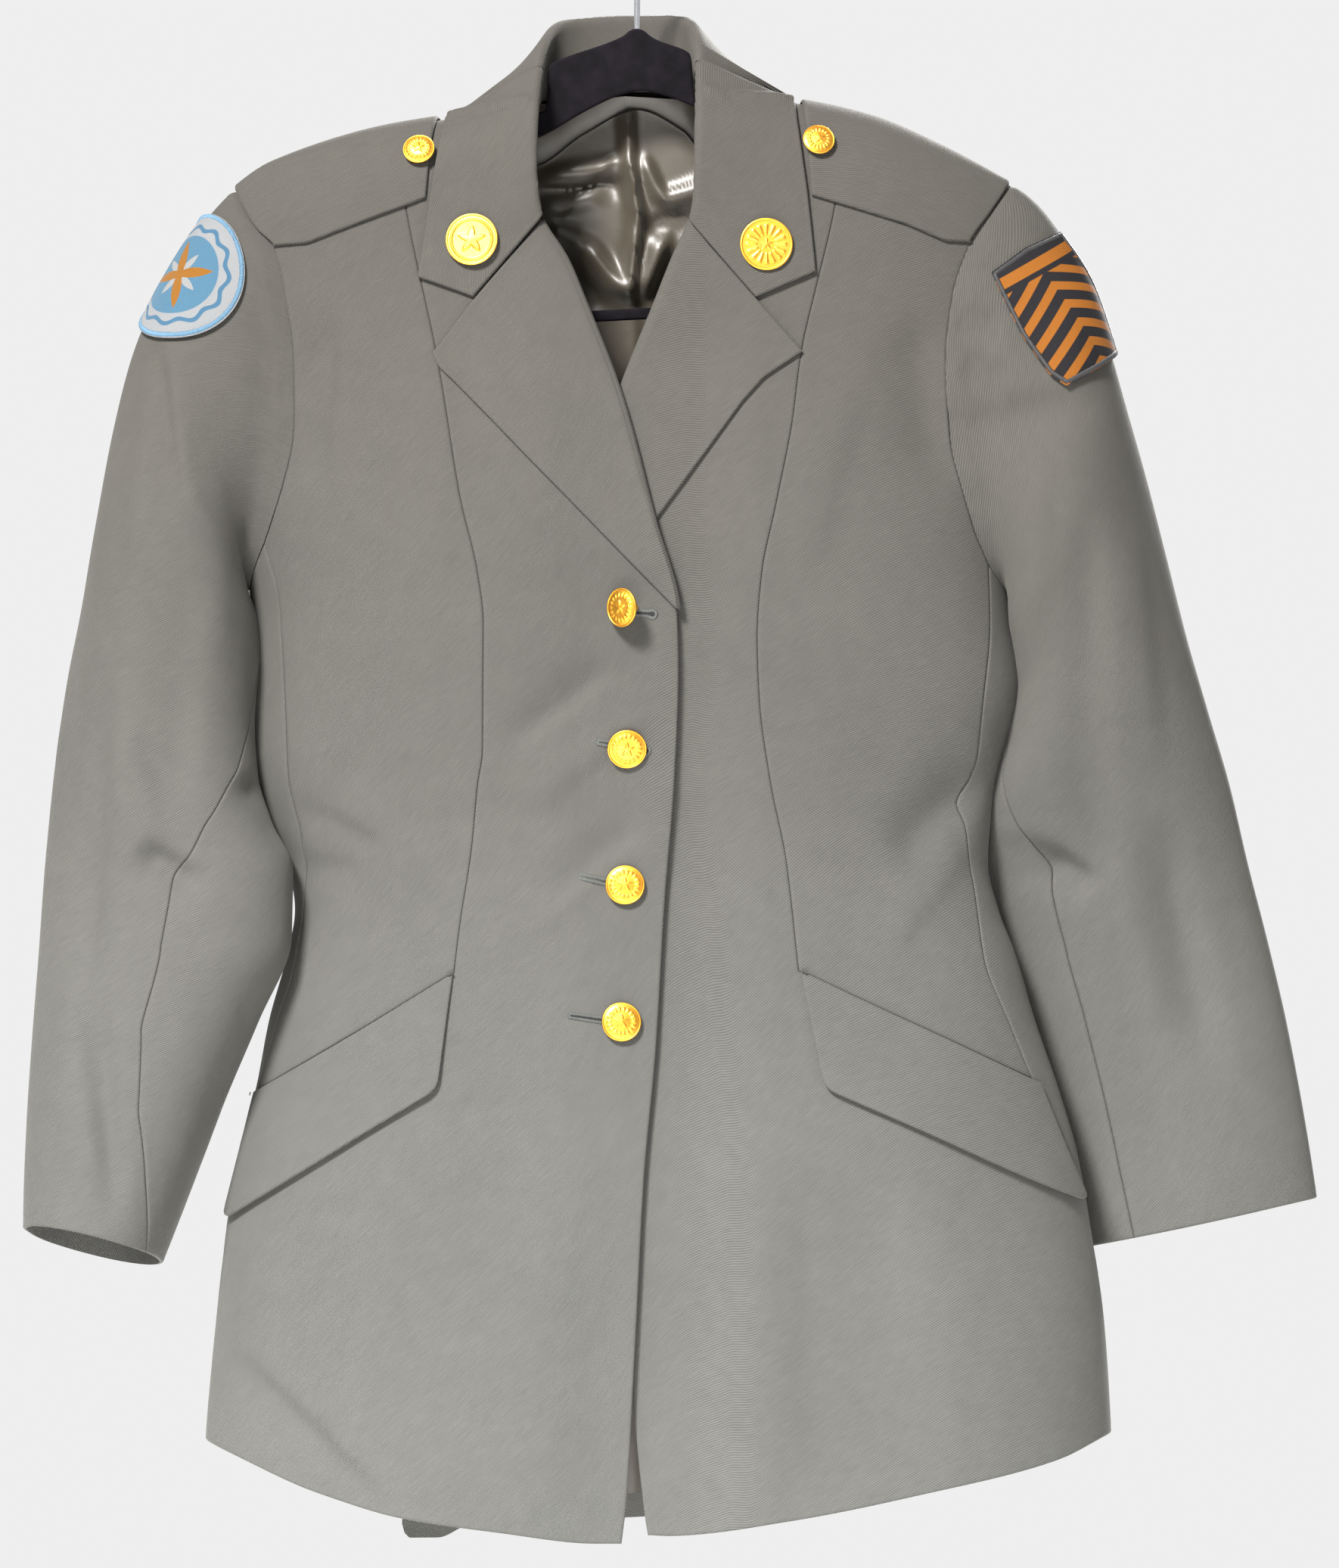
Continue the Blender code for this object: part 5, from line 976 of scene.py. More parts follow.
@dataclass
class Panels:
    """Front, side front, side and back of one half, sharing the lines of their seams."""

    form: BodyForm
    cut: HalfCut
    width: float = 105.0
    upper_length: float = 430.0
    lower_length: float = 270.0
    side_length: float = 470.0
    back_size: tuple[float, float] = (165.0, 690.0)
    split: float = 0.98
    side_turn: float = 98.0
    sewing: Sewing = Sewing(turned_up_below=-700.0)
    armhole: tuple[Array, Array, Array] = field(init=False)

    def upper(self, table: Table, end: float) -> Array:
        """A seam from the shoulder down to a height."""
        arm_low = self.cut.side_seam[0][0]
        heights = self.form.levels(table[0][0], arm_low)
        line = self.form.seam(table, np.concatenate((heights, np.linspace(arm_low, end, LINE_SAMPLES)[1:])))
        line[0, 1] = 0.0
        return line

    def wall(self, part: str, grids: Sequence[Array]) -> bpy.types.Object:
        """One panel, dressed in wool outside and lining inside."""
        wall, _ = cloth(part + "_" + self.cut.name, self.form, grids, self.sewing)
        lapped = part == "front" and self.cut.side > 0
        piece = wall.build(underlap(wall.points) if lapped else 0.0)
        return dress_cloth(piece, wall)

    def build(self) -> None:
        """Makes the four panels and keeps the lines of the armhole."""
        form, cut, side = self.form, self.cut, self.cut.side
        arm_low, back_low = cut.side_seam[0][0], cut.back_seam[0][0]
        pocket_out, pocket_in = cut.side_seam[-1][0], cut.princess[-1][0]
        edge_upper = self.upper(cut.edge, pocket_in)
        princess_upper = self.upper(cut.princess, pocket_in)
        arm_front = form.seam(cut.armhole, form.levels(cut.armhole[0][0], arm_low))
        arm_front[0, 1] = 0.0
        side_upper = form.seam(cut.side_seam, np.linspace(arm_low, pocket_out, LINE_SAMPLES))
        pocket = form.trace([(row[1], row[0]) for row in (cut.princess[-1], cut.side_seam[-1])])
        edge_lower = form.seam(cut.edge, np.linspace(pocket_in, cut.edge[-1][0], LINE_SAMPLES))
        middle_low = form.hang([princess_upper[-1, 0] * self.split], FRONT_HEM)[0]
        middle = straight(princess_upper[-1], middle_low)
        side_low = form.hang([side * math.radians(self.side_turn)], FRONT_HEM)[0]
        side_lower = straight(side_upper[-1], side_low)
        bow = 1 - (1 - np.linspace(0, 1, LINE_SAMPLES)) ** 2
        side_lower[:, 0] = side_upper[-1, 0] + (side_low[0] - side_upper[-1, 0]) * bow
        hem_front = form.hang(np.linspace(edge_lower[-1, 0], middle_low[0], LINE_SAMPLES), FRONT_HEM)
        hem_front[0] = edge_lower[-1]
        hem_side = form.hang(np.linspace(middle_low[0], side_low[0], LINE_SAMPLES), FRONT_HEM)
        top_front = straight(edge_upper[0], princess_upper[0])
        top_side = straight(princess_upper[0], arm_front[0])
        cross = straight(edge_upper[-1], princess_upper[-1])

        upper_rows, lower_rows, columns = (spread(self.upper_length), spread(self.lower_length),
                                           spread(self.width))
        self.wall("front", (
            patch(top_front, cross, edge_upper, princess_upper, columns, upper_rows),
            patch(cross, hem_front, edge_lower, middle, columns, lower_rows),
            patch(pocket, hem_side, middle, side_lower, columns, lower_rows)))
        outer_edge = joined(arm_front, side_upper)
        self.wall("side_front", (patch(top_side, pocket, princess_upper, outer_edge, columns, upper_rows),))

        heights = np.linspace(back_low, follow(FRONT_HEM, cut.back_seam[-1][1]), 2 * LINE_SAMPLES - 1)
        back_line = form.seam(cut.back_seam, heights, -1, side)
        back_line[-1] = form.hang(back_line[-1:, 0], FRONT_HEM)[0]
        side_line = joined(side_upper, side_lower)
        armpit = straight(side_line[0], back_line[0])
        armpit[:, 1] += ARMPIT_DIP * np.sin(np.linspace(0, math.pi, LINE_SAMPLES))
        hem = form.hang(np.linspace(side_line[-1, 0], back_line[-1, 0], LINE_SAMPLES), FRONT_HEM)
        self.wall("side", (patch(armpit, hem, side_line, back_line, columns, spread(self.side_length)),))

        arm_back = form.seam(cut.armhole, form.levels(cut.armhole[0][0], back_low), -1, side, 2)
        arm_back[0] = (side * math.pi - arm_front[0, 0], 0.0)
        longer = straight(back_line[-1], form.hang(back_line[-1:, 0], BACK_HEM)[0], 21)
        flank = joined(arm_back, back_line, longer)
        neck = form.trace([(cut.edge[0][1], cut.edge[0][0]), BACK_NECK], LINE_SAMPLES, -1, side)
        neck[0] = (side * math.pi - edge_upper[0, 0], 0.0)
        over = joined(top_front, top_side)[::-1]
        top = joined(np.stack((side * math.pi - over[:, 0], over[:, 1]), -1), neck)
        heights = np.linspace(BACK_NECK[1], follow(BACK_HEM, BACK_NECK[0]), len(flank))
        centre = form.place(BACK_NECK[0], heights, -1, side)
        hem = form.hang(np.linspace(flank[-1, 0], centre[-1, 0], LINE_SAMPLES), BACK_HEM)
        hem[-1] = centre[-1]
        self.wall("back", (patch(top, hem, flank, centre, *map(spread, self.back_size)),))
        self.armhole = (arm_front, armpit, arm_back)


@dataclass
class Sleeve:
    """Top sleeve and under sleeve of one arm."""

    name: str
    form: SleeveForm
    length: float = 500.0
    widths: tuple[float, float] = (185.0, 120.0)
    tuck: tuple[float, ...] = (-0.2, -0.1, 0.0)
    sewing: Sewing = Sewing(turned_up_below=-600.0, pucker=0.14)

    def build(self) -> None:
        """Makes both pieces of the sleeve."""
        last = len(self.form.table) - 1
        sections = np.concatenate((self.tuck, last * spread(self.length)[1:]))
        at = np.arange(len(self.form.table))
        front, back = (np.radians(np.interp(sections, at, [row[k] for row in self.form.table]))
                       for k in (6, 7))
        for part, start, end, width in (("top_sleeve_", back - 2 * math.pi, front, self.widths[0]),
                                        ("under_sleeve_", front, back, self.widths[1])):
            share = spread(width)[None, :]
            angle = start[:, None] * (1 - share) + end[:, None] * share
            grid = np.stack((np.broadcast_to(sections[:, None], angle.shape), angle), -1)
            wall, _ = cloth(part + self.name, self.form, (grid,), self.sewing)
            dress_cloth(wall.build(0.0), wall)


@dataclass
class Lapel:
    """A lapel folded out over its front along the roll line."""

    form: BodyForm
    cut: HalfCut
    top: Table
    free_edge: Table
    spring: float = 1.4
    overhang: float = 2.0
    edge_lift: float = 0.6
    roll: float = 6.0
    width: float = 60.0
    step: float = 2.6
    size: tuple[float, float] = (75.0, 200.0)
    sewing: Sewing = Sewing(ridge=0.28, lined=False, held="folded", pucker=0.04)

    def build(self) -> None:
        """Makes the lapel with its soft roll."""
        form, side = self.form, self.cut.side
        head, outer = form.trace(self.top), form.trace(self.free_edge)
        roll = form.seam(self.cut.edge, np.linspace(self.top[0][1], self.free_edge[-1][1], LINE_SAMPLES))
        columns, rows = spread(self.size[0], self.step), spread(self.size[1])
        grid = patch(head, straight(roll[-1], outer[-1]), roll, outer, columns, rows)
        share = np.broadcast_to(columns[None, :, None], grid.shape[:2] + (1,))
        grid = np.concatenate((grid, share), axis=2)
        beyond = []
        for reach in (1.0, 0.8, 0.5, 0.25):
            line = grid[:, :1].copy()
            line[:, :, 0] -= side * reach * self.overhang / form.girth
            line[:, :, 2] = -reach * self.overhang / self.width
            beyond.append(line)
        grids = (np.concatenate(beyond + [grid], axis=1),)
        wall, places = cloth("lapel_" + self.cut.name, form, grids, self.sewing)
        across = places[:, 2]
        sprung = self.spring * (1 - np.clip(across, 0, 1)) ** 2
        sunk = underlap(wall.points) if side > 0 else np.zeros(len(places))
        high = LAYER_GAP + CLOTH + sprung * (1 - np.abs(sunk) / UNDERLAP)
        turn = np.clip(1 - (across * self.width + self.overhang) / self.roll, 0, 1)
        lift = self.edge_lift + (high - self.edge_lift) * np.sqrt(1 - turn ** 2)
        dress_cloth(wall.build(lift + sunk), wall)


@dataclass
class Collar:
    """The collar, its stand and fall in one, folded over round the neck."""

    form: BodyForm
    table: Table = COLLAR_ROWS
    lift: float = 1.6
    fold: float = 2.2
    room: float = 0.8
    foot_gap: float = 2.2
    rows_between: int = 12
    measured_at: int = 30
    end_shares: tuple[float, ...] = (0.0, 0.02, 0.05, 0.09)
    stand_shares: tuple[float, ...] = (0.0, 0.02, 0.06, 0.12, 0.3, 0.5, 0.7, 0.9)
    sewing: Sewing = Sewing(inset=0.0, ridge=0.28, lined=False, held="folded", pucker=0.03)
    surface: BVHTree = field(init=False)

    def section(self, seam: tuple[int, float, float], fold: Array,
                rim: tuple[int, float, float]) -> list[Array]:
        """Points up the stand, over the fold and down the fall at one place round the neck.

        Args:
            seam: Face, across and height of the neck seam.
            fold: Point on top of the fold.
            rim: Face, across and height of the collar's edge.

        Returns:
            Middle points of the cloth.
        """
        foot, normal = self.form.point(seam[1], seam[2], seam[0])
        foot = foot - normal * CLOTH / 2
        edge, normal = self.form.point(rim[1], rim[2], rim[0])
        edge = edge + normal * (self.lift + CLOTH / 2)
        up = unit(fold - (foot + edge) / 2)
        out = edge - foot
        out = unit(out - up * (out @ up))
        foot = foot + unit(fold - foot) * self.foot_gap
        arc = []
        for angle in np.radians(np.linspace(-90, 90, 11)):
            arc.append(fold + self.fold * (math.sin(angle) * out - 1.3 * (1 - math.cos(angle)) * up))
        line = [foot + (arc[0] - foot) * share for share in self.stand_shares] + arc
        reach = np.linalg.norm(edge - arc[-1])
        for share in spread(reach, 2.8)[1:]:
            point = arc[-1] + (edge - arc[-1]) * share
            base, normal = self.form.point(point[0], point[2], 1 if point[1] < 0 else -1)
            short = self.lift + CLOTH / 2 + self.room * (1 - share ** 6) - (point - base) @ normal
            line.append(point + normal * max(short, 0.0))
        return line

    def build(self) -> None:
        """Makes the collar."""
        rows = numbered(self.table)
        count = (len(rows) - 1) * self.rows_between + 1
        at = np.linspace(0, len(rows) - 1, count)
        at = np.concatenate((self.end_shares, at[2:-2], at[-1] - np.array(self.end_shares[::-1])))
        soft = [follow(rows, at, k + 1) for k in range(9)]
        hard = [np.interp(at, np.arange(len(rows)), [row[k + 1] for row in rows]) for k in range(9)]
        lines = []
        for i in range(len(at)):
            faces = [1 if hard[k][i] >= 0 else -1 for k in (0, 6)]
            fold = np.array([soft[k][i] for k in (3, 4, 5)])
            line = self.section((faces[0], soft[1][i], soft[2][i]), fold, (faces[1], hard[7][i], hard[8][i]))
            way = travelled(np.array(line))
            shares = spread(75.0, 1.9) * way[-1]
            lines.append(np.stack([np.interp(shares, way, np.array(line)[:, k]) for k in range(3)], -1))
        grid = np.array(lines)
        normals = unit(np.cross(np.gradient(grid, axis=0), np.gradient(grid, axis=1)))
        round_it, over = travelled(grid[:, self.measured_at]), travelled(grid, 1)
        flat = np.stack((np.broadcast_to(round_it[:, None], over.shape), -over), -1)
        faces = grid_faces(*grid.shape[:2])
        self.surface = BVHTree.FromPolygons(grid.reshape(-1, 3).tolist(), faces.tolist())
        wall = Wall("collar", grid.reshape(-1, 3), normals.reshape(-1, 3), flat.reshape(-1, 2), faces,
                    self.sewing)
        dress_cloth(wall.build(CLOTH / 2), wall)


@dataclass
class PocketFlap:
    """A slanted pocket flap that stands off its front towards its foot."""

    form: BodyForm
    name: str
    corners: Table
    top_lift: float = 1.9
    foot_lift: float = 3.9
    corner: float = 6.0
    sewing: Sewing = Sewing(thickness=1.4, inset=0.0, edge_drop=0.9, ridge=0.12, pucker=0.03, grain=0.1)

    def build(self) -> None:
        """Makes the flap with its softly rounded lower corners."""
        inner_top, outer_top, outer_foot, inner_foot = (np.array(corner) for corner in self.corners)
        inner_down, inner_round = softened(inner_top, inner_foot, outer_foot, self.corner)
        outer_round, outer_down = softened(inner_foot, outer_foot, outer_top, self.corner)
        trace = self.form.trace
        columns, rows = spread(115.0, 2.8), spread(60.0, 2.8)
        grid = patch(trace((inner_top, outer_top)), trace(np.concatenate((inner_round, outer_round))),
                     trace(np.concatenate(([inner_top], inner_down))),
                     trace(np.concatenate(([outer_top], outer_down[::-1]))), columns, rows)
        down = np.broadcast_to(rows[:, None, None], grid.shape[:2] + (1,))
        wall, places = cloth("pocket_flap_" + self.name, self.form, (np.concatenate((grid, down), axis=2),),
                             self.sewing)
        lift = self.top_lift + (self.foot_lift - self.top_lift) * places[:, 2] ** 0.8
        dress_cloth(wall.build(lift), wall)


@dataclass
class ShoulderLoop:
    """Strap over a shoulder, from the armhole seam to under the collar."""

    form: BodyForm
    cut: HalfCut
    table: Table
    collar_x: float
    back: float = -8.0
    margin: float = 1.2
    sewing: Sewing = Sewing(inset=0.0, lined=False, held="laid", pucker=0.03, grain=0.5)

    def build(self) -> None:
        """Makes the strap."""
        form, side = self.form, self.cut.side
        low = form.trace(self.table)
        heights = form.levels(self.cut.armhole[0][0], self.table[0][1])
        outer = form.place(follow(self.cut.armhole, heights, 1) - side * self.margin, heights)
        outer[:, 1] = np.linspace(self.back, low[0, 1], LINE_SAMPLES)
        outer[-1] = low[0]
        inner = straight(form.place([self.collar_x], [-120.0])[0], low[-1])
        inner[:, 1] = np.linspace(self.back, low[-1, 1], LINE_SAMPLES)
        grid = patch(straight(outer[0], inner[0]), low, outer, inner, spread(95.0), spread(60.0))
        wall, _ = cloth("shoulder_loop_" + self.cut.name, form, (grid,), self.sewing)
        dress_cloth(wall.build(LAYER_GAP + CLOTH), wall)


@dataclass
class BackLining:
    """Satin lining hung inside the backs, with its centre pleat and soft folds."""

    form: BodyForm
    reach: float = 0.62
    top: float = 8.0
    short: float = 12.0
    gap: float = 2.6
    folds: Table = LINING_FOLDS
    sewing: Sewing = Sewing(thickness=LINING, edge_drop=0.2, lined=False, pucker=0.0, grain=math.pi / 2)

    def build(self) -> None:
        """Makes the lining."""
        turns = np.linspace(math.pi - self.reach, math.pi + self.reach, LINE_SAMPLES)
        neck = self.form.place([BACK_NECK[0]], [BACK_NECK[1]], -1)[0, 1]
        head = np.stack((turns, np.full(turns.shape, neck + self.top)), -1)
        low = self.form.hang(turns, BACK_HEM)
        low[:, 1] -= self.short
        columns, rows = spread(235.0, 1.6), spread(690.0, 2.4)
        grid = patch(head, low, straight(head[0], low[0]), straight(head[-1], low[-1]), columns, rows)
        wall, _ = cloth("back_lining", self.form, (grid,), self.sewing)
        x, z = wall.points[:, 0], wall.points[:, 2]
        inward = self.gap + fold_height(self.folds, x, z, np.ones(len(x)))
        inward = inward + 0.8 * (1 + np.sin(x / 9.0 + z / 55.0)) * ease((-z - 300.0) / 120.0)
        depth = -(CLOTH + np.maximum(inward, 0.4))
        dress_cloth(wall.build(depth, depth - LINING), wall, LINING_SATIN)


def rounded(mesh: bpy.types.Mesh, joined_within: float = 0.0) -> None:
    """Turns the faces outward and shades the mesh smooth between sharp edges."""
    work = bmesh.new()
    work.from_mesh(mesh)
    if joined_within:
        bmesh.ops.remove_doubles(work, verts=work.verts, dist=joined_within)
    bmesh.ops.recalc_face_normals(work, faces=work.faces)
    work.to_mesh(mesh)
    work.free()
    mesh.polygons.foreach_set("use_smooth", np.ones(len(mesh.polygons), bool))
    mesh.set_sharp_from_angle(angle=math.radians(SHARP_FROM))


def linked(name: str, data: bpy.types.ID) -> bpy.types.Object:
    """A new object in the scene."""
    item = bpy.data.objects.new(name, data)
    bpy.context.scene.collection.objects.link(item)
    return item


def plain_mesh(source: bpy.types.Object, name: str) -> bpy.types.Mesh:
    """The finished mesh of an object in the scene, which is removed."""
    bpy.context.view_layer.update()
    mesh = bpy.data.meshes.new_from_object(source.evaluated_get(bpy.context.evaluated_depsgraph_get()))
    bpy.data.objects.remove(source)
    mesh.name = name
    return mesh


def grid_mesh(name: str, rings: Array, centre: Array, flat: Optional[Array] = None) -> bpy.types.Object:
    """A round mesh from rings of points round a middle point, outer rings last.

    Args:
        name: Name of the piece.
        rings: Points by ring and spoke, from the middle out and round to the underside.
        centre: The middle point on top.
        flat: Flat position of each point for a weave map, or None for no map.

    Returns:
        The piece, closed by a face at its last ring.
    """
    count, spokes = rings.shape[:2]
    points = np.concatenate(([centre], rings.reshape(-1, 3)))
    faces = []
    for j in range(spokes):
        k = (j + 1) % spokes
        faces.append((0, 1 + j, 1 + k))
        for i in range(count - 1):
            a, b = 1 + i * spokes, 1 + (i + 1) * spokes
            faces.append((a + j, b + j, b + k, a + k))
    faces.append(tuple(1 + (count - 1) * spokes + j for j in range(spokes))[::-1])
    mesh = bpy.data.meshes.new(name)
    mesh.from_pydata((points * MM).tolist(), [], faces)
    rounded(mesh)
    if flat is not None:
        every = np.concatenate(([(0.0, 0.0)], flat.reshape(-1, 2))) * MM
        corner = np.array([loop.vertex_index for loop in mesh.loops])
        layer = mesh.uv_layers.new(name=WEAVE_MAP)
        layer.data.foreach_set("uv", every[corner].reshape(-1).astype(np.float32))
    return bpy.data.objects.new(name, mesh)


def facing(aim: Array) -> Array:
    """Rows of across, up and out for something that faces an aim and stands upright."""
    aim = unit(np.asarray(aim, float))
    across = unit(np.cross(np.array((0.0, 0.0, 1.0)), aim))
    return np.array((across, np.cross(aim, across), aim))


class Emblem(Enum):
    """Generic raised work on the gilt pieces."""

    STAR_IN_LEAVES = "star in leaves"
    RAYS = "rays"
    RINGED_STAR = "ringed star"


def emblem_height(emblem: Emblem, share: Array, angle: Array) -> Array:
    """Raised work of an emblem.

    Args:
        emblem: Which emblem.
        share: Distance from the middle, 1 at the rim.
        angle: Angle round the middle, 0 at the top.

    Returns:
        Height from 0 to 1.
    """
    point = np.abs((angle * 5 / (2 * math.pi) + 0.5) % 1.0 - 0.5) * 2
    star_edge = {Emblem.STAR_IN_LEAVES: 0.40, Emblem.RAYS: 0.26, Emblem.RINGED_STAR: 0.58}[emblem]
    edge = star_edge * (0.42 + 0.58 * (1 - point) ** 1.4)
    star = ease((edge - share) / 0.07) * (1 - 0.5 * share / star_edge)
    if emblem is Emblem.STAR_IN_LEAVES:
        leaf = np.abs(np.sin(angle * 9)) * np.exp(-((share - 0.64) / 0.10) ** 2)
        vein = np.exp(-((share - 0.64) / 0.02) ** 2) * 0.3
        return np.maximum(star, 0.75 * leaf - vein) * (share < 0.86)
    if emblem is Emblem.RAYS:
        ray = np.clip(np.cos(angle * 16), 0, 1) * ease((share - 0.32) / 0.1) * ease((0.8 - share) / 0.1)
        return np.maximum(star, 0.6 * ray)
    ring = np.exp(-((share - 0.78) / 0.035) ** 2) * 0.6
    return np.maximum(star, ring)


@dataclass
class GiltPiece:
    """A round gilt piece, domed or flat, with a rim and raised work.

    Attributes:
        name: Name of the piece and of its node.
        centre: Point that it stands on.
        aim: The way that it faces.
        radius: Its radius.
        dome: Height of its middle over its rim's seat.
        rim: Height of the rim bead.
        relief: Height of the raised work.
        emblem: Which raised work.
        shank: How far a shank reaches back, or 0.
        rings: Rings of its face.
        spokes: Points round it.
        seat: Height of its face at the rim.
    """

    name: str
    centre: Array
    aim: Array
    radius: float
    dome: float
    rim: float
    relief: float
    emblem: Emblem
    shank: float = 0.0
    rings: int = 40
    spokes: int = 120
    seat: float = 1.5

    def build(self) -> None:
        """Makes the piece with its rounded back."""
        axes = facing(self.aim)
        shares = np.linspace(0.025, 0.9, self.rings)
        angle = np.linspace(0, 2 * math.pi, self.spokes, endpoint=False)
        rings = []
        for share in shares:
            curve = self.seat + self.dome * (1 - share ** 2)
            height = curve + self.relief * emblem_height(self.emblem, np.full(self.spokes, share), angle)
            rings.append((share, height))
        bead = np.linspace(0, math.pi, 9)
        rings += [(0.95 - 0.05 * math.cos(t), np.full(self.spokes, self.seat + self.rim * math.sin(t)))
                  for t in bead]
        back = [(0.985, 0.9), (0.93, 0.4), (0.86, 0.0), (0.3, -0.05)]
        if self.shank:
            back += [(1.8 / self.radius, -0.1), (1.8 / self.radius, -self.shank), (0.02, -self.shank)]
        rings += [(share, np.full(self.spokes, height)) for share, height in back]
        spoke = np.stack((np.sin(angle), np.cos(angle))) * self.radius
        points = np.array([np.stack((share * spoke[0], share * spoke[1], height), -1)
                           for share, height in rings])
        top = self.centre + axes[2] * (self.seat + self.dome + self.relief)
        piece = grid_mesh(self.name, self.centre + points @ axes, top)
        dress(piece, GILT, self.name)


@dataclass
class Hanger:
    """Slim flocked hanger, its outline cut through above its bar."""

    loops: tuple[Table, ...] = (HANGER_TOP + HANGER_FOOT, HANGER_HOLE + HANGER_BAR)
    half_thickness: float = 2.6
    edge: float = 1.5
    softening: int = 3

    def outline(self, loop: Table) -> Array:
        """The loop with its corners cut down to smooth rounds."""
        points = np.array(loop, float)
        for _ in range(self.softening):
            after = np.roll(points, -1, axis=0)
            cut = (points * 0.75 + after * 0.25, points * 0.25 + after * 0.75)
            points = np.stack(cut, 1).reshape(-1, 2)
        return points

    def build(self) -> None:
        """Makes the hanger's body with rounded edges."""
        curve = bpy.data.curves.new("hanger", "CURVE")
        curve.dimensions = "2D"
        curve.fill_mode = "BOTH"
        curve.extrude = (self.half_thickness - self.edge) * MM
        curve.bevel_depth = self.edge * MM
        curve.bevel_resolution = 3
        curve.offset = -self.edge * MM
        for loop in self.loops:
            outline = self.outline(loop)
            spline = curve.splines.new("POLY")
            spline.points.add(len(outline) - 1)
            for point, (x, z) in zip(spline.points, outline):
                point.co = (x * MM, z * MM, 0.0, 1.0)
            spline.use_cyclic_u = True
        dress(from_curve("hanger_body", curve, Matrix.Rotation(math.pi / 2, 4, "X")), VELVET, "hanger_body")


@dataclass
class Hook:
    """Bright steel hook of the hanger, its inside at the origin."""

    radius: float = 20.0
    wire: float = 1.5
    stem: Table = ((0.0, -77.0), (0.0, -57.0), (1.0, -51.5), (3.8, -46.5), (8.0, -42.4))
    sweep: tuple[float, float] = (-48.0, 196.0)

    def build(self) -> None:
        """Makes the hook from its stem round its bend."""
        centre = self.radius + self.wire
        path = [list(point) for point in self.stem]
        for angle in np.radians(np.linspace(*self.sweep, 21)):
            path.append([centre * math.cos(angle), self.wire - centre + centre * math.sin(angle)])
        curve = bpy.data.curves.new("hook", "CURVE")
        curve.dimensions = "3D"
        curve.bevel_depth = self.wire * MM
        curve.bevel_resolution = 6
        curve.use_fill_caps = True
        spline = curve.splines.new("NURBS")
        spline.points.add(len(path) - 1)
        for point, (x, z) in zip(spline.points, path):
            point.co = (x * MM, 0.0, z * MM, 1.0)
        spline.use_endpoint_u = True
        spline.order_u = 3
        spline.resolution_u = 6
        dress(from_curve("hanger_hook", curve, Matrix.Identity(4)), STEEL, "hanger_hook")


def from_curve(name: str, curve: bpy.types.Curve, place: Matrix) -> bpy.types.Object:
    """A plain closed mesh from a curve, with its place in its mesh."""
    mesh = plain_mesh(linked(name + "_curve", curve), name)
    mesh.transform(place)
    rounded(mesh, WELD * MM)
    return bpy.data.objects.new(name, mesh)


def wrapped_on(form: SleeveForm, centre: Array, offsets: Array, out: Array, up: Array, lean: float,
               radius: float) -> tuple[Array, Array]:
    """Wraps points of a flat patch round a sleeve, as round a tube.

    Args:
        form: The sleeve.
        centre: Point under the patch's middle.
        offsets: Across and up of each point on the flat patch.
        out: Direction out of the tube at the patch's middle.
        up: The tube's direction.
        lean: How far the patch leans from it.
        radius: Radius of the tube.

    Returns:
        Points of the sleeve and its outward directions.
    """
    sections, angles = np.linspace(*WRAP_SECTIONS), np.radians(np.linspace(*WRAP_ANGLES))
    faces = grid_faces(len(sections), len(angles))
    tree = BVHTree.FromPolygons(form.points(*grid_of(sections, angles).T).tolist(), faces.tolist())
    across = np.cross(up, out)
    turned = offsets @ np.array(((math.cos(lean), -math.sin(lean)), (math.sin(lean), math.cos(lean))))
    hits, normals = [], []
    for round_it, along_it in turned:
        ray = out * math.cos(round_it / radius) + across * math.sin(round_it / radius)
        level = centre - out * radius + up * along_it
        hit = tree.ray_cast(Vector(level + ray * 3 * radius), Vector(-ray))[0]
        hits.append(level + ray * radius if hit is None else np.array(hit))
        normals.append(ray)
    return np.array(hits), np.array(normals)


def round_outline(radius: float) -> Callable[[float], float]:
    """Outline of a round patch."""
    return lambda spoke: radius


def shield_outline(corners: Table) -> Callable[[float], float]:
    """Outline of a patch with corners, softened between them."""
    def reach(spoke: float) -> float:
        """Distance from the middle to the edge at an angle from the top."""
        best = 1e9
        aim = (math.sin(spoke), math.cos(spoke))
        for (x0, y0), (x1, y1) in zip(corners, tuple(corners[1:]) + tuple(corners[:1])):
            cross = aim[0] * (y1 - y0) - aim[1] * (x1 - x0)
            if abs(cross) > 1e-9:
                way = (x0 * (y1 - y0) - y0 * (x1 - x0)) / cross
                share = (aim[1] * x0 - aim[0] * y0) / cross
                if way > 0 and -1e-6 <= share <= 1 + 1e-6:
                    best = min(best, way)
        return best
    return reach


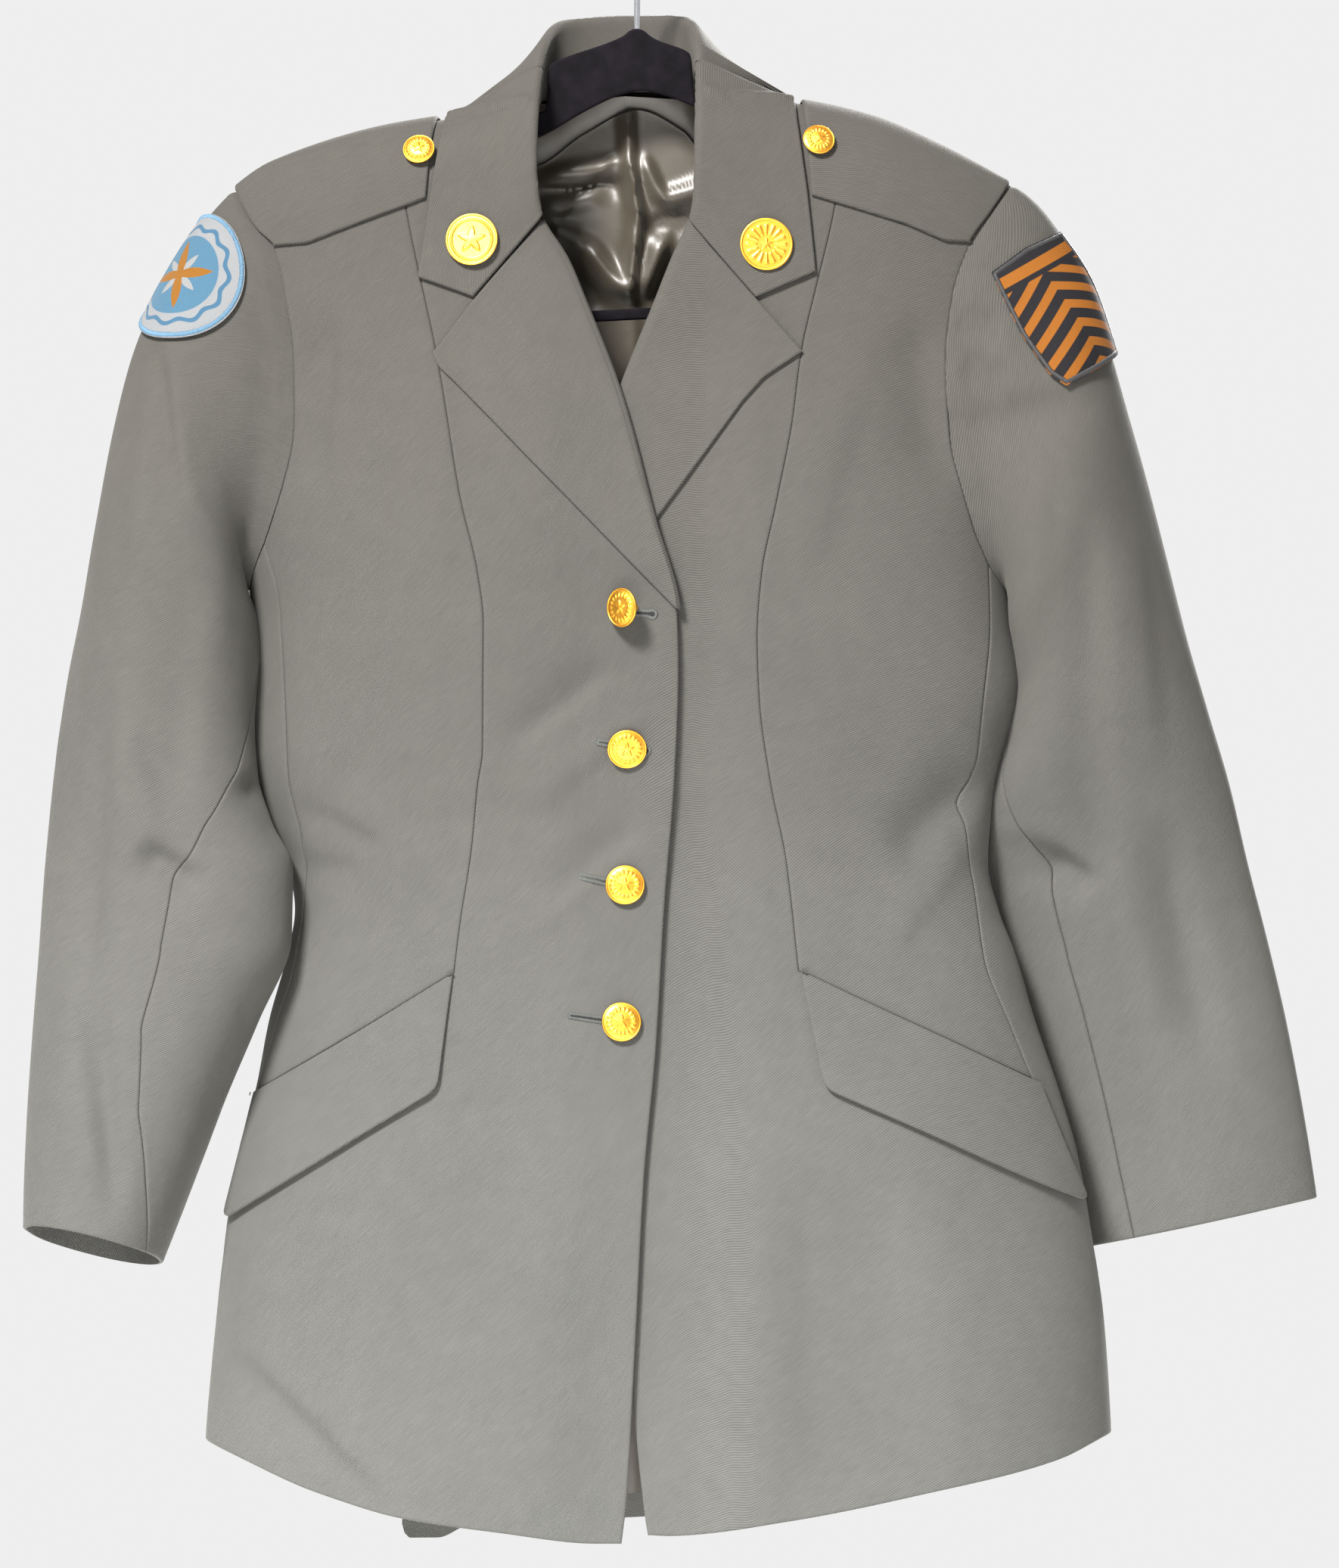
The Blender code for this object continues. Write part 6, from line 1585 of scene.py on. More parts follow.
@dataclass
class Badge:
    """A patch sewn on a sleeve, with a merrowed border."""

    name: str
    form: SleeveForm
    x: float
    z: float
    lean: float
    outline: Callable[[float], float]
    finish: "Finish"
    border: "Finish"
    spokes: int = 160
    steps: int = 26
    lift: float = 1.5
    thickness: float = 1.2
    border_width: float = 2.9
    flatness: float = 26.0
    tube: float = 40.0
    sections: tuple[float, float, int] = (0.5, 8.0, 76)
    angles: tuple[float, float, int] = (5.0, 150.0, 73)
    upright: tuple[float, float] = (6.0, 1.0)

    def build(self) -> None:
        """Makes the patch and its border's stitches."""
        sections, angles = np.linspace(*self.sections), np.radians(np.linspace(*self.angles))
        points, normals = self.form.surface(grid_of(sections, angles))
        nearest = np.argmin(np.hypot(points[:, 0] - self.x, points[:, 2] - self.z))
        near = np.linalg.norm(points - points[nearest], axis=1) < self.flatness
        low, high = self.form.points(np.array(self.upright), np.zeros(2))
        up = unit(high - low)
        normal = normals[near].mean(axis=0)
        normal = unit(normal - up * (up @ normal))
        spokes = np.linspace(0, 2 * math.pi, self.spokes, endpoint=False)
        reach = np.array([self.outline(spoke) for spoke in spokes])
        rims = np.stack((np.sin(spokes), np.cos(spokes)), -1) * reach[:, None]
        shares = np.arange(1, self.steps + 1) / self.steps
        offsets = np.concatenate(((rims[None] * shares[:, None, None]).reshape(-1, 2), np.zeros((1, 2))))
        lean = self.lean - math.atan2(up[0], up[2])
        base, aims = wrapped_on(self.form, points[nearest], offsets, normal, up, lean, self.tube)
        aims = aims[:-1].reshape(self.steps, self.spokes, 3)
        bases = base[:-1].reshape(self.steps, self.spokes, 3)
        tops = list(bases + aims * (self.lift + self.thickness))
        outs, flats = list(aims), list(offsets[:-1].reshape(self.steps, self.spokes, 2))
        under = [base_top - out * self.thickness for base_top, out in zip(tops, outs)]
        rings = np.array(tops + [tops[-1] - outs[-1] * self.thickness * 0.5] + under[::-5])
        flats = np.array(flats + [flats[-1]] + flats[::-5])
        centre = base[-1] + normal * (self.lift + self.thickness)
        piece = grid_mesh(self.name, rings, centre, flats)
        dress(piece, self.finish, self.name)
        seam_share = 1 - self.border_width / 2 / reach.mean()
        inner, outer = tops[-3], tops[-1]
        edge = inner + (outer - inner) * min(max((seam_share - 1) * self.steps / 2 + 1, 0.0), 1.0)
        Stitches("merrow_" + self.name, edge, outs[-1], self.border, spacing=0.62, closed=True,
                 size=(0.42, self.border_width / 2, 0.55), lean=0.25).build()


# Inputs of the stitch tree.
# Columns: name, type.
STITCH_INPUTS = (
    ("Route", "NodeSocketGeometry"), ("Spacing", "NodeSocketFloat"), ("Size", "NodeSocketVector"),
    ("Lean", "NodeSocketFloat"), ("Material", "NodeSocketMaterial"),
)
# Nodes of the stitch tree.
# Columns: name, type, settings, values of sockets.
STITCH_NODES = (
    ("given", "NodeGroupInput", {}, {}), ("result", "NodeGroupOutput", {}, {}),
    ("curve", "GeometryNodeMeshToCurve", {}, {}),
    ("sampled", "GeometryNodeResampleCurve", {"mode": "LENGTH"}, {}),
    ("thread", "GeometryNodeMeshUVSphere", {}, {"Segments": 6, "Rings": 5, "Radius": 1.0}),
    ("placed", "GeometryNodeInstanceOnPoints", {}, {}),
    ("outward", "GeometryNodeInputNamedAttribute", {"data_type": "FLOAT_VECTOR"}, {"Name": "facing_out"}),
    ("tangent", "GeometryNodeInputTangent", {}, {}),
    ("upright", "FunctionNodeAlignRotationToVector", {"axis": "Z"}, {}),
    ("turned", "FunctionNodeAlignRotationToVector", {"axis": "X", "pivot_axis": "Z"}, {}),
    ("leaning", "FunctionNodeRotateRotation", {"rotation_space": "LOCAL"}, {}),
    ("uneven", "FunctionNodeRandomValue", {"data_type": "FLOAT_VECTOR"},
     {"Min": (0.9, 0.86, 0.85), "Max": (1.1, 1.08, 1.1), "Seed": 7}),
    ("sized", "ShaderNodeVectorMath", {"operation": "MULTIPLY"}, {}),
    ("angle", "ShaderNodeCombineXYZ", {}, {}),
    ("realized", "GeometryNodeRealizeInstances", {}, {}), ("smooth", "GeometryNodeSetShadeSmooth", {}, {}),
    ("finish", "GeometryNodeSetMaterial", {}, {}),
)
# Links of the stitch tree.
# Columns: node, output, next node, input.
STITCH_LINKS = (
    ("given", "Route", "curve", "Mesh"), ("curve", "Curve", "sampled", "Curve"),
    ("given", "Spacing", "sampled", "Length"), ("sampled", "Curve", "placed", "Points"),
    ("thread", "Mesh", "placed", "Instance"), ("outward", "Attribute", "upright", "Vector"),
    ("upright", "Rotation", "turned", "Rotation"), ("tangent", "Tangent", "turned", "Vector"),
    ("given", "Lean", "angle", "Z"), ("turned", "Rotation", "leaning", "Rotation"),
    ("angle", "Vector", "leaning", "Rotate By"), ("leaning", "Rotation", "placed", "Rotation"),
    ("given", "Size", "sized", 0), ("uneven", "Value", "sized", 1), ("sized", "Vector", "placed", "Scale"),
    ("placed", "Instances", "realized", "Geometry"), ("realized", "Geometry", "smooth", "Geometry"),
    ("smooth", "Geometry", "finish", "Geometry"), ("given", "Material", "finish", "Material"),
    ("finish", "Geometry", "result", "Stitches"),
)


@dataclass
class Stitches:
    """A row of threads over a path, made by Geometry Nodes.

    Attributes:
        name: Name of the piece.
        path: Points of the path.
        out: Outward direction at each point.
        finish: Finish of the thread.
        spacing: Distance between stitches.
        size: Half sizes of a stitch along, across and out of the cloth.
        closed: Whether the path closes.
        lean: How far each stitch leans from straight across.
    """

    name: str
    path: Array
    out: Array
    finish: "Finish"
    spacing: float
    size: tuple[float, float, float]
    closed: bool = False
    lean: float = 0.0

    def route(self) -> bpy.types.Object:
        """The path as loose edges with an outward direction at each point."""
        count = len(self.path)
        edges = [(i, i + 1) for i in range(count - 1)] + ([(count - 1, 0)] if self.closed else [])
        mesh = bpy.data.meshes.new(self.name)
        mesh.from_pydata((self.path * MM).tolist(), edges, [])
        facing_out = mesh.attributes.new("facing_out", "FLOAT_VECTOR", "POINT")
        facing_out.data.foreach_set("vector", self.out.reshape(-1).astype(np.float32))
        return linked(self.name + "_route", mesh)

    def tree(self) -> tuple[bpy.types.NodeTree, dict[str, str]]:
        """The stitch tree and the identifiers of its named inputs."""
        tree = bpy.data.node_groups.new("stitches", "GeometryNodeTree")
        named = {}
        for name, kind in STITCH_INPUTS:
            named[name] = tree.interface.new_socket(name=name, in_out="INPUT", socket_type=kind).identifier
        tree.interface.new_socket(name="Stitches", in_out="OUTPUT", socket_type="NodeSocketGeometry")
        nodes = {}
        for name, kind, settings, values in STITCH_NODES:
            node = nodes[name] = tree.nodes.new(kind)
            for setting, value in settings.items():
                setattr(node, setting, value)
            for socket, value in values.items():
                node.inputs[socket].default_value = value
        for giver, output, taker, entry in STITCH_LINKS:
            tree.links.new(nodes[giver].outputs[output], nodes[taker].inputs[entry])
        return tree, named

    def build(self) -> None:
        """Makes the stitches as one plain mesh."""
        source = self.route()
        tree, named = self.tree()
        modifier = source.modifiers.new("stitches", "NODES")
        modifier.node_group = tree
        modifier[named["Spacing"]] = self.spacing * MM
        modifier[named["Size"]] = [half * MM for half in self.size]
        modifier[named["Lean"]] = self.lean
        modifier[named["Material"]] = self.finish.material()
        mesh = plain_mesh(source, self.name)
        bpy.data.node_groups.remove(tree)
        piece = linked(self.name, mesh)
        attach(piece, BODY)
        LOG.info("%s: %d stitches' faces", piece.name, len(mesh.polygons))


@dataclass
class Buttonhole:
    """A slit in the right front with its edges sewn round in grey thread."""

    form: BodyForm
    name: str
    start: tuple[float, float]
    end: tuple[float, float]
    eyelet: float = 1.9
    slit: float = 0.95

    def build(self) -> None:
        """Makes the slit, dark with painted shade, and the thread round it."""
        start, end = np.array(self.start), np.array(self.end)
        axis = unit(end - start)
        side = np.array((-axis[1], axis[0]))
        turns = np.radians(np.linspace(-140, 140, 15))
        head = [end + self.eyelet * (math.cos(t) * axis + math.sin(t) * side) for t in turns]
        shank = np.linspace(0, 1, 19)[1:-1, None]
        upper = head[-1] + (start + side * self.slit - head[-1]) * shank
        lower = start - side * self.slit + (head[0] - start + side * self.slit) * shank
        outline = np.concatenate((head, upper, [start + side * self.slit, start - side * self.slit], lower))
        points, normals = self.form.surface(self.form.place(outline[:, 0], outline[:, 1]))
        middle = start + (end - start) * 0.6
        centre, normal = self.form.point(*middle)
        rings = np.array([points * share + centre * (1 - share) + normals * lift
                          for share, lift in ((0.5, 0.16), (1.0, 0.12), (1.0, 0.02), (0.3, 0.0))])
        # A thin near-black disc of painted shade stands for the slit's shadow.
        slit = grid_mesh("slit_" + self.name, rings, centre + normal * 0.16)
        link(slit, SLIT_SHADE)
        Stitches("thread_" + self.name, points + normals * 0.2, normals, BUTTONHOLE_THREAD, spacing=0.46,
                 closed=True, size=(0.23, 0.95, 0.42), lean=0.12).build()


@dataclass
class BarTack:
    """A few short stitches that hold the end of a pocket."""

    form: BodyForm
    name: str
    start: tuple[float, float]
    end: tuple[float, float]
    lift: float

    def build(self) -> None:
        """Makes the stitches."""
        share = np.linspace(0, 1, 7)[:, None]
        outline = np.array(self.start) + (np.array(self.end) - np.array(self.start)) * share
        points, normals = self.form.surface(self.form.place(outline[:, 0], outline[:, 1]))
        Stitches("tack_" + self.name, points + normals * self.lift, normals, SEWING_THREAD, spacing=0.5,
                 size=(0.26, 1.1, 0.34), lean=0.3).build()


class Socket:
    """A number in a shader, which Python's sums turn into Math nodes."""

    def __init__(self, painter: "Painter", output: bpy.types.NodeSocket) -> None:
        self.painter = painter
        self.output = output

    def maths(self, operation: str, *values: Value) -> "Socket":
        """A Math node's result."""
        return self.painter.node("ShaderNodeMath", {"operation": operation}, dict(enumerate(values)))

    def __add__(self, other: Value) -> "Socket":
        """Sum."""
        return self.maths("ADD", self, other)

    def __sub__(self, other: Value) -> "Socket":
        """Difference."""
        return self.maths("SUBTRACT", self, other)

    def __rsub__(self, other: Value) -> "Socket":
        """Difference from a number."""
        return self.maths("SUBTRACT", other, self)

    def __mul__(self, other: Value) -> "Socket":
        """Product."""
        return self.maths("MULTIPLY", self, other)

    def __truediv__(self, other: Value) -> "Socket":
        """Quotient."""
        return self.maths("DIVIDE", self, other)

    __radd__ = __add__
    __rmul__ = __mul__

    def sine(self) -> "Socket":
        """Sine."""
        return self.maths("SINE", self)

    def size(self) -> "Socket":
        """Value without its sign."""
        return self.maths("ABSOLUTE", self)

    def rest(self) -> "Socket":
        """Part after the point."""
        return self.maths("FRACT", self)

    def rise(self, low: float, high: float) -> "Socket":
        """Smooth rise from 0 at low to 1 at high."""
        return self.painter.node("ShaderNodeMapRange", {"interpolation_type": "SMOOTHSTEP"},
                                 {"Value": self, "From Min": low, "From Max": high})


class Painter:
    """Makes the nodes of one material."""

    def __init__(self, name: str) -> None:
        self.material = bpy.data.materials.new(name)
        self.material.use_nodes = True
        self.tree = self.material.node_tree
        self.tree.nodes.clear()

    def node(self, kind: str, settings: Optional[dict] = None, sockets: Optional[dict] = None,
             output: Union[int, str, None] = 0) -> Optional[Socket]:
        """Makes a node.

        Args:
            kind: Type of the node.
            settings: Its settings, such as an operation, which are set first.
            sockets: Values or links of its sockets.
            output: The output that is wanted, None for a node without one.

        Returns:
            That output.
        """
        node = self.tree.nodes.new(kind)
        for name, setting in (settings or {}).items():
            setattr(node, name, setting)
        for name, value in (sockets or {}).items():
            if isinstance(value, Socket):
                self.tree.links.new(value.output, node.inputs[name])
            else:
                node.inputs[name].default_value = value
        return None if output is None else Socket(self, node.outputs[output])

    def weave(self) -> tuple[Socket, Socket, Socket]:
        """Weave map, and its across and up in millimetres."""
        flat = self.node("ShaderNodeUVMap", {"uv_map": WEAVE_MAP})
        return flat, self.split(flat, "X") * 1000.0, self.split(flat, "Y") * 1000.0

    def split(self, vector: Socket, axis: str) -> Socket:
        """One number of a vector."""
        return self.node("ShaderNodeSeparateXYZ", {}, {"Vector": vector}, axis)

    def place(self) -> Socket:
        """Object coordinates."""
        return self.node("ShaderNodeTexCoord", {}, {}, "Object")

    def noise(self, vector: Socket, scale: float, detail: float = 2.0, rough: float = 0.5) -> Socket:
        """Noise from 0 to 1."""
        return self.node("ShaderNodeTexNoise", {}, {"Vector": vector, "Scale": scale, "Detail": detail,
                                                    "Roughness": rough})

    def mix(self, share: Value, first: Union[Socket, tuple], second: Union[Socket, tuple]) -> Socket:
        """Mix of two colours."""
        return self.node("ShaderNodeMix", {"data_type": "RGBA"}, {0: share, 6: first, 7: second}, 2)

    def tinted(self, first: Socket, second: Union[Socket, tuple]) -> Socket:
        """Product of two colours."""
        return self.node("ShaderNodeMix", {"data_type": "RGBA", "blend_type": "MULTIPLY"},
                         {0: 1.0, 6: first, 7: second}, 2)

    def bump(self, height: Socket, distance: float, strength: float = 1.0) -> Socket:
        """Normal from a height in shares of a distance in millimetres."""
        return self.node("ShaderNodeBump", {}, {"Height": height, "Distance": distance * MM,
                                                "Strength": strength})

    def finish(self, sockets: dict) -> bpy.types.Material:
        """Ends the material in a Principled shader with these sockets."""
        shader = self.node("ShaderNodeBsdfPrincipled", {}, sockets)
        self.node("ShaderNodeOutputMaterial", {}, {"Surface": shader}, None)
        return self.material


def colour(red: float, green: float, blue: float) -> tuple[float, float, float, float]:
    """Linear colour of a display colour from 0 to 255."""
    return tuple((part / 255.0) ** 2.2 for part in (red, green, blue)) + (1.0,)


def seen(red: float, green: float, blue: float) -> tuple[float, float, float, float]:
    """Linear colour of a surface that shows a display colour in the studio's light."""
    return tuple((part / 255.0) ** 2.2 / STUDIO_LIGHT for part in (red, green, blue)) + (1.0,)


@dataclass(frozen=True)
class Finish:
    """A finish of the garment."""

    name: str
    slot: str

    def material(self) -> bpy.types.Material:
        """The finish's material, made once."""
        known = bpy.data.materials.get(self.name)
        return known if known else self.paint(Painter(self.name))

    def paint(self, painter: Painter) -> bpy.types.Material:
        """Makes the finish's nodes."""
        raise NotImplementedError


@dataclass(frozen=True)
class Twill(Finish):
    """Worsted wool twill, its steep wales built into the weave map, with painted shade that darkens and
    browns it towards the shoulders.
    """

    dark: tuple = seen(96, 96, 91)
    light: tuple = seen(182, 181, 174)
    # Painted shade: the darker, browner tint that the cloth is multiplied by at the shoulders.
    painted_shoulder_shade: tuple = (0.54, 0.495, 0.455, 1.0)
    slant: float = 38.0
    wale: float = 0.92
    yarn: float = 0.6

    def paint(self, painter: Painter) -> bpy.types.Material:
        """Makes the twill's nodes."""
        flat, u, v = painter.weave()
        angle = math.radians(self.slant)
        drift = painter.noise(flat, 260.0, 2.0) * 1.3
        phase = (v * math.cos(angle) - u * math.sin(angle)) * (2 * math.pi / self.wale) + drift
        wales = phase.sine() * 0.5 + 0.5
        yarns = ((u + v * 0.2) * (2 * math.pi / self.yarn)).sine() * 0.5 + 0.5
        fibre = painter.noise(flat, 2600.0, 3.0, 0.7)
        cloud = painter.noise(painter.place(), 7.0, 3.0, 0.6)
        patch = painter.noise(flat, 75.0, 3.0, 0.6)
        lengthwise = painter.node("ShaderNodeCombineXYZ", {}, {
            "X": (v * math.cos(angle) - u * math.sin(angle)) * 1.15,
            "Y": (u * math.cos(angle) + v * math.sin(angle)) * 0.09})
        streak = painter.noise(lengthwise, 1.0, 2.0)
        height = wales * 0.7 + yarns * 0.2 + fibre * 0.5
        tone = wales * 0.38 + (fibre - 0.5) * 0.6 + (streak - 0.5) * 0.25 + (patch - 0.5) * 0.15
        tone = tone + (cloud - 0.5) * 0.3 + 0.28
        # Painted shade by height: full at the shoulders, none at the hem, with a little random cloud.
        up = painter.split(painter.place(), "Z").rise(-0.86, -0.06)
        cloth = painter.mix(tone, self.dark, self.light)
        shade = painter.mix(up + (cloud - 0.5) * 0.2, (1.0, 1.0, 1.0, 1.0), self.painted_shoulder_shade)
        return painter.finish({
            "Base Color": painter.tinted(cloth, shade),
            "Roughness": 0.88, "Specular IOR Level": 0.25,
            "Sheen Weight": 0.06, "Sheen Roughness": 0.45, "Sheen Tint": colour(205, 200, 188),
            "Normal": painter.bump(height, 0.16, 0.8)})


@dataclass(frozen=True)
class Satin(Finish):
    """Olive satin lining with strong soft highlights."""

    base: tuple = colour(66, 60, 50)
    # Darker colour of the satin, partly painted shade in its crease hollows.
    shade: tuple = colour(40, 36, 30)

    def paint(self, painter: Painter) -> bpy.types.Material:
        """Makes the satin's nodes."""
        flat, u, v = painter.weave()
        thread = (u * (2 * math.pi / 0.34)).sine() * 0.5 + painter.noise(flat, 1500.0, 2.0) * 0.5
        crease = painter.noise(painter.place(), 46.0, 3.0, 0.55)
        height = thread * 0.02 + crease
        # The colour goes darker where the threads and the crease noise sink, as the bump does: the weave's
        # lines, and painted shade in the crease hollows.
        return painter.finish({
            "Base Color": painter.mix(thread * 0.5 + crease * 0.5, self.shade, self.base),
            "Roughness": thread * 0.06 + 0.43, "Metallic": 0.15, "Specular IOR Level": 0.5,
            "Sheen Weight": 0.05,
            "Normal": painter.bump(height, 1.1, 0.5)})


@dataclass(frozen=True)
class Gilt(Finish):
    """Bright gilt brass, its tone and roughness varying at random."""

    def paint(self, painter: Painter) -> bpy.types.Material:
        """Makes the gilt's nodes."""
        spot = painter.place()
        fine, broad = painter.noise(spot, 900.0, 3.0), painter.noise(spot, 160.0, 2.0)
        return painter.finish({
            "Base Color": painter.mix(broad, colour(208, 154, 62), colour(176, 120, 40)),
            "Metallic": 1.0, "Roughness": broad * 0.14 + fine * 0.1 + 0.3,
            "Normal": painter.bump(fine, 0.03, 0.4)})


@dataclass(frozen=True)
class Velvet(Finish):
    """Black flock of the hanger."""

    def paint(self, painter: Painter) -> bpy.types.Material:
        """Makes the flock's nodes."""
        spot = painter.place()
        pile, patches = painter.noise(spot, 2400.0, 3.0, 0.7), painter.noise(spot, 120.0, 3.0)
        tone = pile * 0.5 + patches * 0.5
        return painter.finish({
            "Base Color": painter.mix(tone.rise(0.3, 0.7), colour(7, 5, 8), colour(20, 17, 21)),
            "Roughness": 0.95, "Specular IOR Level": 0.1,
            "Sheen Weight": 0.05, "Sheen Roughness": 0.35, "Sheen Tint": colour(150, 130, 160),
            "Normal": painter.bump(pile * 0.6 + patches, 0.5, 0.9)})


@dataclass(frozen=True)
class Steel(Finish):
    """Bright steel wire."""

    def paint(self, painter: Painter) -> bpy.types.Material:
        """Makes the steel's nodes."""
        spot = painter.place()
        return painter.finish({
            "Base Color": painter.mix(painter.noise(spot, 220.0), colour(196, 197, 200),
                                      colour(170, 171, 175)),
            "Metallic": 1.0, "Roughness": painter.noise(spot, 700.0) * 0.15 + 0.14})


@dataclass(frozen=True)
class Thread(Finish):
    """Twisted sewing thread."""

    tint: tuple = seen(120, 122, 112)

    def paint(self, painter: Painter) -> bpy.types.Material:
        """Makes the thread's nodes."""
        spot = painter.place()
        strand = painter.noise(spot, 5200.0, 2.0)
        shade = tuple(part * 0.55 for part in self.tint[:3]) + (1.0,)
        return painter.finish({
            "Base Color": painter.mix(strand.rise(0.3, 0.65), shade, self.tint),
            "Roughness": 0.6, "Sheen Weight": 0.03,
            "Normal": painter.bump(strand, 0.08, 0.6)})


@dataclass(frozen=True)
class SlitShade(Finish):
    """Painted shade inside a buttonhole's slit, near black."""

    def paint(self, painter: Painter) -> bpy.types.Material:
        """Makes the slit's nodes."""
        tone = painter.noise(painter.place(), 1500.0)
        return painter.finish({"Base Color": painter.mix(tone, seen(10, 10, 10), seen(30, 28, 26)),
                               "Roughness": 0.95})


class Motif(Enum):
    """Generic designs of the two patches."""

    COMPASS = "compass"
    CHEVRONS = "chevrons"


@dataclass(frozen=True)
class Embroidery(Finish):
    """Satin stitched patch with a generic motif."""

    motif: Motif = Motif.COMPASS
    thread: float = 0.42

    def paint(self, painter: Painter) -> bpy.types.Material:
        """Makes the patch's nodes."""
        flat, u, v = painter.weave()
        fuzz = painter.noise(flat, 1800.0, 2.0)
        if self.motif is Motif.COMPASS:
            tint, lines = self.compass(painter, u, v)
        else:
            tint, lines = self.chevrons(painter, u, v)
        stitch = (lines * (2 * math.pi / self.thread)).sine() * 0.5 + 0.5
        shaded = painter.mix(stitch * 0.5 + fuzz * 0.5, seen(60, 60, 66), tint)
        return painter.finish({
            "Base Color": painter.mix(0.45, shaded, tint), "Roughness": 0.75, "Specular IOR Level": 0.15,
            "Sheen Weight": 0.03, "Sheen Roughness": 0.3,
            "Normal": painter.bump(stitch + fuzz * 0.4, 0.22, 0.8)})

    def compass(self, painter: Painter, u: Socket, v: Socket) -> tuple[Socket, Socket]:
        """White ring and gold star on sky blue, and the lines that the threads follow."""
        radius = (u * u + v * v).maths("SQRT", u * u + v * v)
        angle = u.maths("ARCTAN2", u, v)
        point = ((angle * (8 / (2 * math.pi)) + 0.5).rest() - 0.5).size() * 2.0
        long_point = ((angle * (4 / (2 * math.pi)) + 0.5).rest() - 0.5).size() * 2.0
        field = painter.mix((radius - 20.6).rise(-0.2, 0.2), seen(124, 186, 224), seen(236, 238, 240))
        wave = (angle * 12.0).sine() * 1.1 + 24.8
        field = painter.mix(1.0 - (radius - wave).size().rise(0.9, 1.3), field, seen(110, 172, 214))
        star = 1.0 - (radius - (1.0 - point) * 9.0 - 4.0).rise(-0.25, 0.25)
        field = painter.mix(star, field, seen(240, 240, 238))
        tall = 1.0 - (radius - (1.0 - long_point) * (1.0 - long_point) * 15.0 - 3.0).rise(-0.25, 0.25)
        field = painter.mix(tall, field, seen(236, 152, 20))
        return field, u * 0.92 + v * 0.4

    def chevrons(self, painter: Painter, u: Socket, v: Socket) -> tuple[Socket, Socket]:
        """Gold chevrons on black between two gold bars, and the lines that the threads follow."""
        fold = v + u.size() * 0.55
        band = ((fold + 3.0) / 10.5).rest()
        stripe = (band - 0.5).size().rise(0.21, 0.25)
        field = painter.mix(stripe, seen(255, 150, 0), seen(34, 28, 30))
        bar = 1.0 - ((v - 25.5).size()).rise(2.6, 3.0)
        gap = (v - 20.0).rise(-0.3, 0.3)
        field = painter.mix(gap, field, seen(34, 28, 30))
        field = painter.mix(bar, field, seen(255, 150, 0))
        return field, v * 0.97 - u.size() * 0.25


WOOL = Twill("wool_twill", "wool")
LINING_SATIN = Satin("satin_lining", "lining")
GILT = Gilt("gilt_brass", "gilt")
VELVET = Velvet("black_flock", "velvet")
STEEL = Steel("bright_steel", "steel")
SEWING_THREAD = Thread("sewing_thread", "wool", seen(84, 82, 76))
BUTTONHOLE_THREAD = Thread("buttonhole_thread", "wool", seen(150, 154, 146))
BLUE_THREAD = Thread("blue_merrow_thread", "blue_badge", seen(122, 188, 230))
BLACK_THREAD = Thread("black_merrow_thread", "gold_badge", seen(40, 34, 36))
SLIT_SHADE = SlitShade("buttonhole_slit", "wool")
COMPASS_PATCH = Embroidery("compass_embroidery", "blue_badge", Motif.COMPASS)
CHEVRON_PATCH = Embroidery("chevron_embroidery", "gold_badge", Motif.CHEVRONS)


def link(piece: bpy.types.Object, *finishes: Finish) -> None:
    """Puts a piece in the scene with its finishes, riding on the coat."""
    bpy.context.scene.collection.objects.link(piece)
    for finish in finishes:
        piece.data.materials.append(finish.material())
    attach(piece, BODY)


def dress(piece: bpy.types.Object, finish: Finish, node: str,
          inside: Optional[Finish] = None) -> bpy.types.Object:
    """Puts a piece in the scene in place of its node."""
    piece.name = "dressed_" + node
    link(piece, *((finish, inside) if inside else (finish,)))
    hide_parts(node)
    LOG.info("%s: %d faces", piece.name, len(piece.data.polygons))
    return piece


def dress_cloth(piece: bpy.types.Object, wall: "Wall",
                outside: Finish = WOOL) -> bpy.types.Object:
    """Dresses a wall of cloth, with lining inside, and declares its cut."""
    dress(piece, outside, wall.name, LINING_SATIN)
    wall.declare(piece)
    return piece


@dataclass(frozen=True)
class Studio:
    """Pale floor, soft light and a camera straight in front of the coat."""

    centre: tuple[float, float] = PHOTO_CENTRE
    distance: float = CAMERA_DISTANCE

    def light(self, name: str, place: tuple[float, float, float], size: float, power: float) -> None:
        """A square soft light aimed at the coat's middle."""
        lamp = bpy.data.lights.new(name, "AREA")
        lamp.size = size
        lamp.energy = power
        item = linked(name, lamp)
        item.location = place
        aim = Vector((self.centre[0] * MM, 0.0, self.centre[1] * MM)) - item.location
        item.rotation_euler = aim.to_track_quat("-Z", "Y").to_euler()

    def build(self) -> None:
        """Makes the studio."""
        scene = bpy.context.scene
        lens = bpy.data.cameras.new("camera")
        lens.sensor_width = SENSOR
        lens.lens = SENSOR * self.distance / (PHOTO_SIZE[1] * PIXEL * MM)
        lens.clip_end = 50.0
        camera = linked("camera", lens)
        camera.location = (self.centre[0] * MM, -self.distance, self.centre[1] * MM)
        camera.rotation_euler = (math.pi / 2, 0.0, 0.0)
        scene.camera = camera
        scene.view_settings.view_transform = "Standard"
        world = bpy.data.worlds.new("studio")
        world.use_nodes = True
        sky = world.node_tree.nodes["Background"]
        sky.inputs["Color"].default_value = (1.0, 1.0, 1.0, 1.0)
        sky.inputs["Strength"].default_value = SKY_STRENGTH
        scene.world = world
        for name, place, size, power in LIGHTS:
            self.light(name, place, size, power)
        bpy.ops.mesh.primitive_plane_add(size=4.0, location=(0.0, 0.0, FLOOR_HEIGHT))
        floor = bpy.context.object
        floor.name = "floor"
        painter = Painter("pale_floor")
        floor.data.materials.append(painter.finish({"Base Color": PALE, "Roughness": 0.9}))


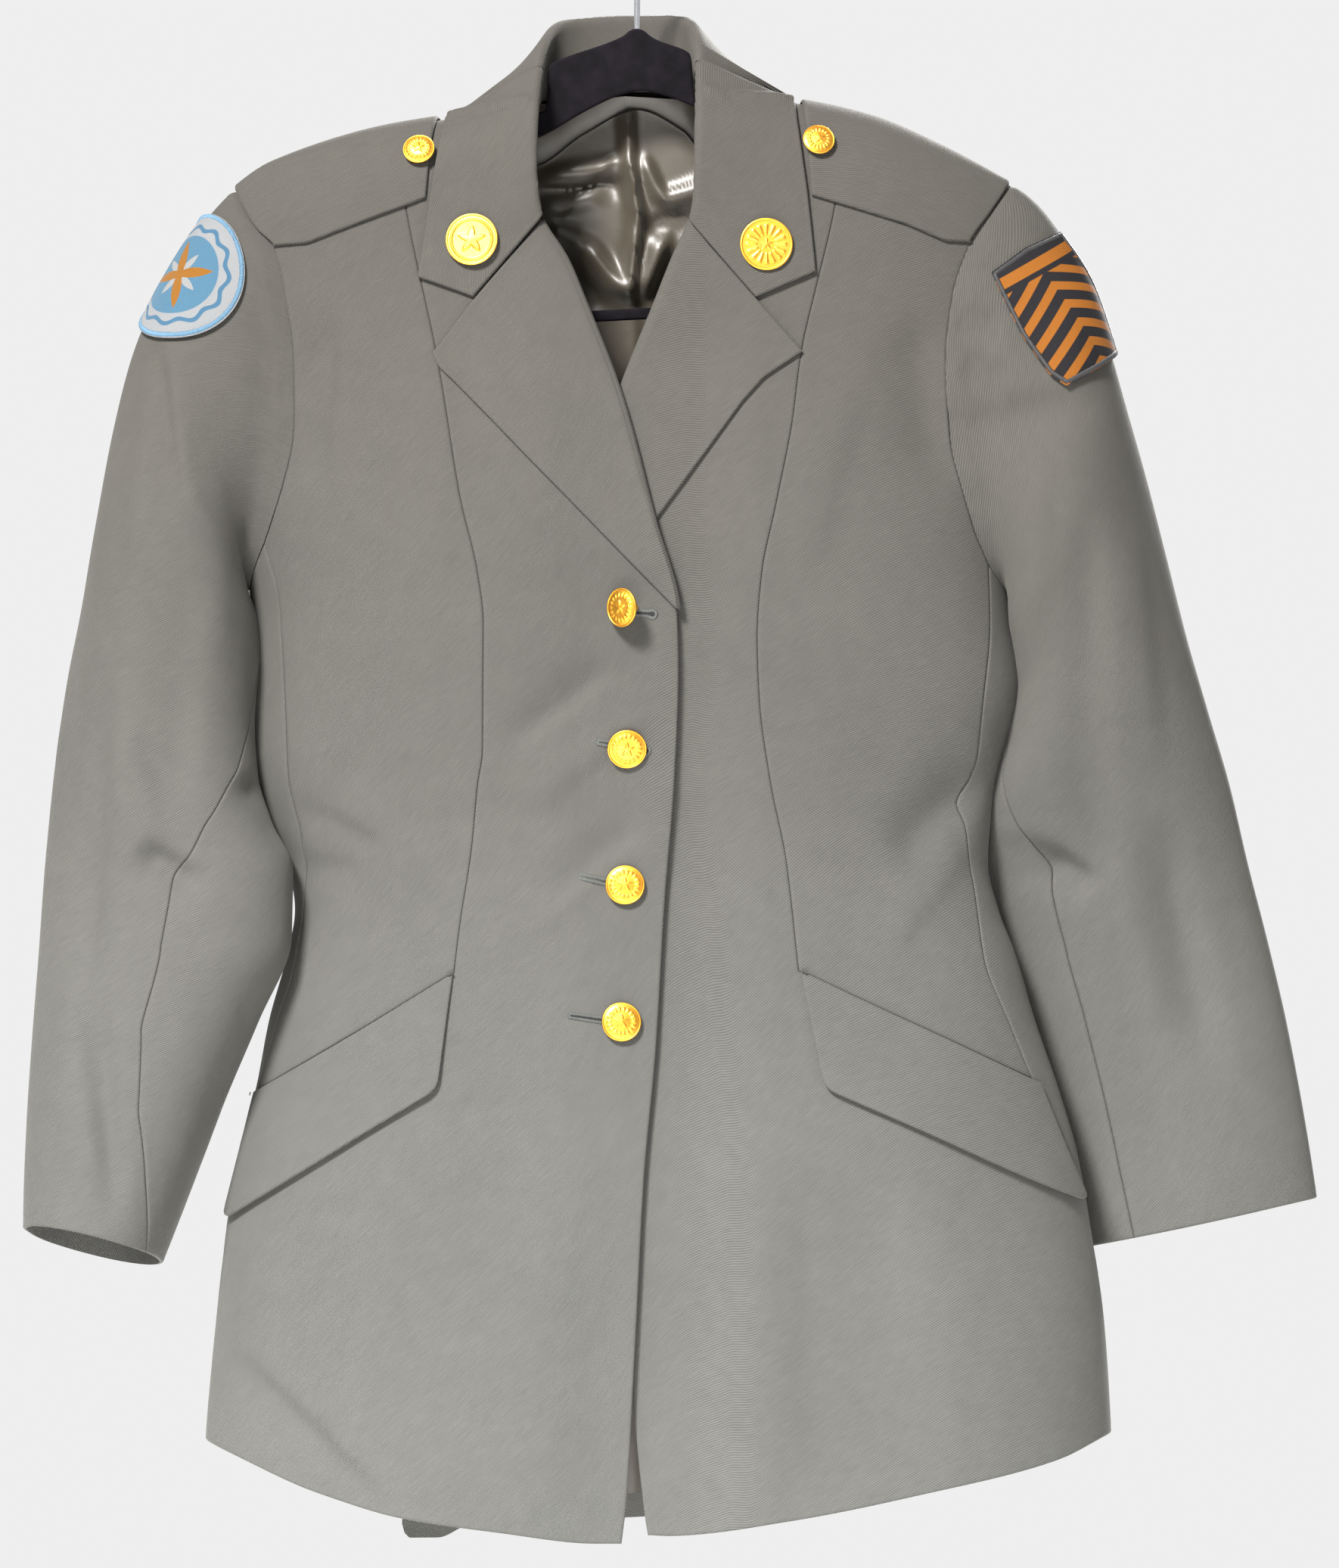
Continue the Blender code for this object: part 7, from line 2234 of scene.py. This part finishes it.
def main() -> None:
    """Builds the coat's pieces in order."""
    logging.basicConfig(level=logging.INFO, format="%(message)s")
    Studio().build()
    body = BodyForm()
    halves = [Panels(body, RIGHT_CUT), Panels(body, LEFT_CUT)]
    for half in halves:
        half.build()
    BackLining(body).build()
    right_arm = SleeveForm(body, -1, RIGHT_SLEEVE, halves[0].armhole, RIGHT_SWING)
    left_arm = SleeveForm(body, 1, LEFT_SLEEVE, halves[1].armhole, LEFT_SWING)
    for name, arm in (("right", right_arm), ("left", left_arm)):
        Sleeve(name, arm).build()
    for cut, top, edge in ((RIGHT_CUT, RIGHT_LAPEL_TOP, RIGHT_LAPEL_EDGE),
                           (LEFT_CUT, LEFT_LAPEL_TOP, LEFT_LAPEL_EDGE)):
        Lapel(body, cut, top, edge).build()
    collar = Collar(body)
    collar.build()
    for name, corners in FLAPS.items():
        PocketFlap(body, name, corners).build()
    for cut, table, end in zip((RIGHT_CUT, LEFT_CUT), (RIGHT_LOOP, LEFT_LOOP), LOOP_ENDS):
        ShoulderLoop(body, cut, table, end).build()
    for name, x, z, radius, lift, lean, shank in BUTTONS:
        point, normal = body.point(x, z)
        aim = np.array(Matrix.Rotation(math.radians(lean), 3, "Z") @ Vector(normal))
        GiltPiece(name, point + normal * lift, aim, radius, dome=1.7, rim=0.55, relief=0.75,
                  emblem=Emblem.STAR_IN_LEAVES, shank=shank).build()
    for (name, x, z), emblem in zip(DISCS, (Emblem.RINGED_STAR, Emblem.RAYS)):
        hit, normal = collar.surface.ray_cast(Vector((x, -300.0, z)), Vector((0.0, 1.0, 0.0)))[:2]
        aim = -normal if normal.y > 0 else normal
        GiltPiece(name, np.array(hit + aim * (CLOTH / 2 + DISC_GAP)), np.array(aim), DISC_RADIUS, dome=0.0,
                  rim=0.4, relief=0.75, emblem=emblem).build()
    Badge("round_badge_right", right_arm, *ROUND_BADGE, round_outline(ROUND_RADIUS), COMPASS_PATCH,
          BLUE_THREAD).build()
    Badge("shield_badge_left", left_arm, *SHIELD_PLACE, shield_outline(SHIELD), CHEVRON_PATCH,
          BLACK_THREAD).build()
    for name, start, end in BUTTONHOLES:
        Buttonhole(body, name, start, end).build()
    for name, start, end, lift in BAR_TACKS:
        BarTack(body, name, start, end, lift).build()
    Hanger().build()
    Hook().build()


if __name__ == "__main__":
    main()
